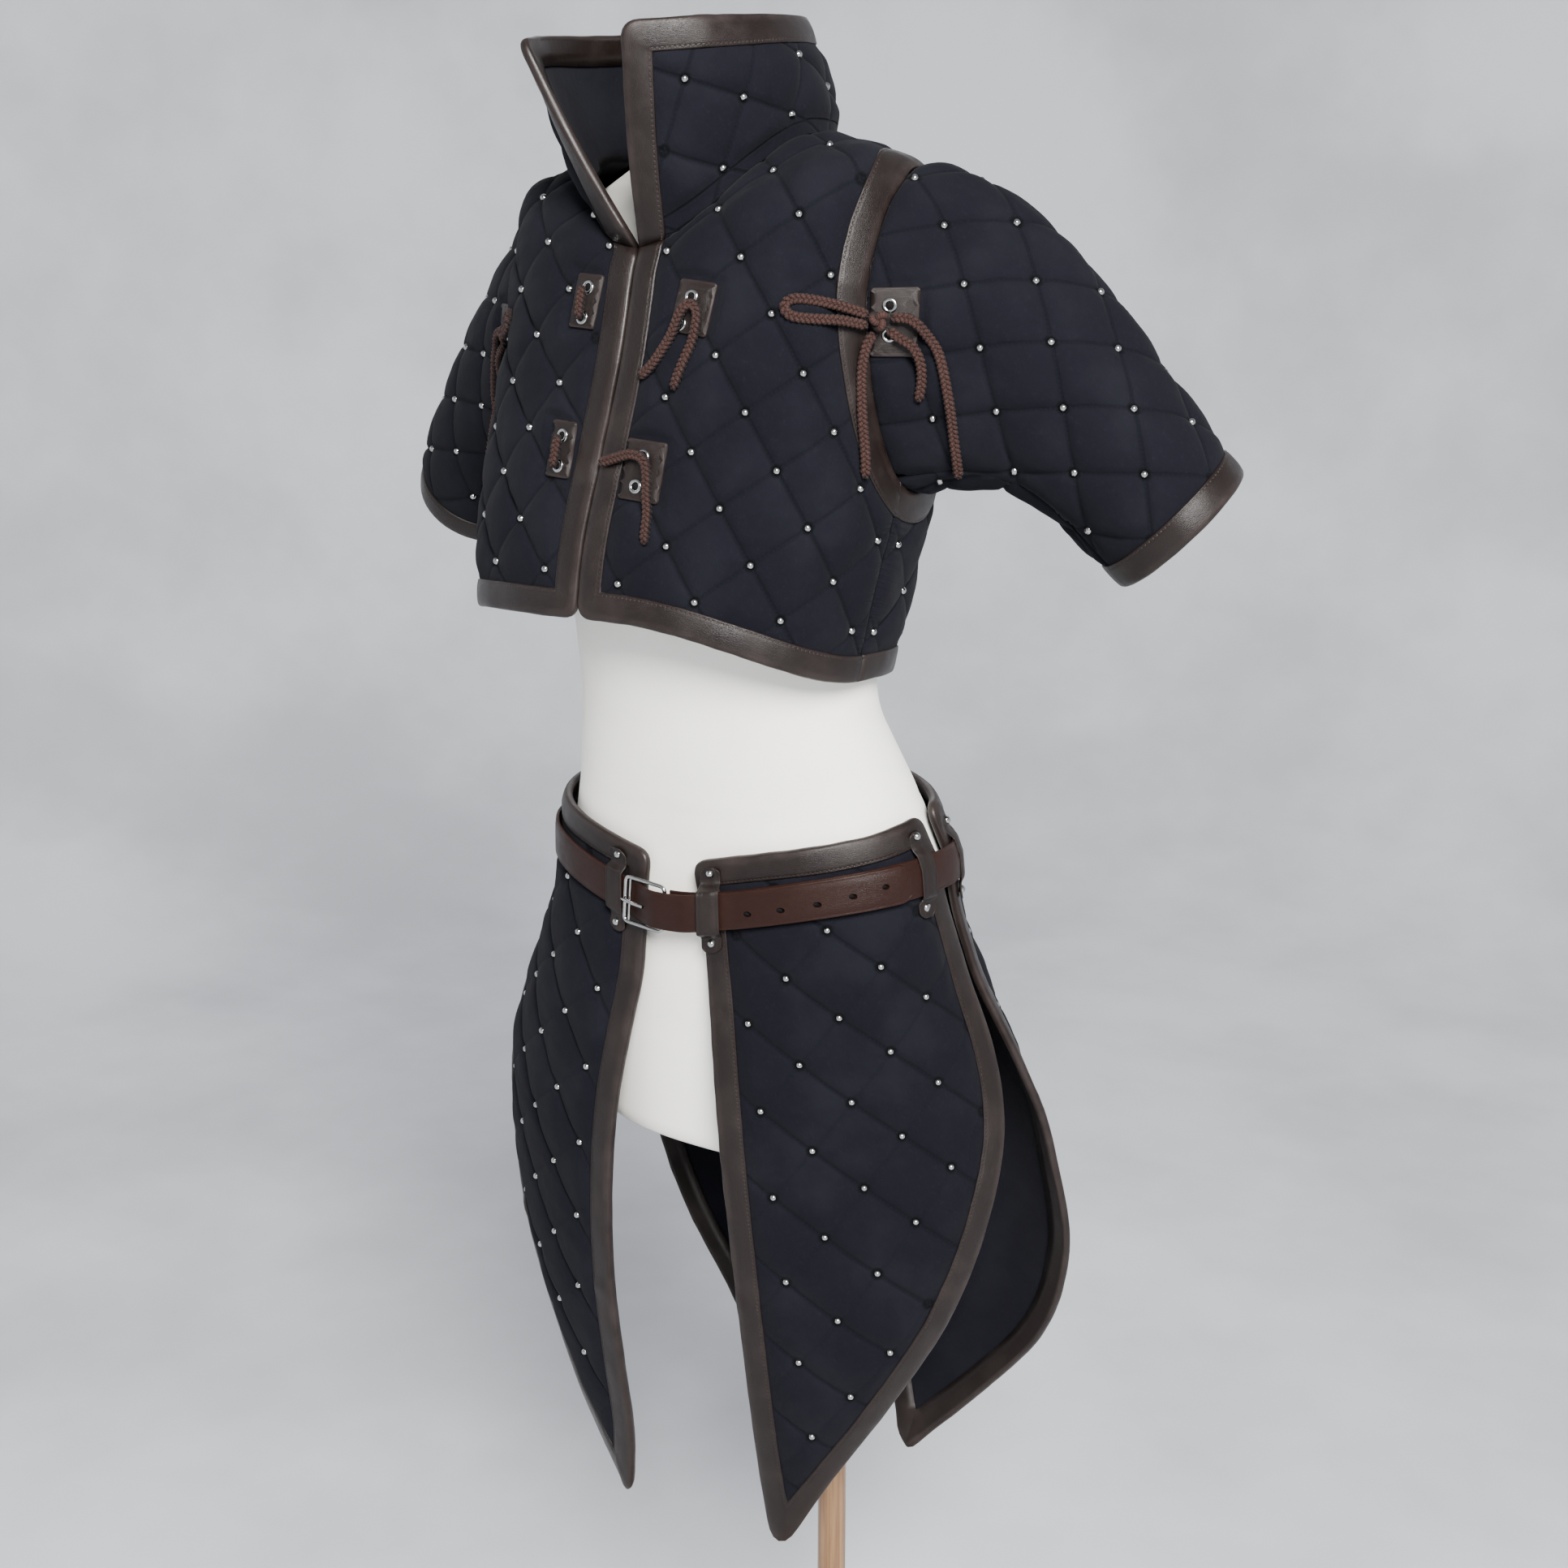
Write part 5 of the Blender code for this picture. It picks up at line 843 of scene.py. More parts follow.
@functools.cache
def cloth_finish():
    """Matte cotton: weave, faint slubs, stitches along the quilting, and painted shade in the
    stitched creases, round the studs and in the rows of stitches by the neck.
    """
    quilt = setting("quilt")
    n = Nodes("navy_cotton")
    flat = n.place("Pattern")
    u, v, _ = n.parts(flat)
    weave = n.times(n.wave(u, WEAVE), n.wave(v, WEAVE))
    slubs = n.noise(n.stretched(flat, (900.0, 160.0, 1.0)), 1.0, 2.0)
    cloudy = n.noise(n.place(), 17.0, 4.0)
    fuzzy = n.noise(n.place(), 420.0, 3.0)
    one, two, _ = n.parts(n.place("Quilting"))
    deep_one, deep_two, _ = n.parts(n.place("Deep"))
    threads, creases, offs = [], [], []
    for across, along, deep in ((one, two, deep_one), (two, one, deep_two)):
        off = n.apart(across, n.maths("ROUND", across))
        line = n.between(off, 0.010, 0.022, 1.0, 0.0)
        threads.append(n.times(line, n.dashes(along, STITCHES_A_SIDE, 0.30, 0.38)))
        creases.append(n.times(n.between(off, 0.0, 0.050, 1.0, 0.0), deep))
        offs.append(n.times(off, off))
    thread, crease = n.maths("MAXIMUM", *threads), n.maths("MAXIMUM", *creases)
    from_crossing = n.maths("SQRT", n.plus(*offs))
    shade = n.mix(n.between(cloudy, 0.38, 0.72, 0.0, 0.75), quilt.cloth, quilt.cloth_worn)
    shade = n.mix(n.between(fuzzy, 0.55, 0.80, 0.0, 0.45), shade, LINT)
    # painted shade: the stitched creases are drawn darker, by how deep each kind of line is
    shade = n.mix(n.times(crease, 0.60), shade, (0.0012, 0.0013, 0.0020))
    # painted shade: a dark ring round each crossing, where its stud sits
    shade = n.mix(n.between(from_crossing, 0.070, 0.125, 0.85, 0.0), shade,
                  (0.0008, 0.0009, 0.0013))
    shade = n.mix(n.times(thread, 0.45), shade, THREAD)
    height = n.plus(n.plus(n.times(weave, 0.35), n.times(slubs, 0.9)), n.times(thread, 0.8))
    # rows of stitches beside the neck seam, and puckers beside the side seams
    beside = n.parts(n.place("Seam"))[0]
    rows = n.maths("MAXIMUM", *(n.between(n.apart(beside, at), 0.0003, 0.0014, 1.0, 0.0)
                                for at in SEAM_ROWS))
    # painted shade: the rows of stitches are drawn dark, as grooves
    shade = n.mix(n.times(rows, 0.55), shade, (0.0018, 0.0020, 0.0032))
    crease = n.maths("MAXIMUM", crease, rows)
    near = n.times(n.between(beside, -0.030, -0.002, 0.0, 1.0),
                   n.between(beside, -0.0005, 0.0, 1.0, 0.0))
    folds = n.noise(n.stretched(n.place("Seam"), (28.0, 330.0, 1.0)), 1.0, 2.0)
    bumps = n.bump(n.noise(n.place(), 75.0, 4.0, 0.6), 0.0015, 0.55)
    bumps = n.bump(n.times(folds, near), 0.0030, 0.8, bumps)
    bumps = n.bump(crease, -0.0012, 0.7, bumps)
    return n.finish(Base_Color=shade, Roughness=0.93, Sheen_Weight=0.012,
                    Sheen_Roughness=0.55, Specular_IOR_Level=0.07,
                    Normal=n.bump(height, 0.00016, 0.6, bumps))


def leather(name, plain, worn_and_highlit, edge_share=0.6, gloss=0.38, shine=0.24, sewn=True):
    """Leather with grain, creases darkened with painted shade, folds and edges lightened partly
    by rubbing and partly as a painted highlight, and a line of stitches.
    """
    n = Nodes(name)
    place = n.place()
    along, across, _ = n.parts(n.place("Strip"))
    blotches = n.noise(place, 24.0, 5.0, 0.6)
    grain = n.cells(place, 900.0)
    creased = n.noise(n.stretched(n.place("Strip"), (230.0, 45.0, 1.0)), 1.0, 4.0, 0.6)
    # the fold or edge is lightened, partly by rubbing and partly as a painted highlight; rubbed
    # adds this to the random rubbed blotches
    fold = n.times(n.between(across, 0.72, 0.96, 0.0, edge_share),
                   n.between(n.noise(place, 60.0, 3.0), 0.30, 0.70, 0.25, 1.0))
    rubbed = n.maths("ADD", n.between(blotches, 0.44, 0.75, 0.0, 0.42), fold, clamp=True)
    shade = n.mix(rubbed, plain, worn_and_highlit)
    # painted shade: the creases are drawn darker
    shade = n.mix(n.between(creased, 0.30, 0.42, 0.45, 0.0), shade, shaded(plain, 0.42))
    height = n.plus(n.times(grain, 0.5), n.times(creased, 1.3))
    if sewn:
        line = n.between(n.apart(across, STITCH_SHARE), 0.020, 0.036, 1.0, 0.0)
        stitch = n.times(n.dashes(along, STITCHES_A_METRE, 0.24, 0.34), line)
        shade = n.mix(n.times(stitch, 0.7), shade, shaded(plain, 2.6))
        height = n.plus(height, n.times(stitch, 1.5))
    rough = n.between(blotches, 0.3, 0.7, gloss - 0.06, gloss + 0.12)
    return n.finish(Base_Color=shade, Roughness=rough, Specular_IOR_Level=shine,
                    Normal=n.bump(height, 0.00035, 0.55))


@functools.cache
def binding_finish():
    s = setting("leather")
    return leather("binding_leather", s.dark, s.worn_and_highlit)


@functools.cache
def patch_finish():
    s = setting("leather")
    return leather("patch_leather", shaded(s.dark, 1.1), s.worn_and_highlit, 0.75, 0.42, sewn=False)


@functools.cache
def belt_finish():
    s = setting("leather")
    return leather("belt_leather", s.belt, s.belt_worn_and_highlit, 0.35, 0.38, 0.14, sewn=False)


@functools.cache
def silver_finish():
    n = Nodes("silver")
    tarnish = n.noise(n.place(), 160.0, 4.0)
    shade = n.mix(n.between(tarnish, 0.35, 0.75, 0.0, 0.5), setting("fitting").silver,
                  (0.20, 0.20, 0.195))
    return n.finish(Base_Color=shade, Metallic=1.0,
                    Roughness=n.between(tarnish, 0.3, 0.8, 0.10, 0.22),
                    Normal=n.bump(n.noise(n.place(), 700.0, 2.0), 0.00008, 0.3))


# painted shade: near-black finish of the discs that stand for the shaded inside of holes
@functools.cache
def hole_shade_finish():
    n = Nodes("eyelet_hole_shade")
    shade = n.mix(n.noise(n.place(), 900.0), (0.002, 0.002, 0.002), (0.006, 0.005, 0.005))
    return n.finish(Base_Color=shade, Roughness=0.9, Specular_IOR_Level=0.1)


@functools.cache
def lace_finish():
    """Twisted thread: the strip map runs along each strand and round it. Painted light: the
    strands are lighter on their crowns and along their twist, with painted shade between them.
    """
    s = setting("lace")
    n = Nodes("plaited_lace")
    along, around, _ = n.parts(n.place("Strip"))
    twist = n.maths("SINE", n.plus(n.times(along, 5200.0), n.times(around, 6.2832)))
    fibre = n.noise(n.place(), 1300.0, 3.0)
    patchy = n.noise(n.place(), 55.0, 3.0)
    # painted light: lighter where a strand's crown stands out and along its twist
    crown = n.between(n.parts(n.place("Crown"))[0], 0.10, 0.80)
    painted_light_share = n.times(crown, n.between(twist, -0.8, 0.7, 0.55, 1.0))
    shade = n.mix(painted_light_share, s.dark, s.light)
    shade = n.mix(n.between(patchy, 0.40, 0.72, 0.0, 0.35), shade, (0.016, 0.005, 0.0040))
    height = n.plus(n.times(twist, 0.5), fibre)
    return n.finish(Base_Color=shade, Roughness=0.72, Sheen_Weight=0.03,
                    Specular_IOR_Level=0.20, Normal=n.bump(height, 0.00035, 0.7))


@functools.cache
def cover_finish():
    """Smooth knitted cover with faint soiling."""
    n = Nodes("form_cover")
    place = n.place()
    cloudy = n.noise(place, 5.5, 5.0, 0.6)
    shade = n.mix(n.between(cloudy, 0.42, 0.80, 0.0, 0.5), setting("stand").cover,
                  (0.74, 0.69, 0.57))
    knit = n.wave(n.parts(place)[2], 6500.0)
    height = n.plus(n.times(knit, 0.2), n.noise(place, 650.0, 2.0))
    return n.finish(Base_Color=shade, Roughness=0.62, Sheen_Weight=0.08,
                    Normal=n.bump(height, 0.0001, 0.35, n.bump(
                        n.noise(place, 14.0, 2.0), 0.0018, 0.30)))


@functools.cache
def pine_finish():
    """Varnished pine with long grain."""
    s = setting("stand")
    n = Nodes("varnished_pine")
    place = n.place()
    grain = n.noise(n.stretched(place, (260.0, 260.0, 7.0)), 1.0, 5.0, 0.65)
    broad = n.noise(n.stretched(place, (60.0, 60.0, 2.2)), 1.0, 3.0)
    shade = n.mix(n.between(grain, 0.36, 0.66), s.pine_dark, s.pine)
    shade = n.mix(n.between(broad, 0.42, 0.66, 0.0, 0.6), shade, s.pine_dark)
    return n.finish(Base_Color=shade, Roughness=n.between(grain, 0.3, 0.7, 0.52, 0.36),
                    Coat_Weight=0.25, Coat_Roughness=0.25,
                    Normal=n.bump(grain, 0.0003, 0.5))


@functools.cache
def floor_finish():
    n = Nodes("floor")
    pale = setting("stage").floor
    cloudy = n.noise(n.place(), 0.9, 5.0, 0.6)
    shade = n.mix(n.between(cloudy, 0.35, 0.70), pale, shaded(pale, 0.74))
    return n.finish(Base_Color=shade, Roughness=0.85, Specular_IOR_Level=0.2)


# ---- making meshes
def link_mesh(name, mesh, finish, maps=None):
    """A smooth object from a bmesh.  maps gives flat coordinates by vertex."""
    layers = [(mesh.loops.layers.uv.new(key), value) for key, value in (maps or {}).items()]
    mesh.verts.index_update()
    for layer, values in layers:
        for face in mesh.faces:
            for loop in face.loops:
                loop[layer].uv = values[loop.vert.index]
    data = bpy.data.meshes.new(name)
    mesh.to_mesh(data)
    mesh.free()
    data.shade_smooth()
    data.materials.append(finish)
    item = bpy.data.objects.new(name, data)
    bpy.context.scene.collection.objects.link(item)
    return item


def mesh_of(points, faces):
    mesh = bmesh.new()
    verts = [mesh.verts.new(p) for p in points]
    for face in faces:
        if len(set(face)) == len(face):
            mesh.faces.new([verts[k] for k in face])
    return mesh


def put_on(item, slot, *nodes):
    """A piece rides with the part and stands for its nodes; its slot is not used."""
    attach(item, "root")
    if nodes:
        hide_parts(*nodes)
    return item


def grid_faces(rows, columns, round_rows=False, round_columns=False):
    """Faces of a grid of points, row by row, closed round either way."""
    faces = []
    for i in range(rows if round_rows else rows - 1):
        for j in range(columns if round_columns else columns - 1):
            a, b = i * columns + j, i * columns + (j + 1) % columns
            step = ((i + 1) % rows) * columns
            faces.append((a, b, step + (j + 1) % columns, step + j))
    return faces


def loft(rings, capped=True):
    """Points and faces through rings of equal counts, with closed ends."""
    rings = [np.asarray(r, float) for r in rings]
    count = len(rings[0])
    points = np.vstack(rings)
    faces = grid_faces(len(rings), count, round_columns=True)
    if capped:
        faces.append(tuple(range(count - 1, -1, -1)))
        faces.append(tuple(range(len(points) - count, len(points))))
    return points, faces


def tidy_mesh(mesh):
    bmesh.ops.recalc_face_normals(mesh, faces=mesh.faces)
    if mesh.calc_volume(signed=True) < 0:
        bmesh.ops.reverse_faces(mesh, faces=mesh.faces)
    return mesh


def join_parts(parts):
    """One mesh from several (points, faces)."""
    points, faces, start = [], [], 0
    for some_points, some_faces in parts:
        points.append(np.asarray(some_points, float))
        faces += [tuple(k + start for k in face) for face in some_faces]
        start += len(some_points)
    return np.vstack(points), faces


def add_piece(name, shape, finish, slot, *nodes, maps=None, sharp=None):
    """A piece from its points and faces, ready to ride with the part."""
    item = link_mesh(name, tidy_mesh(mesh_of(*shape)), finish, maps)
    if sharp is not None:
        item.data.set_sharp_from_angle(angle=math.radians(sharp))
    return put_on(item, slot, *nodes)


# ---- jacket's patterns
def front_point(side):
    """Front piece: row from hem to neck, column from centre front to seam."""
    return lambda row, column: jacket_point(row, side * column * seam_turn(row))


def back_point(row, column):
    """Back piece: column -1 is the wearer's right seam, 1 the left."""
    return jacket_point(row, 180.0 - column * (180.0 - seam_turn(row)))


def armhole_places(start, end, to_column, steps=160):
    """Places along the armhole between two angles round its oval."""
    angle = np.radians(np.linspace(start, end, steps))
    narrow = 1 - ARMHOLE_TOP_NARROW * np.clip(-np.cos(angle), 0, 1)
    turn = ARMHOLE_TURN - ARMHOLE_HALF_TURN * np.sin(angle) * narrow
    row = ARMHOLE_ROW - ARMHOLE_HALF_ROW * np.cos(angle)
    return np.stack([row, to_column(turn, row)], 1)


def armhole_hold(turn, row):
    """How firmly the cloth holds its shape: hardly inside the armhole."""
    narrow = 1 - ARMHOLE_TOP_NARROW * np.clip((row - ARMHOLE_ROW) / ARMHOLE_HALF_ROW, 0, 1)
    far = np.hypot((turn - ARMHOLE_TURN) / (ARMHOLE_HALF_TURN * narrow),
                   (row - ARMHOLE_ROW) / ARMHOLE_HALF_ROW)
    return 0.04 + 0.96 * smooth_step(0.80, 0.95, far)


def armhole_seam_angle():
    """Angle round the armhole's oval where the side seam meets it."""
    share = (ARMHOLE_TURN - SIDE_SEAM_TURN) / ARMHOLE_HALF_TURN
    return math.degrees(math.asin(share))


def collar_point(row, column):
    turn = column * 360.0
    low = jacket_point(np.ones_like(row * column), turn + np.zeros_like(row))
    high = at_row(COLLAR_TOP[:, 1:], column + np.zeros_like(row))
    row = (row + np.zeros_like(column))[..., None]
    outward = unit(low * (1, 1, 0) - np.array((0, -0.04, 0)))
    return low + (high - low) * row + outward * COLLAR_BOW * np.sin(math.pi * row)


def neck_lean(cloth, place):
    """At the neck seam both cloths lean halfway between their surfaces."""
    if cloth.point is collar_point:
        turn = place[1] * 360.0
    elif cloth.first < 0:
        turn = 180.0 - place[1] * (180.0 - SHOULDER_SEAM_TURN)
    else:
        side = 1.0 if cloth.point(1.0, 0.5)[0] > 0 else -1.0
        turn = side * place[1] * SHOULDER_SEAM_TURN
    ahead = jacket_point(0.999, turn + 0.5) - jacket_point(0.999, turn - 0.5)
    down = jacket_point(0.97, turn) - jacket_point(1.0, turn)
    column = (turn % 360.0) / 360.0
    up = collar_point(0.05, column) - collar_point(0.0, column)
    return unit(unit(np.cross(ahead, -down)) + unit(np.cross(ahead, up)))


@functools.cache
def jacket_patterns():
    """Patterns of the jacket's body and collar."""
    seam = armhole_seam_angle()
    top = ARMHOLE_ROW + ARMHOLE_HALF_ROW
    collar = Cloth(collar_point, (0.0, 1.0), 0.5, np.array((0, -0.04, 1.52)))
    edges = [Edge("neck", line_places((0, 0), (0, 1), 257)),
             Edge("front_right", line_places((0, 1), (1, 1)), True, FRONT_INSET),
             Edge("top", line_places((1, 1), (1, 0), 257), True, 0.0),
             Edge("front_left", line_places((1, 0), (0, 0)), True, FRONT_INSET)]
    patterns = {"collar": Pattern(collar, edges)}

    for side, sign in SIGNS.items():
        cloth = Cloth(front_point(sign), (0.0, 1.0), 0.0, np.array((0, 0, 1.25)),
                      lambda r, c: armhole_hold(c * seam_turn(r), r))
        arm = armhole_places(seam, 180, lambda t, r: t / seam_turn(r))
        edges = [Edge("hem", line_places((0, 0), (0, 1)), True, 0.0),
                 Edge("side", line_places((0, 1), (arm[0, 0], 1))),
                 Edge("armhole", arm, True, 0.0),
                 Edge("shoulder", line_places((top, 1), (1, 1))),
                 Edge("neck", line_places((1, 1), (1, 0))),
                 Edge("centre", line_places((1, 0), (0, 0)), True, FRONT_INSET)]
        patterns["front_" + side] = Pattern(cloth, edges)

    def to_column(sign):
        return lambda turn, row: sign * (180.0 - turn) / (180.0 - seam_turn(row))

    back = Cloth(back_point, (-1.0, 1.0), 0.0, np.array((0, 0, 1.25)),
                 lambda r, c: armhole_hold(180.0 - np.abs(c) * (180.0 - seam_turn(r)), r))
    left_arm = armhole_places(360 + seam, 180, to_column(1.0))
    right_arm = armhole_places(180, 360 + seam, to_column(-1.0))
    bottom = left_arm[0, 0]
    edges = [Edge("hem", line_places((0, -1), (0, 1), 257), True, 0.0),
             Edge("side_left", line_places((0, 1), (bottom, 1))),
             Edge("armhole_left", left_arm, True, 0.0),
             Edge("shoulder_left", line_places((top, 1), (1, 1))),
             Edge("neck", line_places((1, 1), (1, -1), 257)),
             Edge("shoulder_right", line_places((1, -1), (top, -1))),
             Edge("armhole_right", right_arm, True, 0.0),
             Edge("side_right", line_places((bottom, -1), (0, -1)))]
    patterns["back"] = Pattern(back, edges)
    return patterns


def rim_normals(pattern):
    """Outward directions at the stations."""
    cloth = pattern.cloth
    p_normal, q_normal = cloth.normal(pattern.p_place), cloth.normal(pattern.q_place)
    for k, (_, _, edge) in enumerate(pattern.stations):
        touching = {pattern.edges[edge].name, pattern.edges[pattern.stations[k - 1][2]].name}
        if "neck" in touching:
            p_normal[k] = neck_lean(cloth, pattern.p_place[k])
            q_normal[k] = neck_lean(cloth, pattern.q_place[k])
    return p_normal, q_normal


def frames(pattern, names, backwards=False):
    """Stations of the named edges, which follow each other round a pattern."""
    p_normal, q_normal = rim_normals(pattern)
    p = pattern.cloth.surface(pattern.p_place)
    q = pattern.cloth.surface(pattern.q_place)
    count = len(pattern.stations)
    wanted = [pattern.edges[s[2]].name in names for s in pattern.stations]
    if all(wanted):
        order = list(range(count))
    else:
        start = next(k for k in range(count) if wanted[k] and not wanted[k - 1])
        order = [start]
        while wanted[order[-1]]:
            order.append((order[-1] + 1) % count)
    width = setting("leather").binding_width
    rows = []
    for k in order:
        outward = p[k] - q[k]
        reach = np.linalg.norm(outward)
        rows.append((p[k], q[k], p_normal[k], q_normal[k],
                     outward / reach * min(reach / width, 2.2)))
    return rows[::-1] if backwards else rows


@functools.cache
def armhole_rows(side):
    """Stations right round an armhole."""
    patterns = jacket_patterns()
    return (frames(patterns["front_" + side], ("armhole",))
            + frames(patterns["back"], ("armhole_" + side,), side == "left"))


@functools.cache
def sleeve_pattern(side):
    """A short sleeve from inside the armhole's binding out to a round cuff."""
    sign = SIGNS[side]
    ring = armhole_rows(side)
    edge = np.array([row[0] for row in ring])
    inward = unit(np.array([row[4] for row in ring]))
    head = edge + inward * SLEEVE_HEAD_INSET
    head = np.vstack([head, head[:1]])
    steps = np.linalg.norm(np.diff(head, axis=0), axis=1)
    share = np.concatenate([[0], np.cumsum(steps)]) / steps.sum()
    top = share[np.argmax(head[:, 2])]

    outward = unit(CUFF_OUTWARD * (sign, 1, 1))
    centre = CUFF_CENTRE * (sign, 1, 1)
    up = unit(np.array((0, 0, 1.0)) - outward * outward[2])
    rear = unit(np.cross(up, outward)) * sign
    reach_out = unit(np.array((0.86 * sign, 0.20, 0.0)))
    rise = np.array((0, 0, 1.0))
    leans = np.vstack([inward, inward[:1]])

    def sleeve_point(row, column):
        row = row + np.zeros_like(column)
        column = np.clip(column + np.zeros_like(row), 0, 1)
        start, lean = between_rows(column, share, head), between_rows(column, share, leans)
        angle = 2 * math.pi * (column - top)
        end = centre + CUFF_RADIUS * (np.cos(angle)[..., None] * up
                                      + np.sin(angle)[..., None] * rear)
        lifted = (0.09 * np.cos(angle) - 0.02)[..., None] * rise
        leave = unit(reach_out + lean * 0.35 + lifted) * SLEEVE_HEAD_REACH
        arrive = outward * SLEEVE_CUFF_REACH
        t = row[..., None]
        return ((1 - t) ** 3 * start + 3 * (1 - t) ** 2 * t * (start + leave)
                + 3 * (1 - t) * t ** 2 * (end - arrive) + t ** 3 * end)

    cloth = Cloth(sleeve_point, (0.0, 1.0), top, (head.mean(0) + centre) / 2)
    edges = [Edge("head", line_places((0, 0), (0, 1), 257), inset=0.0),
             Edge("under_back", line_places((0, 1), (1, 1))),
             Edge("cuff", line_places((1, 1), (1, 0), 257), True, 0.0),
             Edge("under_front", line_places((1, 0), (0, 0)))]
    return Pattern(cloth, edges)


# ---- skirt's patterns
def off_the_form(point):
    """Points moved out to clear the form, down to its lower end."""
    height = point[..., 2]
    row = form_row(height)
    middle = (row[1] + row[2]) / 2
    turn = np.degrees(np.arctan2(point[..., 0], middle - point[..., 1]))
    x, y = eased_ring(row, turn, HIP_EASE)
    now = np.hypot(point[..., 0], point[..., 1] - middle)
    push = np.maximum(np.hypot(x, y - middle) - now, 0.0)
    push = push * smooth_step(FORM[0, 0] - 0.05, FORM[0, 0], height) / now
    return np.stack([point[..., 0] * (1 + push),
                     middle + (point[..., 1] - middle) * (1 + push), height], -1)


def skirt_point(table, sign):
    def find(row, column):
        row = row + np.zeros_like(column)
        column = column + np.zeros_like(row)
        r = at_row(table, row)
        inner, outer = r[..., [1, 2, 0]], r[..., [4, 5, 3]]
        share = column[..., None]
        chord = outer - inner
        aside = unit(np.stack([chord[..., 1], -chord[..., 0], np.zeros_like(row)], -1))
        aside = aside * np.where(inner[..., 1] > 0, -1.0, 1.0)[..., None]
        free = inner + chord * share + aside * (r[..., 6:7] * 4 * share * (1 - share))
        height = free[..., 2]
        start = np.degrees(np.arctan2(inner[..., 0], -inner[..., 1]))
        end = np.degrees(np.arctan2(outer[..., 0], -outer[..., 1]))
        turn = start + (end - start) * column
        hips = form_ring(height, turn, HIP_EASE)
        point = free + (hips - free) * r[..., 7:8]
        return off_the_form(point) * np.array((sign, 1, 1))
    return find


@functools.cache
def skirt_pattern(name):
    table, sign = SKIRTS[name]
    cloth = Cloth(skirt_point(table, sign), (0.0, 1.0), 0.0, np.array((0, 0.01, 0.7)))
    return Pattern(cloth, [Edge("top", line_places((0, 0), (0, 1)), True, 0.0),
                           Edge("outer", line_places((0, 1), (1, 1), 257), True, 0.0),
                           Edge("inner", line_places((1, 0), (0, 0), 257), True, 0.0)])


# ---- belt's course
BELT_START = 2.0  # turn where the strap is held by the buckle's bar
BELT_END = 360.0 + 78.0  # turn where the strap's free end stops
BUCKLE_WIDTH = 0.043
BUCKLE_HEIGHT = 0.0405
BUCKLE_BAR = 0.0034
BUCKLE_TURN = -9.0
BUCKLE_SET_OUT = 0.0012  # the flat frame clears the curve of the strap
BUCKLE_CORNER = 0.0042
INNER_BAR_IN = 0.0046  # from the frame's side to the bar that the prong turns on
PRONG_RADIUS = 0.0014

# Belt loops: name, turn of the middle, and how high their studs sit
BELT_LOOPS = {"front_left": (20.0, 0.0292, -0.0262), "side_left": (84.0, 0.0300, -0.0262),
              "rear_left": (104.0, 0.0292, -0.0275), "back_left": (165.0, 0.0285, -0.0285),
              "back_right": (195.0, 0.0285, -0.0285), "rear_right": (256.0, 0.0285, -0.0275),
              "side_right": (276.0, 0.0285, -0.0275), "front_right": (335.0, 0.0285, -0.0270)}
LOOP_WIDTH = 0.017
LOOP_LEATHER = 0.0013
LOOP_RISES = (0.034, 0.027, 0.021, 0.0165, 0.006, -0.006, -0.0165, -0.021, -0.027, -0.034)
LOOP_REACH = 0.0045  # how wide the cloth's height is felt round a point
LOOP_CLEARANCE = 0.0009
LOOP_SEEN_FROM = 0.030
LOOP_END = 0.0055  # length over which its ends are cut round
# How far across half a loop, and how deep in its leather, round its section
LOOP_SECTION = ((-1, 0.45), (-0.93, 0.94), (-0.86, 1.0), (-0.76, 0.80), (-0.66, 1.02),
                (-0.3, 1.1), (0.3, 1.1), (0.66, 1.02), (0.76, 0.80), (0.86, 1.0),
                (0.93, 0.94), (1, 0.45), (0.93, 0.0), (0.0, 0.0), (-0.93, 0.0))
# Turn and rise of each hole in the belt, and half the size of a hole
BELT_HOLES = ((33.8, -0.0035), (43.8, -0.0035), (53.5, -0.003), (62.2, -0.001),
              (70.2, 0.0015))
BELT_HOLE_HALF = (0.0030, 0.0022)
BELT_POINT = 0.010  # length of its blunt round point
HIP_RADIUS = 0.172  # about the belt's distance from its middle


def on_belt(turn, rise, out):
    """Point by the belt: its turn, its rise from the middle line, and how
    far out it lies from the belt's inner face."""
    height = belt_height(turn) + rise
    return form_ring(height, turn, HIP_EASE + BELT_STAND_OFF + out)


def buckle_lift():
    return setting("leather").belt_thickness + 0.0004


def belt_out(turn):
    """How far out the strap runs: over its own start after one round."""
    over_bar = buckle_lift() + BUCKLE_SET_OUT + BUCKLE_BAR + 0.0026
    doubled = setting("leather").belt_thickness + 0.0005
    up = smooth_step(342.5, 358.5, turn)
    down = smooth_step(368.0, 385.0, turn)
    return over_bar * up + (doubled - over_bar) * down


# ---- laces
# Each lace is laid on the part, seen along a level direction.  A route gives,
# from the middle of its patch or its knot, how far across and up it runs.
FRONT_LACES = {
    "left_top": ((-0.0375, -0.0475), (-0.0255, -0.0365), (-0.0125, -0.0185),
                 (-0.0045, -0.0015), (0.0025, 0.0025), (0.0085, -0.0055),
                 (0.0055, -0.0215), (-0.0015, -0.0375), (-0.0085, -0.0555)),
    "left_low": ((-0.0357, 0.0047), (-0.0207, 0.0087), (-0.0067, 0.0117),
                 (0.0043, 0.0077), (0.0083, -0.0043), (0.0093, -0.0183),
                 (0.0103, -0.0323), (0.0093, -0.0503)),
    "right_top": ((0.0005, 0.0105), (0.0000, -0.0010), (-0.0005, -0.0125)),
    "right_low": ((0.0016, 0.0105), (0.0000, -0.0010), (-0.0018, -0.0125))}
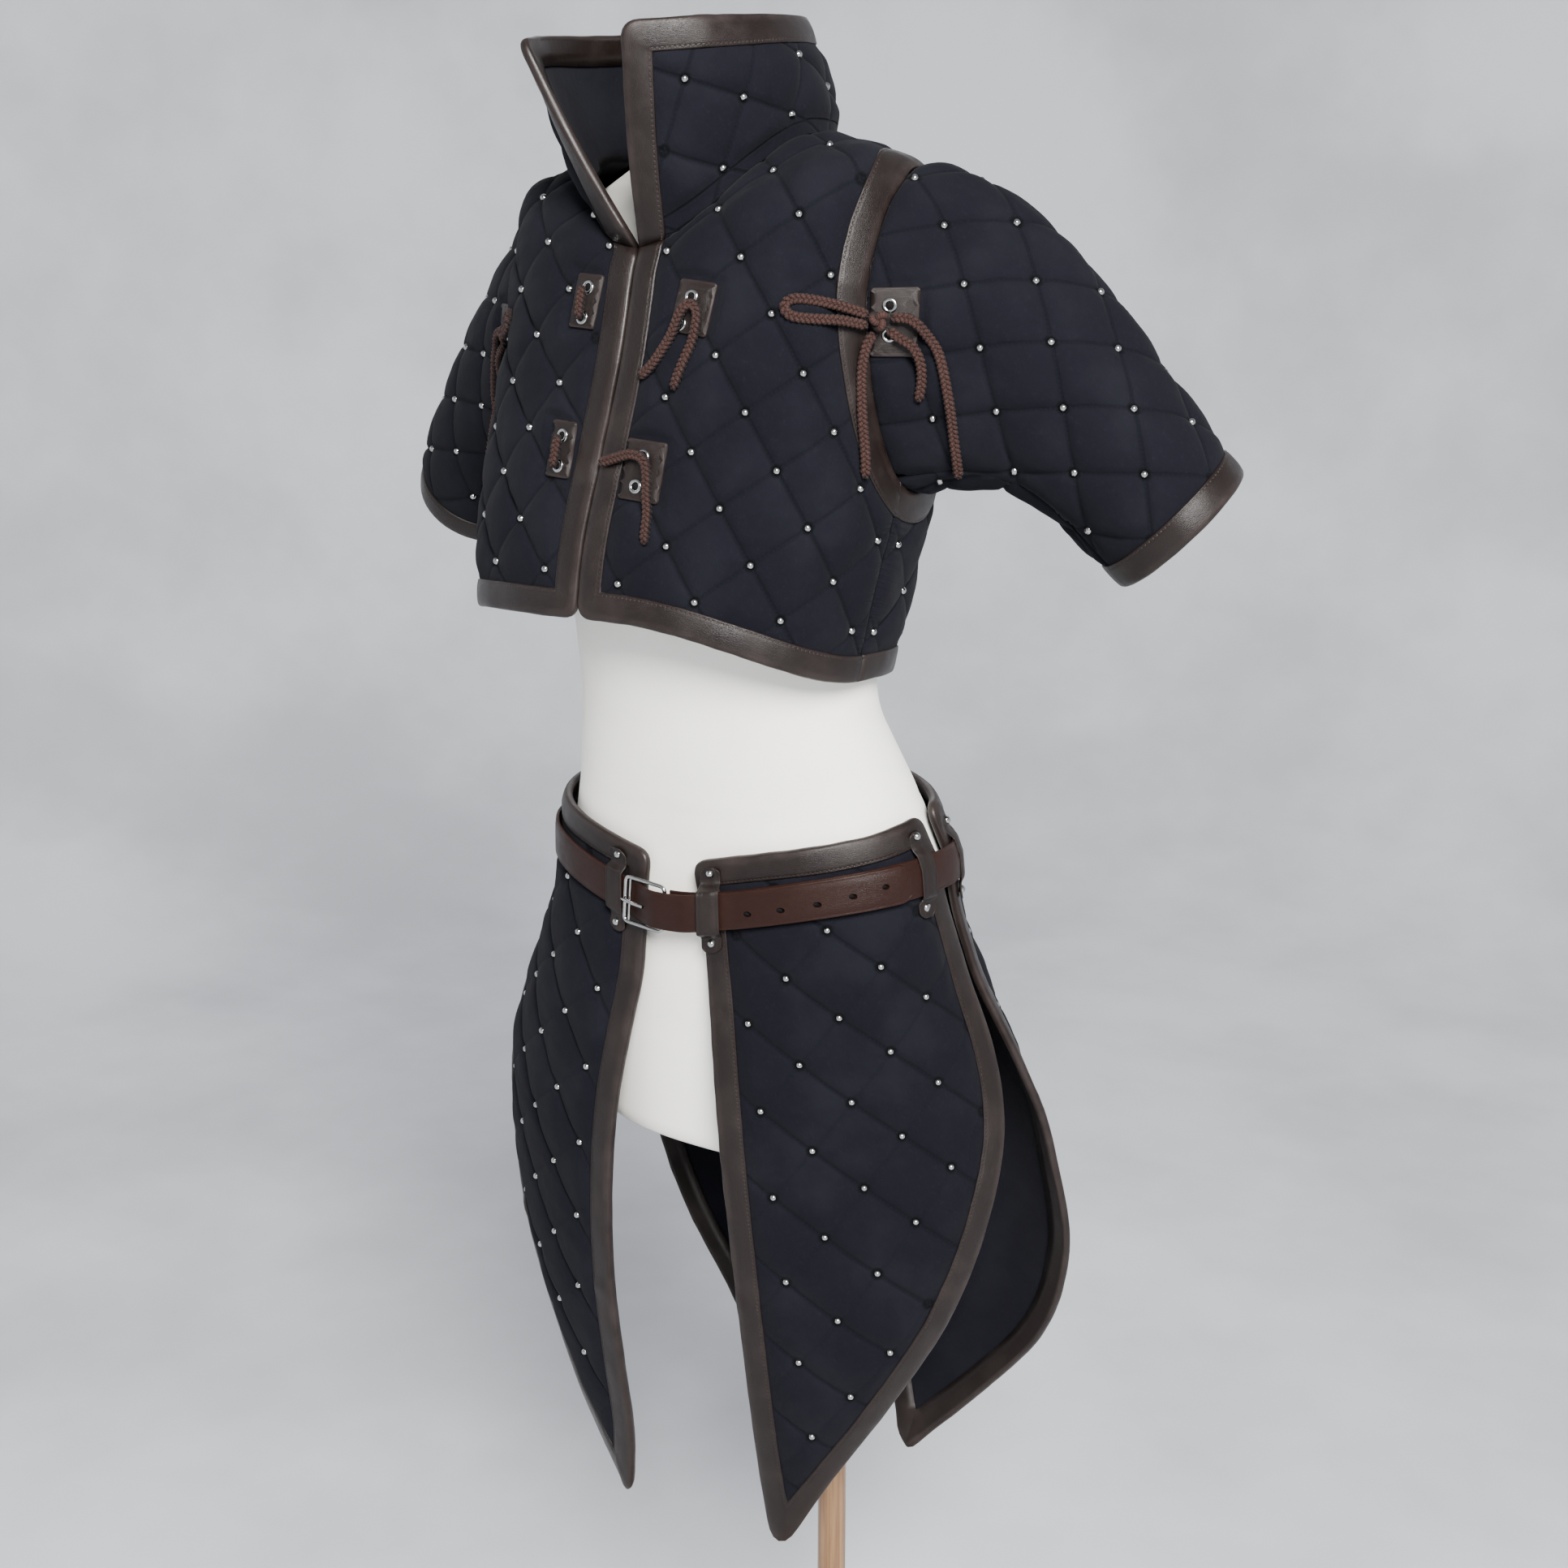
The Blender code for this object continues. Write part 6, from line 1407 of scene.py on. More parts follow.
SLEEVE_LOOKING = (-0.574, 0.819, 0.0)
KNOT_RADIUS = 0.0072
KNOT_SCALE = 0.00178  # size of the knot's curve, which reaches about 3
KNOT_STRAND = 0.0026  # radius of the lace in the knot
KNOT_MIDDLE = (-0.0110, 0.0010)
SLEEVE_TIES = {
    "loop": ((-0.0074, 0.0040), (-0.0264, 0.0095), (-0.0460, 0.0135),
             (-0.0598, 0.0140), (-0.0650, 0.0088), (-0.0600, 0.0030),
             (-0.0460, 0.0010), (-0.0264, 0.0000), (-0.0077, -0.0033)),
    "left_end": ((-0.0022, -0.0081), (-0.0075, -0.0150), (-0.0110, -0.0300),
                 (-0.0115, -0.0460), (-0.0105, -0.0680), (-0.0085, -0.0900),
                 (-0.0080, -0.1070)),
    "right_end": ((0.0081, 0.0022), (0.0215, 0.0005), (0.0330, -0.0100),
                  (0.0416, -0.0236), (0.0490, -0.0560), (0.0540, -0.0840),
                  (0.0585, -0.1080)),
    "short_end": ((0.0059, -0.0059), (0.0145, -0.0120), (0.0235, -0.0180),
                  (0.0290, -0.0290), (0.0300, -0.0420), (0.0280, -0.0545))}
LACE_CLEARANCE = 0.0008
UNDER_LACES = ("collar", "front_", "back", "sleeve_", "patch_", "binding_collar",
               "binding_front", "binding_armhole", "binding_cuff", "dress_form")
LACE_LINES = []  # the middle lines of all laces, once they are laid


def solid_tree(item):
    """A search tree of a solid's faces in the scene's place."""
    mesh = bmesh.new()
    mesh.from_mesh(item.data)
    mesh.transform(item.matrix_world)
    found = BVHTree.FromBMesh(mesh)
    mesh.free()
    return found


class View:
    """The part seen along a level direction."""

    def __init__(self, looking):
        self.ahead = unit(np.array(looking))
        self.across = np.array((self.ahead[1], -self.ahead[0], 0.0))
        self.pieces = [solid_tree(item) for name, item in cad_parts.items()
                       if name.startswith(UNDER_LACES)]

    def depth(self, sideways, height):
        """How far off the first surface is, and how square on it is seen.
        Both are not a number where there is nothing."""
        start = self.across * sideways - self.ahead + np.array((0, 0, height))
        hits = [piece.ray_cast(Vector(start), Vector(self.ahead)) for piece in self.pieces]
        hits = [hit for hit in hits if hit[0] is not None]
        if not hits:
            return math.nan, math.nan
        first = min(hits, key=lambda hit: hit[3])
        return first[3] - 1.0, abs(np.array(first[1]) @ self.ahead)

    def lay(self, middle, route, radius, mirror=1.0, fine=0.003):
        """Smooth points of a cord laid along a route on the pieces."""
        route = np.array(route) * (mirror, 1)
        reach = np.linalg.norm(np.diff(route, axis=0), axis=1).sum()
        plane = at_row(route, np.linspace(0, 1, int(reach / fine) + 2))
        sideways = middle @ self.across + plane[:, 0]
        heights = middle[2] + plane[:, 1]
        seen = np.array([self.depth(a, z) for a, z in zip(sideways, heights)])
        depths = seen[:, 0] - (radius + LACE_CLEARANCE) / np.maximum(seen[:, 1], 0.55)
        found = ~np.isnan(depths)
        steps = np.arange(len(depths))
        depths = np.interp(steps, steps[found], depths[found])  # hangs free elsewhere
        padded = np.pad(depths, 2, mode="edge")
        nearest = np.min([padded[k:k + len(depths)] for k in range(5)], axis=0)
        padded = np.pad(nearest, 2, mode="edge")
        depths = np.mean([padded[k:k + len(depths)] for k in range(5)], axis=0)
        return (sideways[:, None] * self.across + depths[:, None] * self.ahead
                + heights[:, None] * np.array((0, 0, 1.0)))


def spot_axes(spot):
    """Middle of a patch on the flat pattern, and its two directions there."""
    u, v, turn = spot[:3]
    angle = math.radians(turn)
    across = np.array((math.cos(angle), math.sin(angle)))
    return np.array((u, v)), across, np.array((-across[1], across[0]))


def spot_middle(cloth, spot):
    place = cloth.to_place(np.array([spot[:2]]))
    return (cloth.surface(place) + cloth.normal(place) * PATCH_STAND_OFF)[0]


def along(points, step):
    """Points about a step apart along a line, and how far along each is."""
    lengths = lengths_along(points)
    places = np.linspace(0, lengths[-1], max(3, round(lengths[-1] / step) + 1))
    return between_rows(places, lengths, points), places


def tube(points, radius, sides, closed=False):
    """Points and faces of a tube, and its strip map."""
    count = len(points)
    radius = np.broadcast_to(radius, count)
    if closed:
        ahead = unit(np.roll(points, -1, axis=0) - np.roll(points, 1, axis=0))
    else:
        ahead = unit(np.gradient(points, axis=0))
    normal = unit(np.cross(ahead[0], (0.31, 0.17, 0.93)))
    rings = []
    for k in range(count):
        normal = unit(normal - ahead[k] * (normal @ ahead[k]))
        ring = circle(sides, normal, np.cross(ahead[k], normal))
        rings.append(points[k] + radius[k] * ring)
    all_points = np.vstack(rings)
    faces = grid_faces(count, sides, closed, True)
    if not closed:
        faces.append(tuple(range(sides - 1, -1, -1)))
        faces.append(tuple(range(len(all_points) - sides, len(all_points))))
    strip = np.stack([np.repeat(lengths_along(points), sides),
                      np.tile(np.arange(sides) / sides, count)], 1)
    return all_points, faces, strip


PLAIT_WIDE = 0.72  # reach of the strands to the side, in radii of the lace
PLAIT_DEEP = 0.36  # and off the cloth
PLAIT_STRAND = 0.48  # radius of a strand
PLAIT_SIDES = 7
PLAIT_PITCH = 0.0105  # one strand's way over, across and back


def plait(line, radius, facing):
    """A lace of three plaited strands along a line, flat to a direction."""
    points, far = along(line, PLAIT_PITCH / 14)
    ahead = unit(np.gradient(points, axis=0))
    facing = unit(facing - ahead * (ahead @ facing)[:, None])
    aside = np.cross(ahead, facing)
    ends = np.minimum(far, far[-1] - far)
    taper = 0.60 + 0.40 * smooth_step(0.0, 0.004, ends)
    parts, strips, crowns = [], [], []
    for strand in range(3):
        phase = 2 * math.pi * (far / PLAIT_PITCH + strand / 3)
        middle = (points + aside * (radius * PLAIT_WIDE * np.sin(phase) * taper)[:, None]
                  + facing * (radius * PLAIT_DEEP * np.sin(2 * phase) * taper)[:, None])
        made, faces, strip = tube(middle, radius * PLAIT_STRAND * taper, PLAIT_SIDES)
        parts.append((made, faces))
        strips.append(strip)
        off = made - np.repeat(points, PLAIT_SIDES, axis=0)
        # Crown: how far a point stands out off the cloth, which sets the lace's painted light
        high = (off * np.repeat(facing, PLAIT_SIDES, axis=0)).sum(1) / radius
        crowns.append(np.stack([high, 0 * high], 1))
    return join_parts(parts), {"Strip": np.vstack(strips), "Crown": np.vstack(crowns)}, points


def add_lace(node, line, facing, exit_point, declared=True):
    radius = setting("lace").radius
    shape, maps, middle = plait(line, radius, facing)
    item = add_piece("cord_" + node, shape, lace_finish(), "lace_cord", node, maps=maps)
    LACE_LINES.append(middle)
    if declared:
        reach = float(np.linalg.norm(np.diff(middle, axis=0), axis=1).sum())
        tuple(exit_point)
        [tuple(p) for p in middle]
    return item


def add_knot(side, middle, ahead):
    """The knot of a sleeve tie: a lace wound through itself."""
    t = np.linspace(0, 2 * math.pi, 72, endpoint=False)
    curve = np.stack([np.sin(t) + 2 * np.sin(2 * t), np.cos(t) - 2 * np.cos(2 * t),
                      -1.25 * np.sin(3 * t)], 1)
    up = np.array((0, 0, 1.0))
    across = np.cross(ahead, up)
    axes = np.stack([across, up, -np.asarray(ahead)])
    made, faces, strip = tube(middle + curve @ axes * KNOT_SCALE, KNOT_STRAND, 8, closed=True)
    # Crown: how far a point stands out, which sets the knot's painted light
    high = (made - middle) @ -np.asarray(ahead) / (2 * KNOT_STRAND)
    return add_piece("knot_" + side, (made, faces), lace_finish(), "lace_cord",
                     "tie_knot_" + side,
                     maps={"Strip": strip, "Crown": np.stack([high, 0 * high], 1)})


def make_laces():
    straight = View((0.0, 1.0, 0.0))
    for side in SIGNS:
        cloth = jacket_patterns()["front_" + side].cloth
        for place, spot in zip(("top", "low"), FRONT_PATCHES[side]):
            name = side + "_" + place
            middle = spot_middle(cloth, spot)
            line = straight.lay(middle, FRONT_LACES[name], setting("lace").radius)
            add_lace("lace_" + name, line, -straight.ahead, line[0],
                     declared=side == "left")
    for side, sign in SIGNS.items():
        view = View((SLEEVE_LOOKING[0] * sign,) + SLEEVE_LOOKING[1:])
        patch = spot_middle(sleeve_pattern(side).cloth, SLEEVE_PATCHES[side])
        knot = view.lay(patch, [KNOT_MIDDLE] * 2, KNOT_RADIUS, sign)[0]
        knot_item = add_knot(side, knot, view.ahead)
        for name, route in SLEEVE_TIES.items():
            line = view.lay(knot, route, setting("lace").radius, sign)
            add_lace("tie_%s_%s" % (name, side), line, -view.ahead, line[0])


# ---- quilted pieces
def patch_press(spots):
    """Cloth thickness allowed at flat points: less under a leather patch."""
    def press(flat, _places):
        allowed = np.full(len(flat), 1.0)
        for spot in spots:
            middle, across, up = spot_axes(spot)
            off = flat - middle
            beyond = np.maximum(np.abs(off @ across) - spot[3] / 2,
                                np.abs(off @ up) - spot[4] / 2)
            allowed = np.minimum(allowed, PRESSED + smooth_step(0.001, PATCH_PRESS, beyond)
                                 * 0.006)
        return allowed
    return press


def belt_press(cloth):
    """Cloth thickness allowed on a skirt panel: less under the belt."""
    def press(_flat, places):
        points = cloth.surface(places)
        turn = np.degrees(np.arctan2(points[:, 0], -points[:, 1]))
        off = np.abs(points[:, 2] - belt_height(turn))
        for loop_turn, _, _ in BELT_LOOPS.values():
            away = np.abs((turn - loop_turn + 180) % 360 - 180) * 0.003
            off = np.where((off < 0.040) & (away < 0.016),
                           np.minimum(off, 0.018 + 2 * np.maximum(away - 0.010, 0)), off)
        return PRESSED + 0.006 * smooth_step(0.018, 0.034, off)
    return press


def lace_dents(points):
    """How far the laces press the cloth down at points."""
    if not LACE_LINES:
        return np.zeros(len(points))
    tree = point_tree(np.vstack(LACE_LINES))
    far = np.array([tree.find(p)[2] for p in points])
    return np.clip(setting("lace").radius * 0.92 - far, 0.0, 0.0025)


def edge_line(pattern, names):
    """Flat lines of the named edges of a pattern."""
    for k, edge in enumerate(pattern.edges):
        line = pattern.p[[s[2] == k for s in pattern.stations]]
        if edge.name in names and len(line) > 2:
            yield line


def seam_map(pattern, flat):
    """How far flat points lie from a sewn seam, and how far up they are.
    The neck seam counts above zero and the side seams below."""
    beside = np.ones(len(flat))
    if pattern.cloth.point is collar_point:
        for line in edge_line(pattern, ("neck",)):
            beside = segment_distance(flat, line[:-1], line[1:])
    for line in edge_line(pattern, ("side", "side_left", "side_right")):
        far = segment_distance(flat, line[:-1], line[1:])
        beside = np.where(far < 0.04, np.maximum(-far, -0.04), beside)
    return np.stack([beside, flat[:, 1]], 1)


def quilted_piece(name, pattern, quilt, press, seed):
    """Closed quilted piece: a finely puffed outside over a plain inside."""
    cloth, s = pattern.cloth, setting("quilt")
    if name in TURNED_OVER:
        quilt = quilt[:6] + (quilt[7], quilt[6])
    outline = pattern.q + (pattern.p - pattern.q) * 0.5
    keep = np.linalg.norm(np.diff(outline, axis=0, append=outline[:1]), axis=1) > 2e-4
    outline = outline[keep]
    raised = lattice(outline, quilt, QUILT_STEPS)
    raised = raised[outline_distance(raised, outline) > 0.0016]
    plain = plain_grid(outline, INSIDE_SPACING)
    plain = plain[outline_distance(plain, outline) > INSIDE_SPACING * 0.4]
    outer = np.vstack([outline, raised])
    inner = np.vstack([outline, plain])

    places = cloth.to_place(outer)
    room = outline_distance(outer, pattern.q)
    puff = pillow(quilt_counts(outer, quilt), quilt)
    puff *= 0.90 + 0.16 * smooth_noise(outer, 0.075, seed)
    if name == "collar":
        puff *= smooth_step(0.010, 0.024, seam_map(pattern, outer)[:, 0])
    lift = s.stitched + (s.puffed - s.stitched) * puff * smooth_step(
        -0.001, EDGE_MARGIN, room) ** 0.5
    lift += 0.00035 * smooth_noise(outer, 0.020, seed + 1) * smooth_step(0.0, 0.012, room)
    if press is not None:
        lift = np.minimum(lift, press(outer, places))
    normal = cloth.normal(places)
    count, start = len(outline), len(outer)
    normal[:count] = unit(sum(rim_normals(pattern))[keep])
    base = cloth.surface(places)
    top = base + normal * lift[:, None]
    top -= normal * lace_dents(top)[:, None]
    top[:count] = base[:count] + normal[:count] * s.stitched
    below = cloth.surface(cloth.to_place(inner))

    faces = [tuple(f) for f in fill(outline, raised)]
    faces += [tuple(start + k for k in f[::-1]) for f in fill(outline, plain)]
    for k in range(count):
        after = (k + 1) % count
        faces.append((start + k, start + after, after, k))
    flat = np.vstack([outer, inner])
    counts = quilt_counts(flat, quilt)
    counts[start:] = 0.5                      # the inside shows no quilting
    deep = np.tile(quilt[6:8], (len(flat), 1))
    deep[start:] = 0.0
    seam = seam_map(pattern, flat)
    seam[start:, 0] = 1.0
    item = add_piece(name + "_cloth", (np.vstack([top, below]), faces), cloth_finish(),
                     "navy_cloth", name, maps={"Pattern": flat, "Quilting": counts,
                                               "Deep": deep, "Seam": seam})
    flat_size, area = pattern.size()
    add_studs(name, pattern, quilt, press)
    return item


# ---- studs
# How far across and up, in radii of the stud, from the foot in the cloth
STUD_PROFILE = ((0.9, -0.5), (1.06, 0.00), (1.10, 0.10), (1.02, 0.22), (0.93, 0.42), (0.78, 0.62),
                (0.58, 0.78), (0.34, 0.90), (0.12, 0.95))


def stud(place, normal, radius, sides=14):
    """A dome stud with a low rim, sitting on a point."""
    aside = unit(np.cross(normal, (0.12, 0.31, 0.94)))
    ring = circle(sides, aside, np.cross(normal, aside))
    rings = [place + radius * (across * ring + up * normal) for across, up in STUD_PROFILE]
    return loft(rings)


def add_studs(name, pattern, quilt, press):
    """A stud at each crossing of the quilting that is clear of an edge."""
    cloth, s = pattern.cloth, setting("quilt")
    crossings = lattice(pattern.q, quilt, 1)
    crossings = crossings[outline_distance(crossings, pattern.q) > s.stud_radius + 0.0015]
    places = cloth.to_place(crossings)
    if press is not None:
        clear = press(crossings, places) > PRESSED + 0.003
        crossings, places = crossings[clear], places[clear]
    normal = cloth.normal(places)
    points = cloth.surface(places) + normal * (s.stitched + 0.0002)
    parts = [stud(p, n, s.stud_radius) for p, n in zip(points, normal)]
    add_piece("studs_" + name, join_parts(parts), silver_finish(), "silver_metal")


# ---- bindings
FOLD_ANGLES = np.radians(np.linspace(78, -78, 7))
LEG_SHARES = (0.0, 0.035, 0.085, STITCH_SHARE, 0.145, 0.22, 0.36, 0.52, 0.68, 0.82, 0.93)
STITCH_GROOVE = 0.00042  # how deep the stitches draw the leather in
BINDING_BULGE = 0.0011  # how far it stands up between its rim and its fold
CREASE_HEIGHT = 0.00025
WAVE_HEIGHT = 0.00042
JOIN_SPACING = 0.43  # between two joins of a binding's strip
JOIN_LAP = 0.011
JOIN_HEIGHT = 0.0011


def binding_piece(node, rows, closed, seed):
    """Leather folded over an edge through its stations, sewn near its rim."""
    leather_thick, gap = setting("leather").thickness, SEAM_GAP
    stitched = setting("quilt").stitched
    p, q, n, m, e = (np.array([row[k] for row in rows]) for k in range(5))
    far = lengths_along((p + q) / 2)
    over = stitched + gap
    join = np.zeros(len(far))
    for at in np.arange(JOIN_SPACING * 0.37, far[-1] - 0.05, JOIN_SPACING):
        join += smooth_step(at, at + 0.0008, far) * (1 - smooth_step(
            at + JOIN_LAP, at + JOIN_LAP + 0.004, far))
    ends = smooth_step(0.0, 0.012, np.minimum(far, far[-1] - far))
    columns, across = [], []

    def put(points, share):
        columns.append(points)
        across.append(np.full(len(points), share))

    put(q + m * over, 0.0)
    for share in LEG_SHARES:
        ground = q + (p - q) * share
        up = unit(m + (n - m) * share)
        spots = np.stack([far, np.full(len(far), share * 0.02)], 1)
        crease = smooth_noise(spots * (1.0, 0.55), 0.0105, seed)
        wave = smooth_noise(spots * (1.0, 0.30), 0.034, seed + 1)
        body = math.sin(math.pi * min(share, 1.0)) ** 0.7
        height = leather_thick * (0.55 if share == 0.0 else 1.0)
        height = height + BINDING_BULGE * body
        height += (CREASE_HEIGHT * crease + WAVE_HEIGHT * wave) * body * ends
        height += JOIN_HEIGHT * join * min(1.0, share * 8)
        if share == STITCH_SHARE:
            height -= STITCH_GROOVE
        put(ground + up * (over + height)[:, None], share)
    half = stitched / 2 + gap + leather_thick
    reach = gap + leather_thick + BINDING_FOLD
    if "armhole" in node:
        reach += ARMHOLE_LIP
    wobble = smooth_noise(np.stack([far, 0 * far], 1), 0.022, seed + 2) * ends
    for angle in FOLD_ANGLES:
        out = reach * math.cos(angle) * (1 + 0.12 * wobble) + 0.0005 * join * math.cos(angle)
        put(p + n * (stitched / 2) + n * (half * math.sin(angle)) + e * out[:, None], 1.0)
    for share in (0.93, 0.5, 0.0):
        put(q + (p - q) * share - unit(m + (n - m) * share) * (gap + leather_thick), 1.0 - 0.4)
    put(q - m * gap, 0.5)
    put(p - n * gap + e * (gap * 0.5), 0.5)
    put(p + n * over + e * (gap * 0.5), 0.5)

    count, sides = len(rows), len(columns)
    points = np.stack(columns, 1).reshape(-1, 3)
    strip = np.stack([np.repeat(far, sides), np.stack(across, 1).ravel()], 1)
    faces = grid_faces(count, sides, closed, True)
    if not closed:
        faces.append(tuple(range(sides)))
        faces.append(tuple(range(len(points) - sides, len(points)))[::-1])
    mesh = mesh_of(points, faces)
    layer = mesh.verts.layers.float_vector.new("strip")
    for vert, flat in zip(mesh.verts, strip):
        vert[layer] = (*flat, 0.0)
    bmesh.ops.triangulate(mesh, faces=[f for f in mesh.faces if len(f.verts) > 4])
    bmesh.ops.remove_doubles(mesh, verts=mesh.verts, dist=2e-6)
    bmesh.ops.dissolve_degenerate(mesh, edges=mesh.edges, dist=1e-6)
    maps = {"Strip": [tuple(v[layer][:2]) for v in mesh.verts]}
    mesh.verts.layers.float_vector.remove(layer)
    item = link_mesh(node + "_leather", tidy_mesh(mesh), binding_finish(), maps)
    return put_on(item, "dark_leather", node)


# ---- patches
PATCH_CORNER = 0.0028
PATCH_SUNK = 0.0011  # how far its back is sunk into the quilting
# How far in from a patch's outline, and how high: a soft rim, then a groove
PATCH_RIM = ((0.0, 0.0), (0.0003, 0.72), (0.0008, 0.98), (0.0016, 1.0), (0.0026, 0.80),
             (0.0036, 1.0))
EYELET_SIDES = 28
EYELET_HOLE = 0.00285
# Radius and height round the section of an eyelet's ring
EYELET_PROFILE = ((0.0026, -0.0004), (0.0028, 0.0005), (0.0034, 0.00095), (0.0042, 0.00100),
                  (0.0050, 0.00065), (0.0054, 0.0001), (0.0052, -0.0004))


def rounded_box(width, height, radius, steps=4):
    """Outline of a rectangle with rounded corners."""
    points = []
    for x, y, start in ((1, 1, 0), (-1, 1, 90), (-1, -1, 180), (1, -1, 270)):
        for angle in np.radians(start + np.linspace(0, 90, steps + 1)):
            points.append((x * (width / 2 - radius) + radius * math.cos(angle),
                           y * (height / 2 - radius) + radius * math.sin(angle)))
    return np.array(points)


def divided(outline, steps):
    """A closed outline with steps to each of its sides."""
    return np.vstack([np.linspace(a, b, steps, endpoint=False)
                      for a, b in zip(outline, np.roll(outline, -1, axis=0))])


def add_patch(name, cloth, spot):
    """A leather patch with a grooved rim, and its two metal eyelets, each with a dark disc of
    painted shade in its hole.
    """
    middle, aside, up = spot_axes(spot)
    width, height = spot[3:]
    rims = []
    for inset, _ in PATCH_RIM:
        rim = rounded_box(width - 2 * inset, height - 2 * inset,
                          max(PATCH_CORNER - inset, 0.0007))
        rims.append(divided(rim, 4))
    outline = rims[0]
    field = plain_grid(rims[-1], 0.0021)
    field = field[outline_distance(field, rims[-1]) > 0.0009]
    rest = np.vstack(rims[1:] + [field])
    rise = np.concatenate([np.full(len(rim), high) for rim, (_, high) in zip(rims, PATCH_RIM)]
                          + [1.0 + 0.10 * smooth_noise(field, 0.012, 31)])
    local = np.vstack([outline, rest])
    places = cloth.to_place(middle + local[:, :1] * aside + local[:, 1:] * up)
    ground, normal = cloth.surface(places), cloth.normal(places)
    top = ground + normal * (PATCH_STAND_OFF + PATCH_LEATHER * rise)[:, None]
    low = ground + normal * (PATCH_STAND_OFF - PATCH_SUNK)
    count, total = len(outline), len(local)
    faces = [tuple(f) for f in fill(outline, rest)]
    faces += [tuple(total + k for k in f[::-1]) for f in faces]
    faces += [(total + k, total + (k + 1) % count, (k + 1) % count, k) for k in range(count)]
    edge = outline_distance(local, outline) / 0.010
    strip = np.stack([local[:, 1], 1.0 - np.clip(edge, 0, 1)], 1)
    add_piece(name + "_leather", (np.vstack([top, low]), faces), patch_finish(),
              "dark_leather", name, maps={"Strip": np.vstack([strip, strip])})

    key = name.replace("patch_", "")
    rings, holes = [], []
    for a, b in EYELETS[key]:
        place = cloth.to_place(np.array([middle + a * aside + b * up]))
        n = cloth.normal(place)[0]
        centre = cloth.surface(place)[0] + n * (PATCH_STAND_OFF + PATCH_LEATHER)
        one = unit(np.cross(n, (0.1, 0.2, 0.97)))
        ring = circle(EYELET_SIDES, one, np.cross(n, one))
        points = np.vstack([centre + ring * radius + n * high for radius, high in EYELET_PROFILE])
        rings.append((points, grid_faces(len(EYELET_PROFILE), EYELET_SIDES, True, True)))
        # a dark disc in each eyelet: painted shade for its hole
        holes.append(loft([centre + ring * EYELET_HOLE + n * high
                           for high in (-0.0006, 0.00012)]))
    add_piece("eyelets_" + key, join_parts(rings), silver_finish(), "silver_metal")
    add_piece("eyelet_holes_" + key, join_parts(holes), hole_shade_finish(), "dark_leather")


# ---- belt
def strap_section(half, thick, corner=0.0007):
    """Rise and depth round a strap with softened, grooved edges."""
    outer = [(-half + corner * 0.3, thick - corner), (-half + corner, thick - corner * 0.2),
             (-half + 0.0014, thick), (-half + 0.0021, thick - 0.00028),
             (-half + 0.0028, thick), (-half * 0.5, thick + 0.0001), (0.0, thick + 0.00015),
             (half * 0.5, thick + 0.0001), (half - 0.0028, thick),
             (half - 0.0021, thick - 0.00028), (half - 0.0014, thick),
             (half - corner, thick - corner * 0.2), (half - corner * 0.3, thick - corner)]
    return outer + [(half, thick * 0.5), (half - corner, 0.0), (0.0, 0.0),
                    (-half + corner, 0.0), (-half, thick * 0.5)]


def bored(item, cutters):
    """Holes cut clean through a piece."""
    cutter = link_mesh("cutter", tidy_mesh(mesh_of(*join_parts(cutters))), hole_shade_finish())
    change = item.modifiers.new("holes", "BOOLEAN")
    change.operation, change.solver, change.object = "DIFFERENCE", "EXACT", cutter
    graph = bpy.context.evaluated_depsgraph_get()
    made = bpy.data.meshes.new_from_object(item.evaluated_get(graph))
    item.modifiers.clear()
    item.data = made
    bpy.data.objects.remove(cutter, do_unlink=True)


def make_strap():
    s = setting("leather")
    half, thick = s.belt_width / 2, s.belt_thickness
    section = strap_section(half, thick)
    rings, strips = [], []
    for turn in np.arange(BELT_START, BELT_END + 0.01, 1.25):
        # the free end is cut to a blunt round point
        left = math.radians(BELT_END - turn) * HIP_RADIUS / BELT_POINT
        shrink = 1.0 if left > 1 else math.sqrt(max(1 - (1 - left) ** 2, 0.12))
        out = belt_out(turn)
        rings.append([on_belt(turn, rise * shrink, out + depth) for rise, depth in section])
        strips += [(math.radians(turn) * HIP_RADIUS, abs(rise) / half) for rise, _ in section]
    item = add_piece("belt_leather_strap", loft(rings), belt_finish(), "belt_leather",
                     "belt_strap", maps={"Strip": strips})
    cutters, dark = [], []
    for turn, rise in BELT_HOLES:
        here = 360.0 + turn
        out = belt_out(here)
        low, high = (on_belt(here, rise, out + d) for d in (thick * 0.35, thick + 0.002))
        axis = unit(high - low)
        one = unit(np.cross(axis, (0, 0, 1.0)))
        hole = circle(20, one * BELT_HOLE_HALF[0], np.cross(axis, one) * BELT_HOLE_HALF[1])
        cutters.append(loft([low + hole, high + hole]))
        # a dark disc in each hole: painted shade for what is seen through it
        dark.append(loft([low + hole * 1.04 + axis * d for d in (-0.0002, 0.00012)]))
    bored(item, cutters)
    item.data.set_sharp_from_angle(angle=math.radians(50))
    add_piece("belt_hole_shades", join_parts(dark), hole_shade_finish(), "belt_leather")


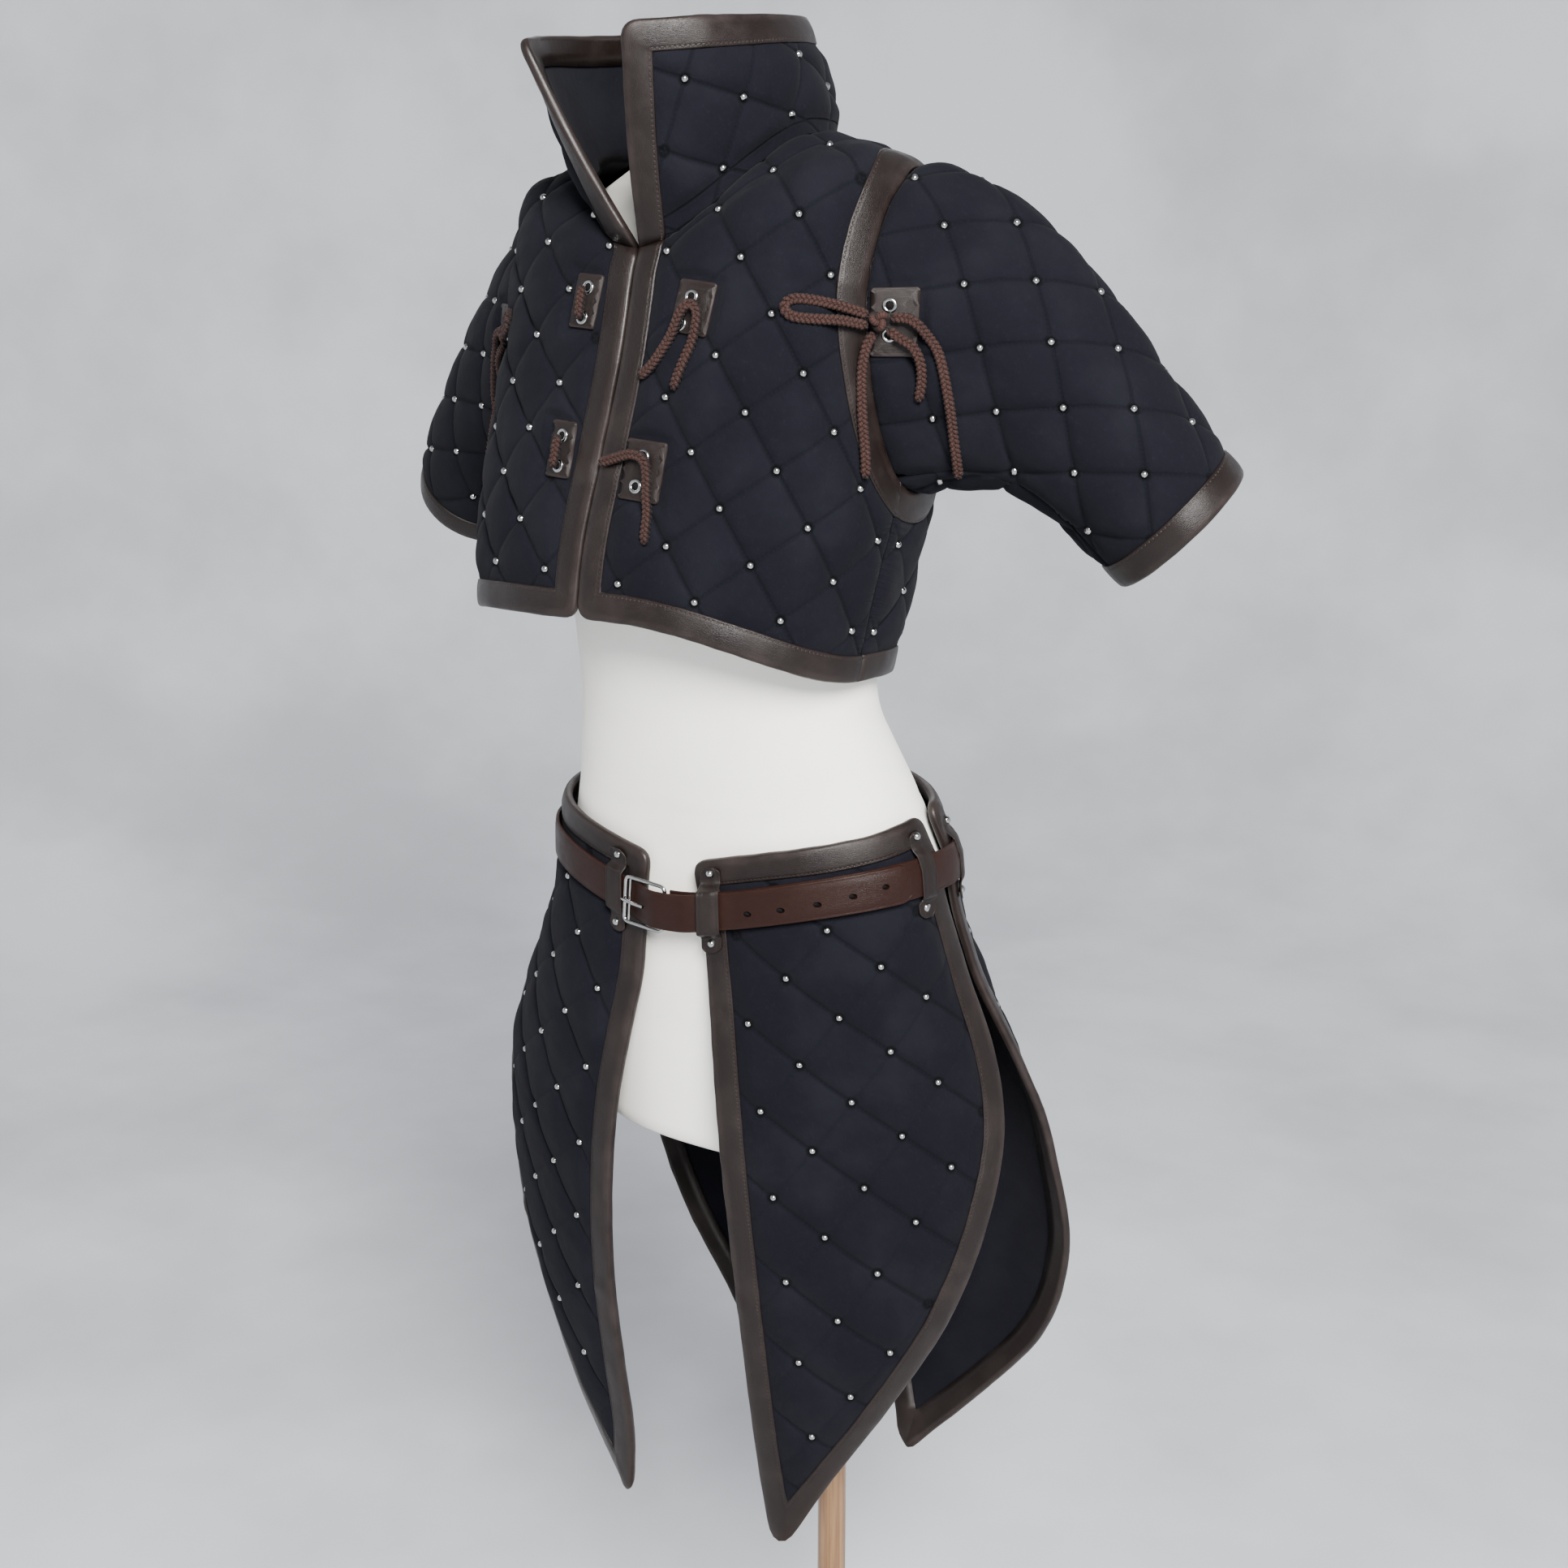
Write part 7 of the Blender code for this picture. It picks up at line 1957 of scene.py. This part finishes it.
def make_buckle():
    middle = on_belt(BUCKLE_TURN, 0.0, buckle_lift())
    ahead = (on_belt(BUCKLE_TURN + 1, 0.0, buckle_lift())
             - on_belt(BUCKLE_TURN - 1, 0.0, buckle_lift()))
    across = unit(ahead)
    up = unit(np.array((0, 0, 1.0)) - across * across[2])
    out = unit(np.cross(across, up))
    bar = BUCKLE_BAR / 2
    centre = middle + out * (BUCKLE_SET_OUT + bar)
    loop = divided(rounded_box(BUCKLE_WIDTH - 2 * bar, BUCKLE_HEIGHT - 2 * bar,
                               BUCKLE_CORNER, 6), 3)
    path = centre + loop[:, :1] * across + loop[:, 1:] * up
    frame_tube = tube(path, bar * 0.97, 12, closed=True)[:2]
    x = -(BUCKLE_WIDTH / 2 - bar) + INNER_BAR_IN
    inner_bar = tube(np.array([centre + across * x + up * y for y in np.linspace(
        -BUCKLE_HEIGHT / 2 + BUCKLE_BAR, BUCKLE_HEIGHT / 2 - BUCKLE_BAR, 5)]), 0.0010, 10)[:2]
    add_piece("buckle_silver_frame", join_parts([frame_tube, inner_bar]), silver_finish(),
              "silver_metal", "buckle_frame", sharp=60)

    on_bar = BUCKLE_SET_OUT + BUCKLE_BAR + PRONG_RADIUS
    tip = middle - across * (BUCKLE_WIDTH / 2 - 0.0002) + out * (on_bar + 0.0004)
    root = middle + across * 0.004 + out * (on_bar + 0.0034)
    t = np.linspace(0, 1, 14)
    bow = out * (np.sin(math.pi * t) * 0.0006)[:, None]
    line = tip + (root - tip) * t[:, None] + bow
    thick = PRONG_RADIUS * (0.72 + 0.30 * smooth_step(0.0, 0.25, t))
    thick[0] *= 0.6
    add_piece("buckle_silver_prong", tube(line, thick, 10)[:2], silver_finish(),
              "silver_metal", "buckle_prong", sharp=60)


def make_belt_loops():
    """Strips of leather from above the belt to below it, with a stud at
    each end, laid on what is there."""
    pieces = [solid_tree(item) for name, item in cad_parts.items()
              if "skirt" in name or name == "belt_strap"]

    def lie(turn, rise):
        """How far out from the belt's inner line the pieces reach at a point."""
        foot, above = on_belt(turn, rise, 0.0), on_belt(turn, rise, LOOP_SEEN_FROM)
        reach = np.linalg.norm(foot - above)
        hits = [piece.ray_cast(Vector(above), Vector(unit(foot - above)), 1.3 * reach)[3]
                for piece in pieces]
        hits = [hit for hit in hits if hit is not None] or [reach]
        return LOOP_SEEN_FROM * (1 - min(hits) / reach)

    studs = []
    sides = np.array((-1.0, 0.0, 1.0))
    places, steps = np.linspace(0, 1, 46) * (len(LOOP_RISES) - 1), np.arange(len(LOOP_RISES))
    rises = np.interp(places, steps, LOOP_RISES)
    from_end = np.minimum(LOOP_RISES[0] - rises, rises - LOOP_RISES[-1])
    soften = np.array((1, 2, 3, 2, 1)) / 9
    for name, (turn, *stud_rises) in BELT_LOOPS.items():
        radius = np.linalg.norm(on_belt(turn, 0, 0)[:2] - (0, 0.01))
        half_turn = math.degrees(LOOP_WIDTH / 2 / radius)
        reach_turn = math.degrees(LOOP_REACH / radius)
        outs = np.array([[max(lie(turn + s * half_turn + a * reach_turn, rise + b * LOOP_REACH)
                              for a in sides for b in sides) + LOOP_CLEARANCE
                          for s in sides] for rise in LOOP_RISES])
        rows = between_rows(places, steps, outs)
        rows = np.stack([np.convolve(np.pad(rows[:, k], 2, mode="edge"), soften, "valid")
                         for k in range(3)], 1)
        rings, strips = [], []
        for rise, row, end in zip(rises, rows, from_end):
            # the ends are cut round
            narrow = math.sqrt(max(1 - (1 - min(end / LOOP_END, 1.0)) ** 2, 0.16))
            rings.append([on_belt(turn + share * narrow * half_turn, rise,
                                  np.interp(share, sides, row) + LOOP_LEATHER * depth)
                          for share, depth in LOOP_SECTION])
            strips += [(rise, abs(share) ** 3 * 0.95) for share, _ in LOOP_SECTION]
        add_piece("loop_" + name, loft(rings), patch_finish(), "dark_leather",
                  "belt_loop_" + name, maps={"Strip": strips})
        for rise in stud_rises:
            k = np.argmin(np.abs(rises - rise))
            at = on_belt(turn, rise, rows[k][1] + LOOP_LEATHER * 1.05)
            normal = unit(at - on_belt(turn, rise, 0.0))
            studs.append(stud(at, normal, setting("quilt").stud_radius * 1.12, 16))
    add_piece("studs_belt_loops", join_parts(studs), silver_finish(), "silver_metal")


# ---- form and stand
FORM_SET_IN = 0.0008  # the cover lies just inside the solid
FORM_LIP = 0.007  # radius of the form's lower edge
# Radius and height round the foot, above and below the base's top
BASE_EDGE = ((BASE_RADIUS - 0.004, -BASE_HEIGHT), (BASE_RADIUS - 0.001, 0.0010 - BASE_HEIGHT),
             (BASE_RADIUS, 0.0035 - BASE_HEIGHT), (BASE_RADIUS, -0.006),
             (BASE_RADIUS - 0.0009, -0.0027), (BASE_RADIUS - 0.0033, -0.0006),
             (BASE_RADIUS - 0.0065, 0.0), (0.100, 0.0002), (0.050, 0.0004),
             (0.0445, 0.0015), (0.039, 0.008), (0.0345, 0.0175), (0.0322, 0.026),
             (0.0305, 0.0325), (0.0285, 0.0340))


def make_form():
    turns = np.arange(120) * 3.0
    steps = np.arange(len(FORM))
    heights = np.interp(np.linspace(0, steps[-1], 200), steps, FORM[:, 0])
    rows = between_rows(heights, FORM[:, 0], FORM[:, 1:])
    rows = np.stack([np.convolve(np.pad(rows[:, k], 3, mode="reflect", reflect_type="odd"),
                                 np.ones(7) / 7, "valid") for k in range(4)], 1)

    def ring(height, row, ease):
        x, y = eased_ring(row, turns, -ease)
        return np.stack([x, y, np.full_like(x, height)], 1)

    rings = [ring(heights[0] + FORM_LIP * (1 - math.cos(angle)), rows[0],
                  FORM_LIP * (1 - math.sin(angle)) + FORM_SET_IN)
             for angle in np.radians(np.linspace(0, 84, 6))]
    rings += [ring(height, row, FORM_SET_IN) for height, row in zip(heights, rows)
              if height > heights[0] + FORM_LIP]
    add_piece("form_covered", loft(rings), cover_finish(), "form_cover", "dress_form",
              sharp=60)


def make_stand():
    foot = np.array((POLE_X, POLE_Y, 0.0))
    rings = [foot + circle(96) * radius + (0, 0, BASE_HEIGHT + height)
             for radius, height in BASE_EDGE]
    add_piece("base_turned", loft(rings), pine_finish(), "pine_wood", "stand_base", sharp=50)
    bottom, top = BASE_HEIGHT + BASE_EDGE[-1][1] + SEAM_GAP, FORM[0, 0] - SEAM_GAP
    rings = [foot + circle(48) * POLE_RADIUS * share + (0, 0, height) for height, share in (
        (bottom, 0.97), (bottom + 0.0006, 1.0), (bottom + 0.2, 0.995), (top - 0.2, 0.995),
        (top - 0.0006, 1.0), (top, 0.97))]
    add_piece("pole_turned", loft(rings), pine_finish(), "pine_wood", "stand_pole", sharp=50)


# ---- stage
CAMERA_TURN = 35.0  # degrees round to the wearer's left
CAMERA_BACK = 1.5
CAMERA_ASIDE = 0.031
CAMERA_HEIGHT = 1.315
CAMERA_DOWN = 12.5
CAMERA_LENS = 43.32
FLOOR_RADIUS = 4.2
FLOOR_RIM = 1.6  # radius of the bend from the floor up to its rim
FLOOR_SIDES = 96
WORLD_TINT = (0.86, 0.90, 0.96, 1.0)
WORLD_STRENGTH = 0.46
BACK_SHARE = 2.2  # power of the back light to that of the fill


def make_camera():
    turn = math.radians(CAMERA_TURN)
    right = Vector((math.cos(turn), math.sin(turn), 0.0))
    ahead = Vector((-math.sin(turn), math.cos(turn), 0.0))
    data = bpy.data.cameras.new("camera")
    data.sensor_width = 36.0
    data.lens = CAMERA_LENS
    data.clip_start, data.clip_end = 0.05, 60.0
    item = bpy.data.objects.new("camera", data)
    item.location = -ahead * CAMERA_BACK + right * CAMERA_ASIDE + Vector((0, 0, CAMERA_HEIGHT))
    down = math.radians(CAMERA_DOWN)
    look = ahead * math.cos(down) + Vector((0, 0, -math.sin(down)))
    item.rotation_mode = "QUATERNION"
    item.rotation_quaternion = look.to_track_quat("-Z", "Y")
    bpy.context.scene.collection.objects.link(item)
    bpy.context.scene.camera = item


def add_light(name, place, target, size, power, tint):
    data = bpy.data.lights.new(name, "AREA")
    data.shape, data.size, data.energy, data.color = "DISK", size, power, tint
    item = bpy.data.objects.new(name, data)
    item.location = place
    item.rotation_mode = "QUATERNION"
    item.rotation_quaternion = (Vector(target) - Vector(place)).to_track_quat("-Z", "Y")
    bpy.context.scene.collection.objects.link(item)


def make_stage():
    s = setting("stage")
    level = FLOOR_RADIUS - FLOOR_RIM
    profile = [(0.02, 0.0), (1.0, 0.0), (2.0, 0.0), (level, 0.0)]
    profile += [(level + FLOOR_RIM * math.sin(a), FLOOR_RIM - FLOOR_RIM * math.cos(a))
                for a in np.radians(np.linspace(8, 90, 12))]
    profile += [(FLOOR_RADIUS, 2.6), (FLOOR_RADIUS, 3.6)]
    rings = [circle(FLOOR_SIDES) * radius + (0, 0, height - 0.0002)
             for radius, height in profile]
    mesh = mesh_of(np.vstack(rings), grid_faces(len(rings), FLOOR_SIDES, round_columns=True)
                   + [tuple(range(FLOOR_SIDES))])
    bmesh.ops.recalc_face_normals(mesh, faces=mesh.faces)
    link_mesh("floor", mesh, floor_finish())
    for name, place, aim, size, power, tint in (
            ("key", (2.3, -2.2, 2.9), 1.1, 1.6, s.key, (1.0, 0.99, 0.97)),
            ("fill", (-2.9, -1.4, 2.2), 1.0, 2.4, s.fill, (0.93, 0.96, 1.0)),
            ("back", (-2.2, 2.6, 2.8), 1.0, 2.0, s.fill * BACK_SHARE, (1.0, 1.0, 1.0))):
        add_light(name, place, (0.0, 0.0, aim), size, power, tint)
    world = bpy.data.worlds.new("studio")
    world.use_nodes = True
    shade = world.node_tree.nodes["Background"]
    shade.inputs["Color"].default_value = WORLD_TINT
    shade.inputs["Strength"].default_value = WORLD_STRENGTH
    bpy.context.scene.world = world


# ---- operators
class GAMBESON_OT_camera(bpy.types.Operator):
    """Set up the camera"""
    bl_idname = "gambeson.camera"
    bl_label = "Camera"

    def execute(self, context):
        make_camera()
        return {"FINISHED"}


class GAMBESON_OT_laces(bpy.types.Operator):
    """Lay the plaited laces and the sleeve ties with their knots"""
    bl_idname = "gambeson.laces"
    bl_label = "Laces and ties"

    def execute(self, context):
        make_laces()
        return {"FINISHED"}


class GAMBESON_OT_jacket(bpy.types.Operator):
    """Make the quilted collar, fronts and back, with their bindings"""
    bl_idname = "gambeson.jacket"
    bl_label = "Jacket"

    def execute(self, context):
        patterns = jacket_patterns()
        bindings = {
            "collar": binding_piece("binding_collar", frames(
                patterns["collar"], ("front_right", "top", "front_left")), False, 11),
            "back": binding_piece("binding_back_hem", frames(
                patterns["back"], ("hem",)), False, 21)}
        for k, side in enumerate(SIGNS):
            bindings["front_" + side] = binding_piece("binding_front_" + side, frames(
                patterns["front_" + side], ("centre", "hem")), False, 31 + k)
            binding_piece("binding_armhole_" + side, armhole_rows(side), True, 41 + k)
        for k, (name, pattern) in enumerate(patterns.items()):
            side = name.split("_")[-1]
            press = patch_press(FRONT_PATCHES[side]) if name.startswith("front") else None
            quilted_piece(name, pattern, QUILTS[name.split("_")[0]], press, 50 + 3 * k)
        return {"FINISHED"}


class GAMBESON_OT_sleeves(bpy.types.Operator):
    """Make the quilted sleeves and their cuff bindings"""
    bl_idname = "gambeson.sleeves"
    bl_label = "Sleeves"

    def execute(self, context):
        for k, side in enumerate(SIGNS):
            pattern = sleeve_pattern(side)
            binding = binding_piece("binding_cuff_" + side, frames(pattern, ("cuff",)),
                                    True, 71 + k)
            quilted_piece("sleeve_" + side, pattern, QUILTS["sleeve"],
                          patch_press([SLEEVE_PATCHES[side]]), 75 + 3 * k)
        return {"FINISHED"}


class GAMBESON_OT_skirt(bpy.types.Operator):
    """Make the four pointed skirt panels and their bindings"""
    bl_idname = "gambeson.skirt"
    bl_label = "Skirt panels"

    def execute(self, context):
        for k, name in enumerate(SKIRTS):
            pattern = skirt_pattern(name)
            binding = binding_piece("binding_skirt_" + name,
                                    frames(pattern, ("top", "outer", "inner")), True, 81 + k)
            quilted_piece("skirt_" + name, pattern, QUILTS["skirt"],
                          belt_press(pattern.cloth), 90 + 3 * k)
        return {"FINISHED"}


class GAMBESON_OT_patches(bpy.types.Operator):
    """Make the leather patches and their eyelets"""
    bl_idname = "gambeson.patches"
    bl_label = "Patches and eyelets"

    def execute(self, context):
        for side in SIGNS:
            cloth = jacket_patterns()["front_" + side].cloth
            for place, spot in zip(("top", "low"), FRONT_PATCHES[side]):
                add_patch("patch_%s_%s" % (side, place), cloth, spot)
            add_patch("patch_sleeve_" + side, sleeve_pattern(side).cloth,
                      SLEEVE_PATCHES[side])
        return {"FINISHED"}


class GAMBESON_OT_belt(bpy.types.Operator):
    """Make the belt, its buckle and its loops"""
    bl_idname = "gambeson.belt"
    bl_label = "Belt"

    def execute(self, context):
        make_strap()
        make_buckle()
        make_belt_loops()
        return {"FINISHED"}


class GAMBESON_OT_stand(bpy.types.Operator):
    """Make the dress form, its pole and its base"""
    bl_idname = "gambeson.stand"
    bl_label = "Dress form and stand"

    def execute(self, context):
        make_form()
        make_stand()
        return {"FINISHED"}


class GAMBESON_OT_stage(bpy.types.Operator):
    """Make the floor and the lights"""
    bl_idname = "gambeson.stage"
    bl_label = "Stage"

    def execute(self, context):
        make_stage()
        return {"FINISHED"}


OPERATORS = (GAMBESON_OT_camera, GAMBESON_OT_laces, GAMBESON_OT_jacket,
             GAMBESON_OT_sleeves, GAMBESON_OT_skirt, GAMBESON_OT_patches,
             GAMBESON_OT_belt, GAMBESON_OT_stand, GAMBESON_OT_stage)


class GAMBESON_PT_panel(bpy.types.Panel):
    bl_idname = "GAMBESON_PT_panel"
    bl_label = "Gambeson"
    bl_space_type = "VIEW_3D"
    bl_region_type = "UI"
    bl_category = "Gambeson"

    def draw(self, context):
        for operator in OPERATORS:
            self.layout.operator(operator.bl_idname)
        for name, kind in SETTINGS.items():
            box = self.layout.box()
            box.label(text=name.capitalize())
            for key in kind.__annotations__:
                box.prop(setting(name), key)


def register():
    for kind in (*SETTINGS.values(), *OPERATORS, GAMBESON_PT_panel):
        bpy.utils.register_class(kind)
    for name, kind in SETTINGS.items():
        setattr(bpy.types.Scene, "gambeson_" + name, PointerProperty(type=kind))


def unregister():
    for name in SETTINGS:
        delattr(bpy.types.Scene, "gambeson_" + name)
    for kind in reversed((*SETTINGS.values(), *OPERATORS, GAMBESON_PT_panel)):
        bpy.utils.unregister_class(kind)


def main():
    register()
    for operator in OPERATORS:
        getattr(bpy.ops.gambeson, operator.bl_idname.split(".")[1])()


if __name__ == "__main__":
    main()
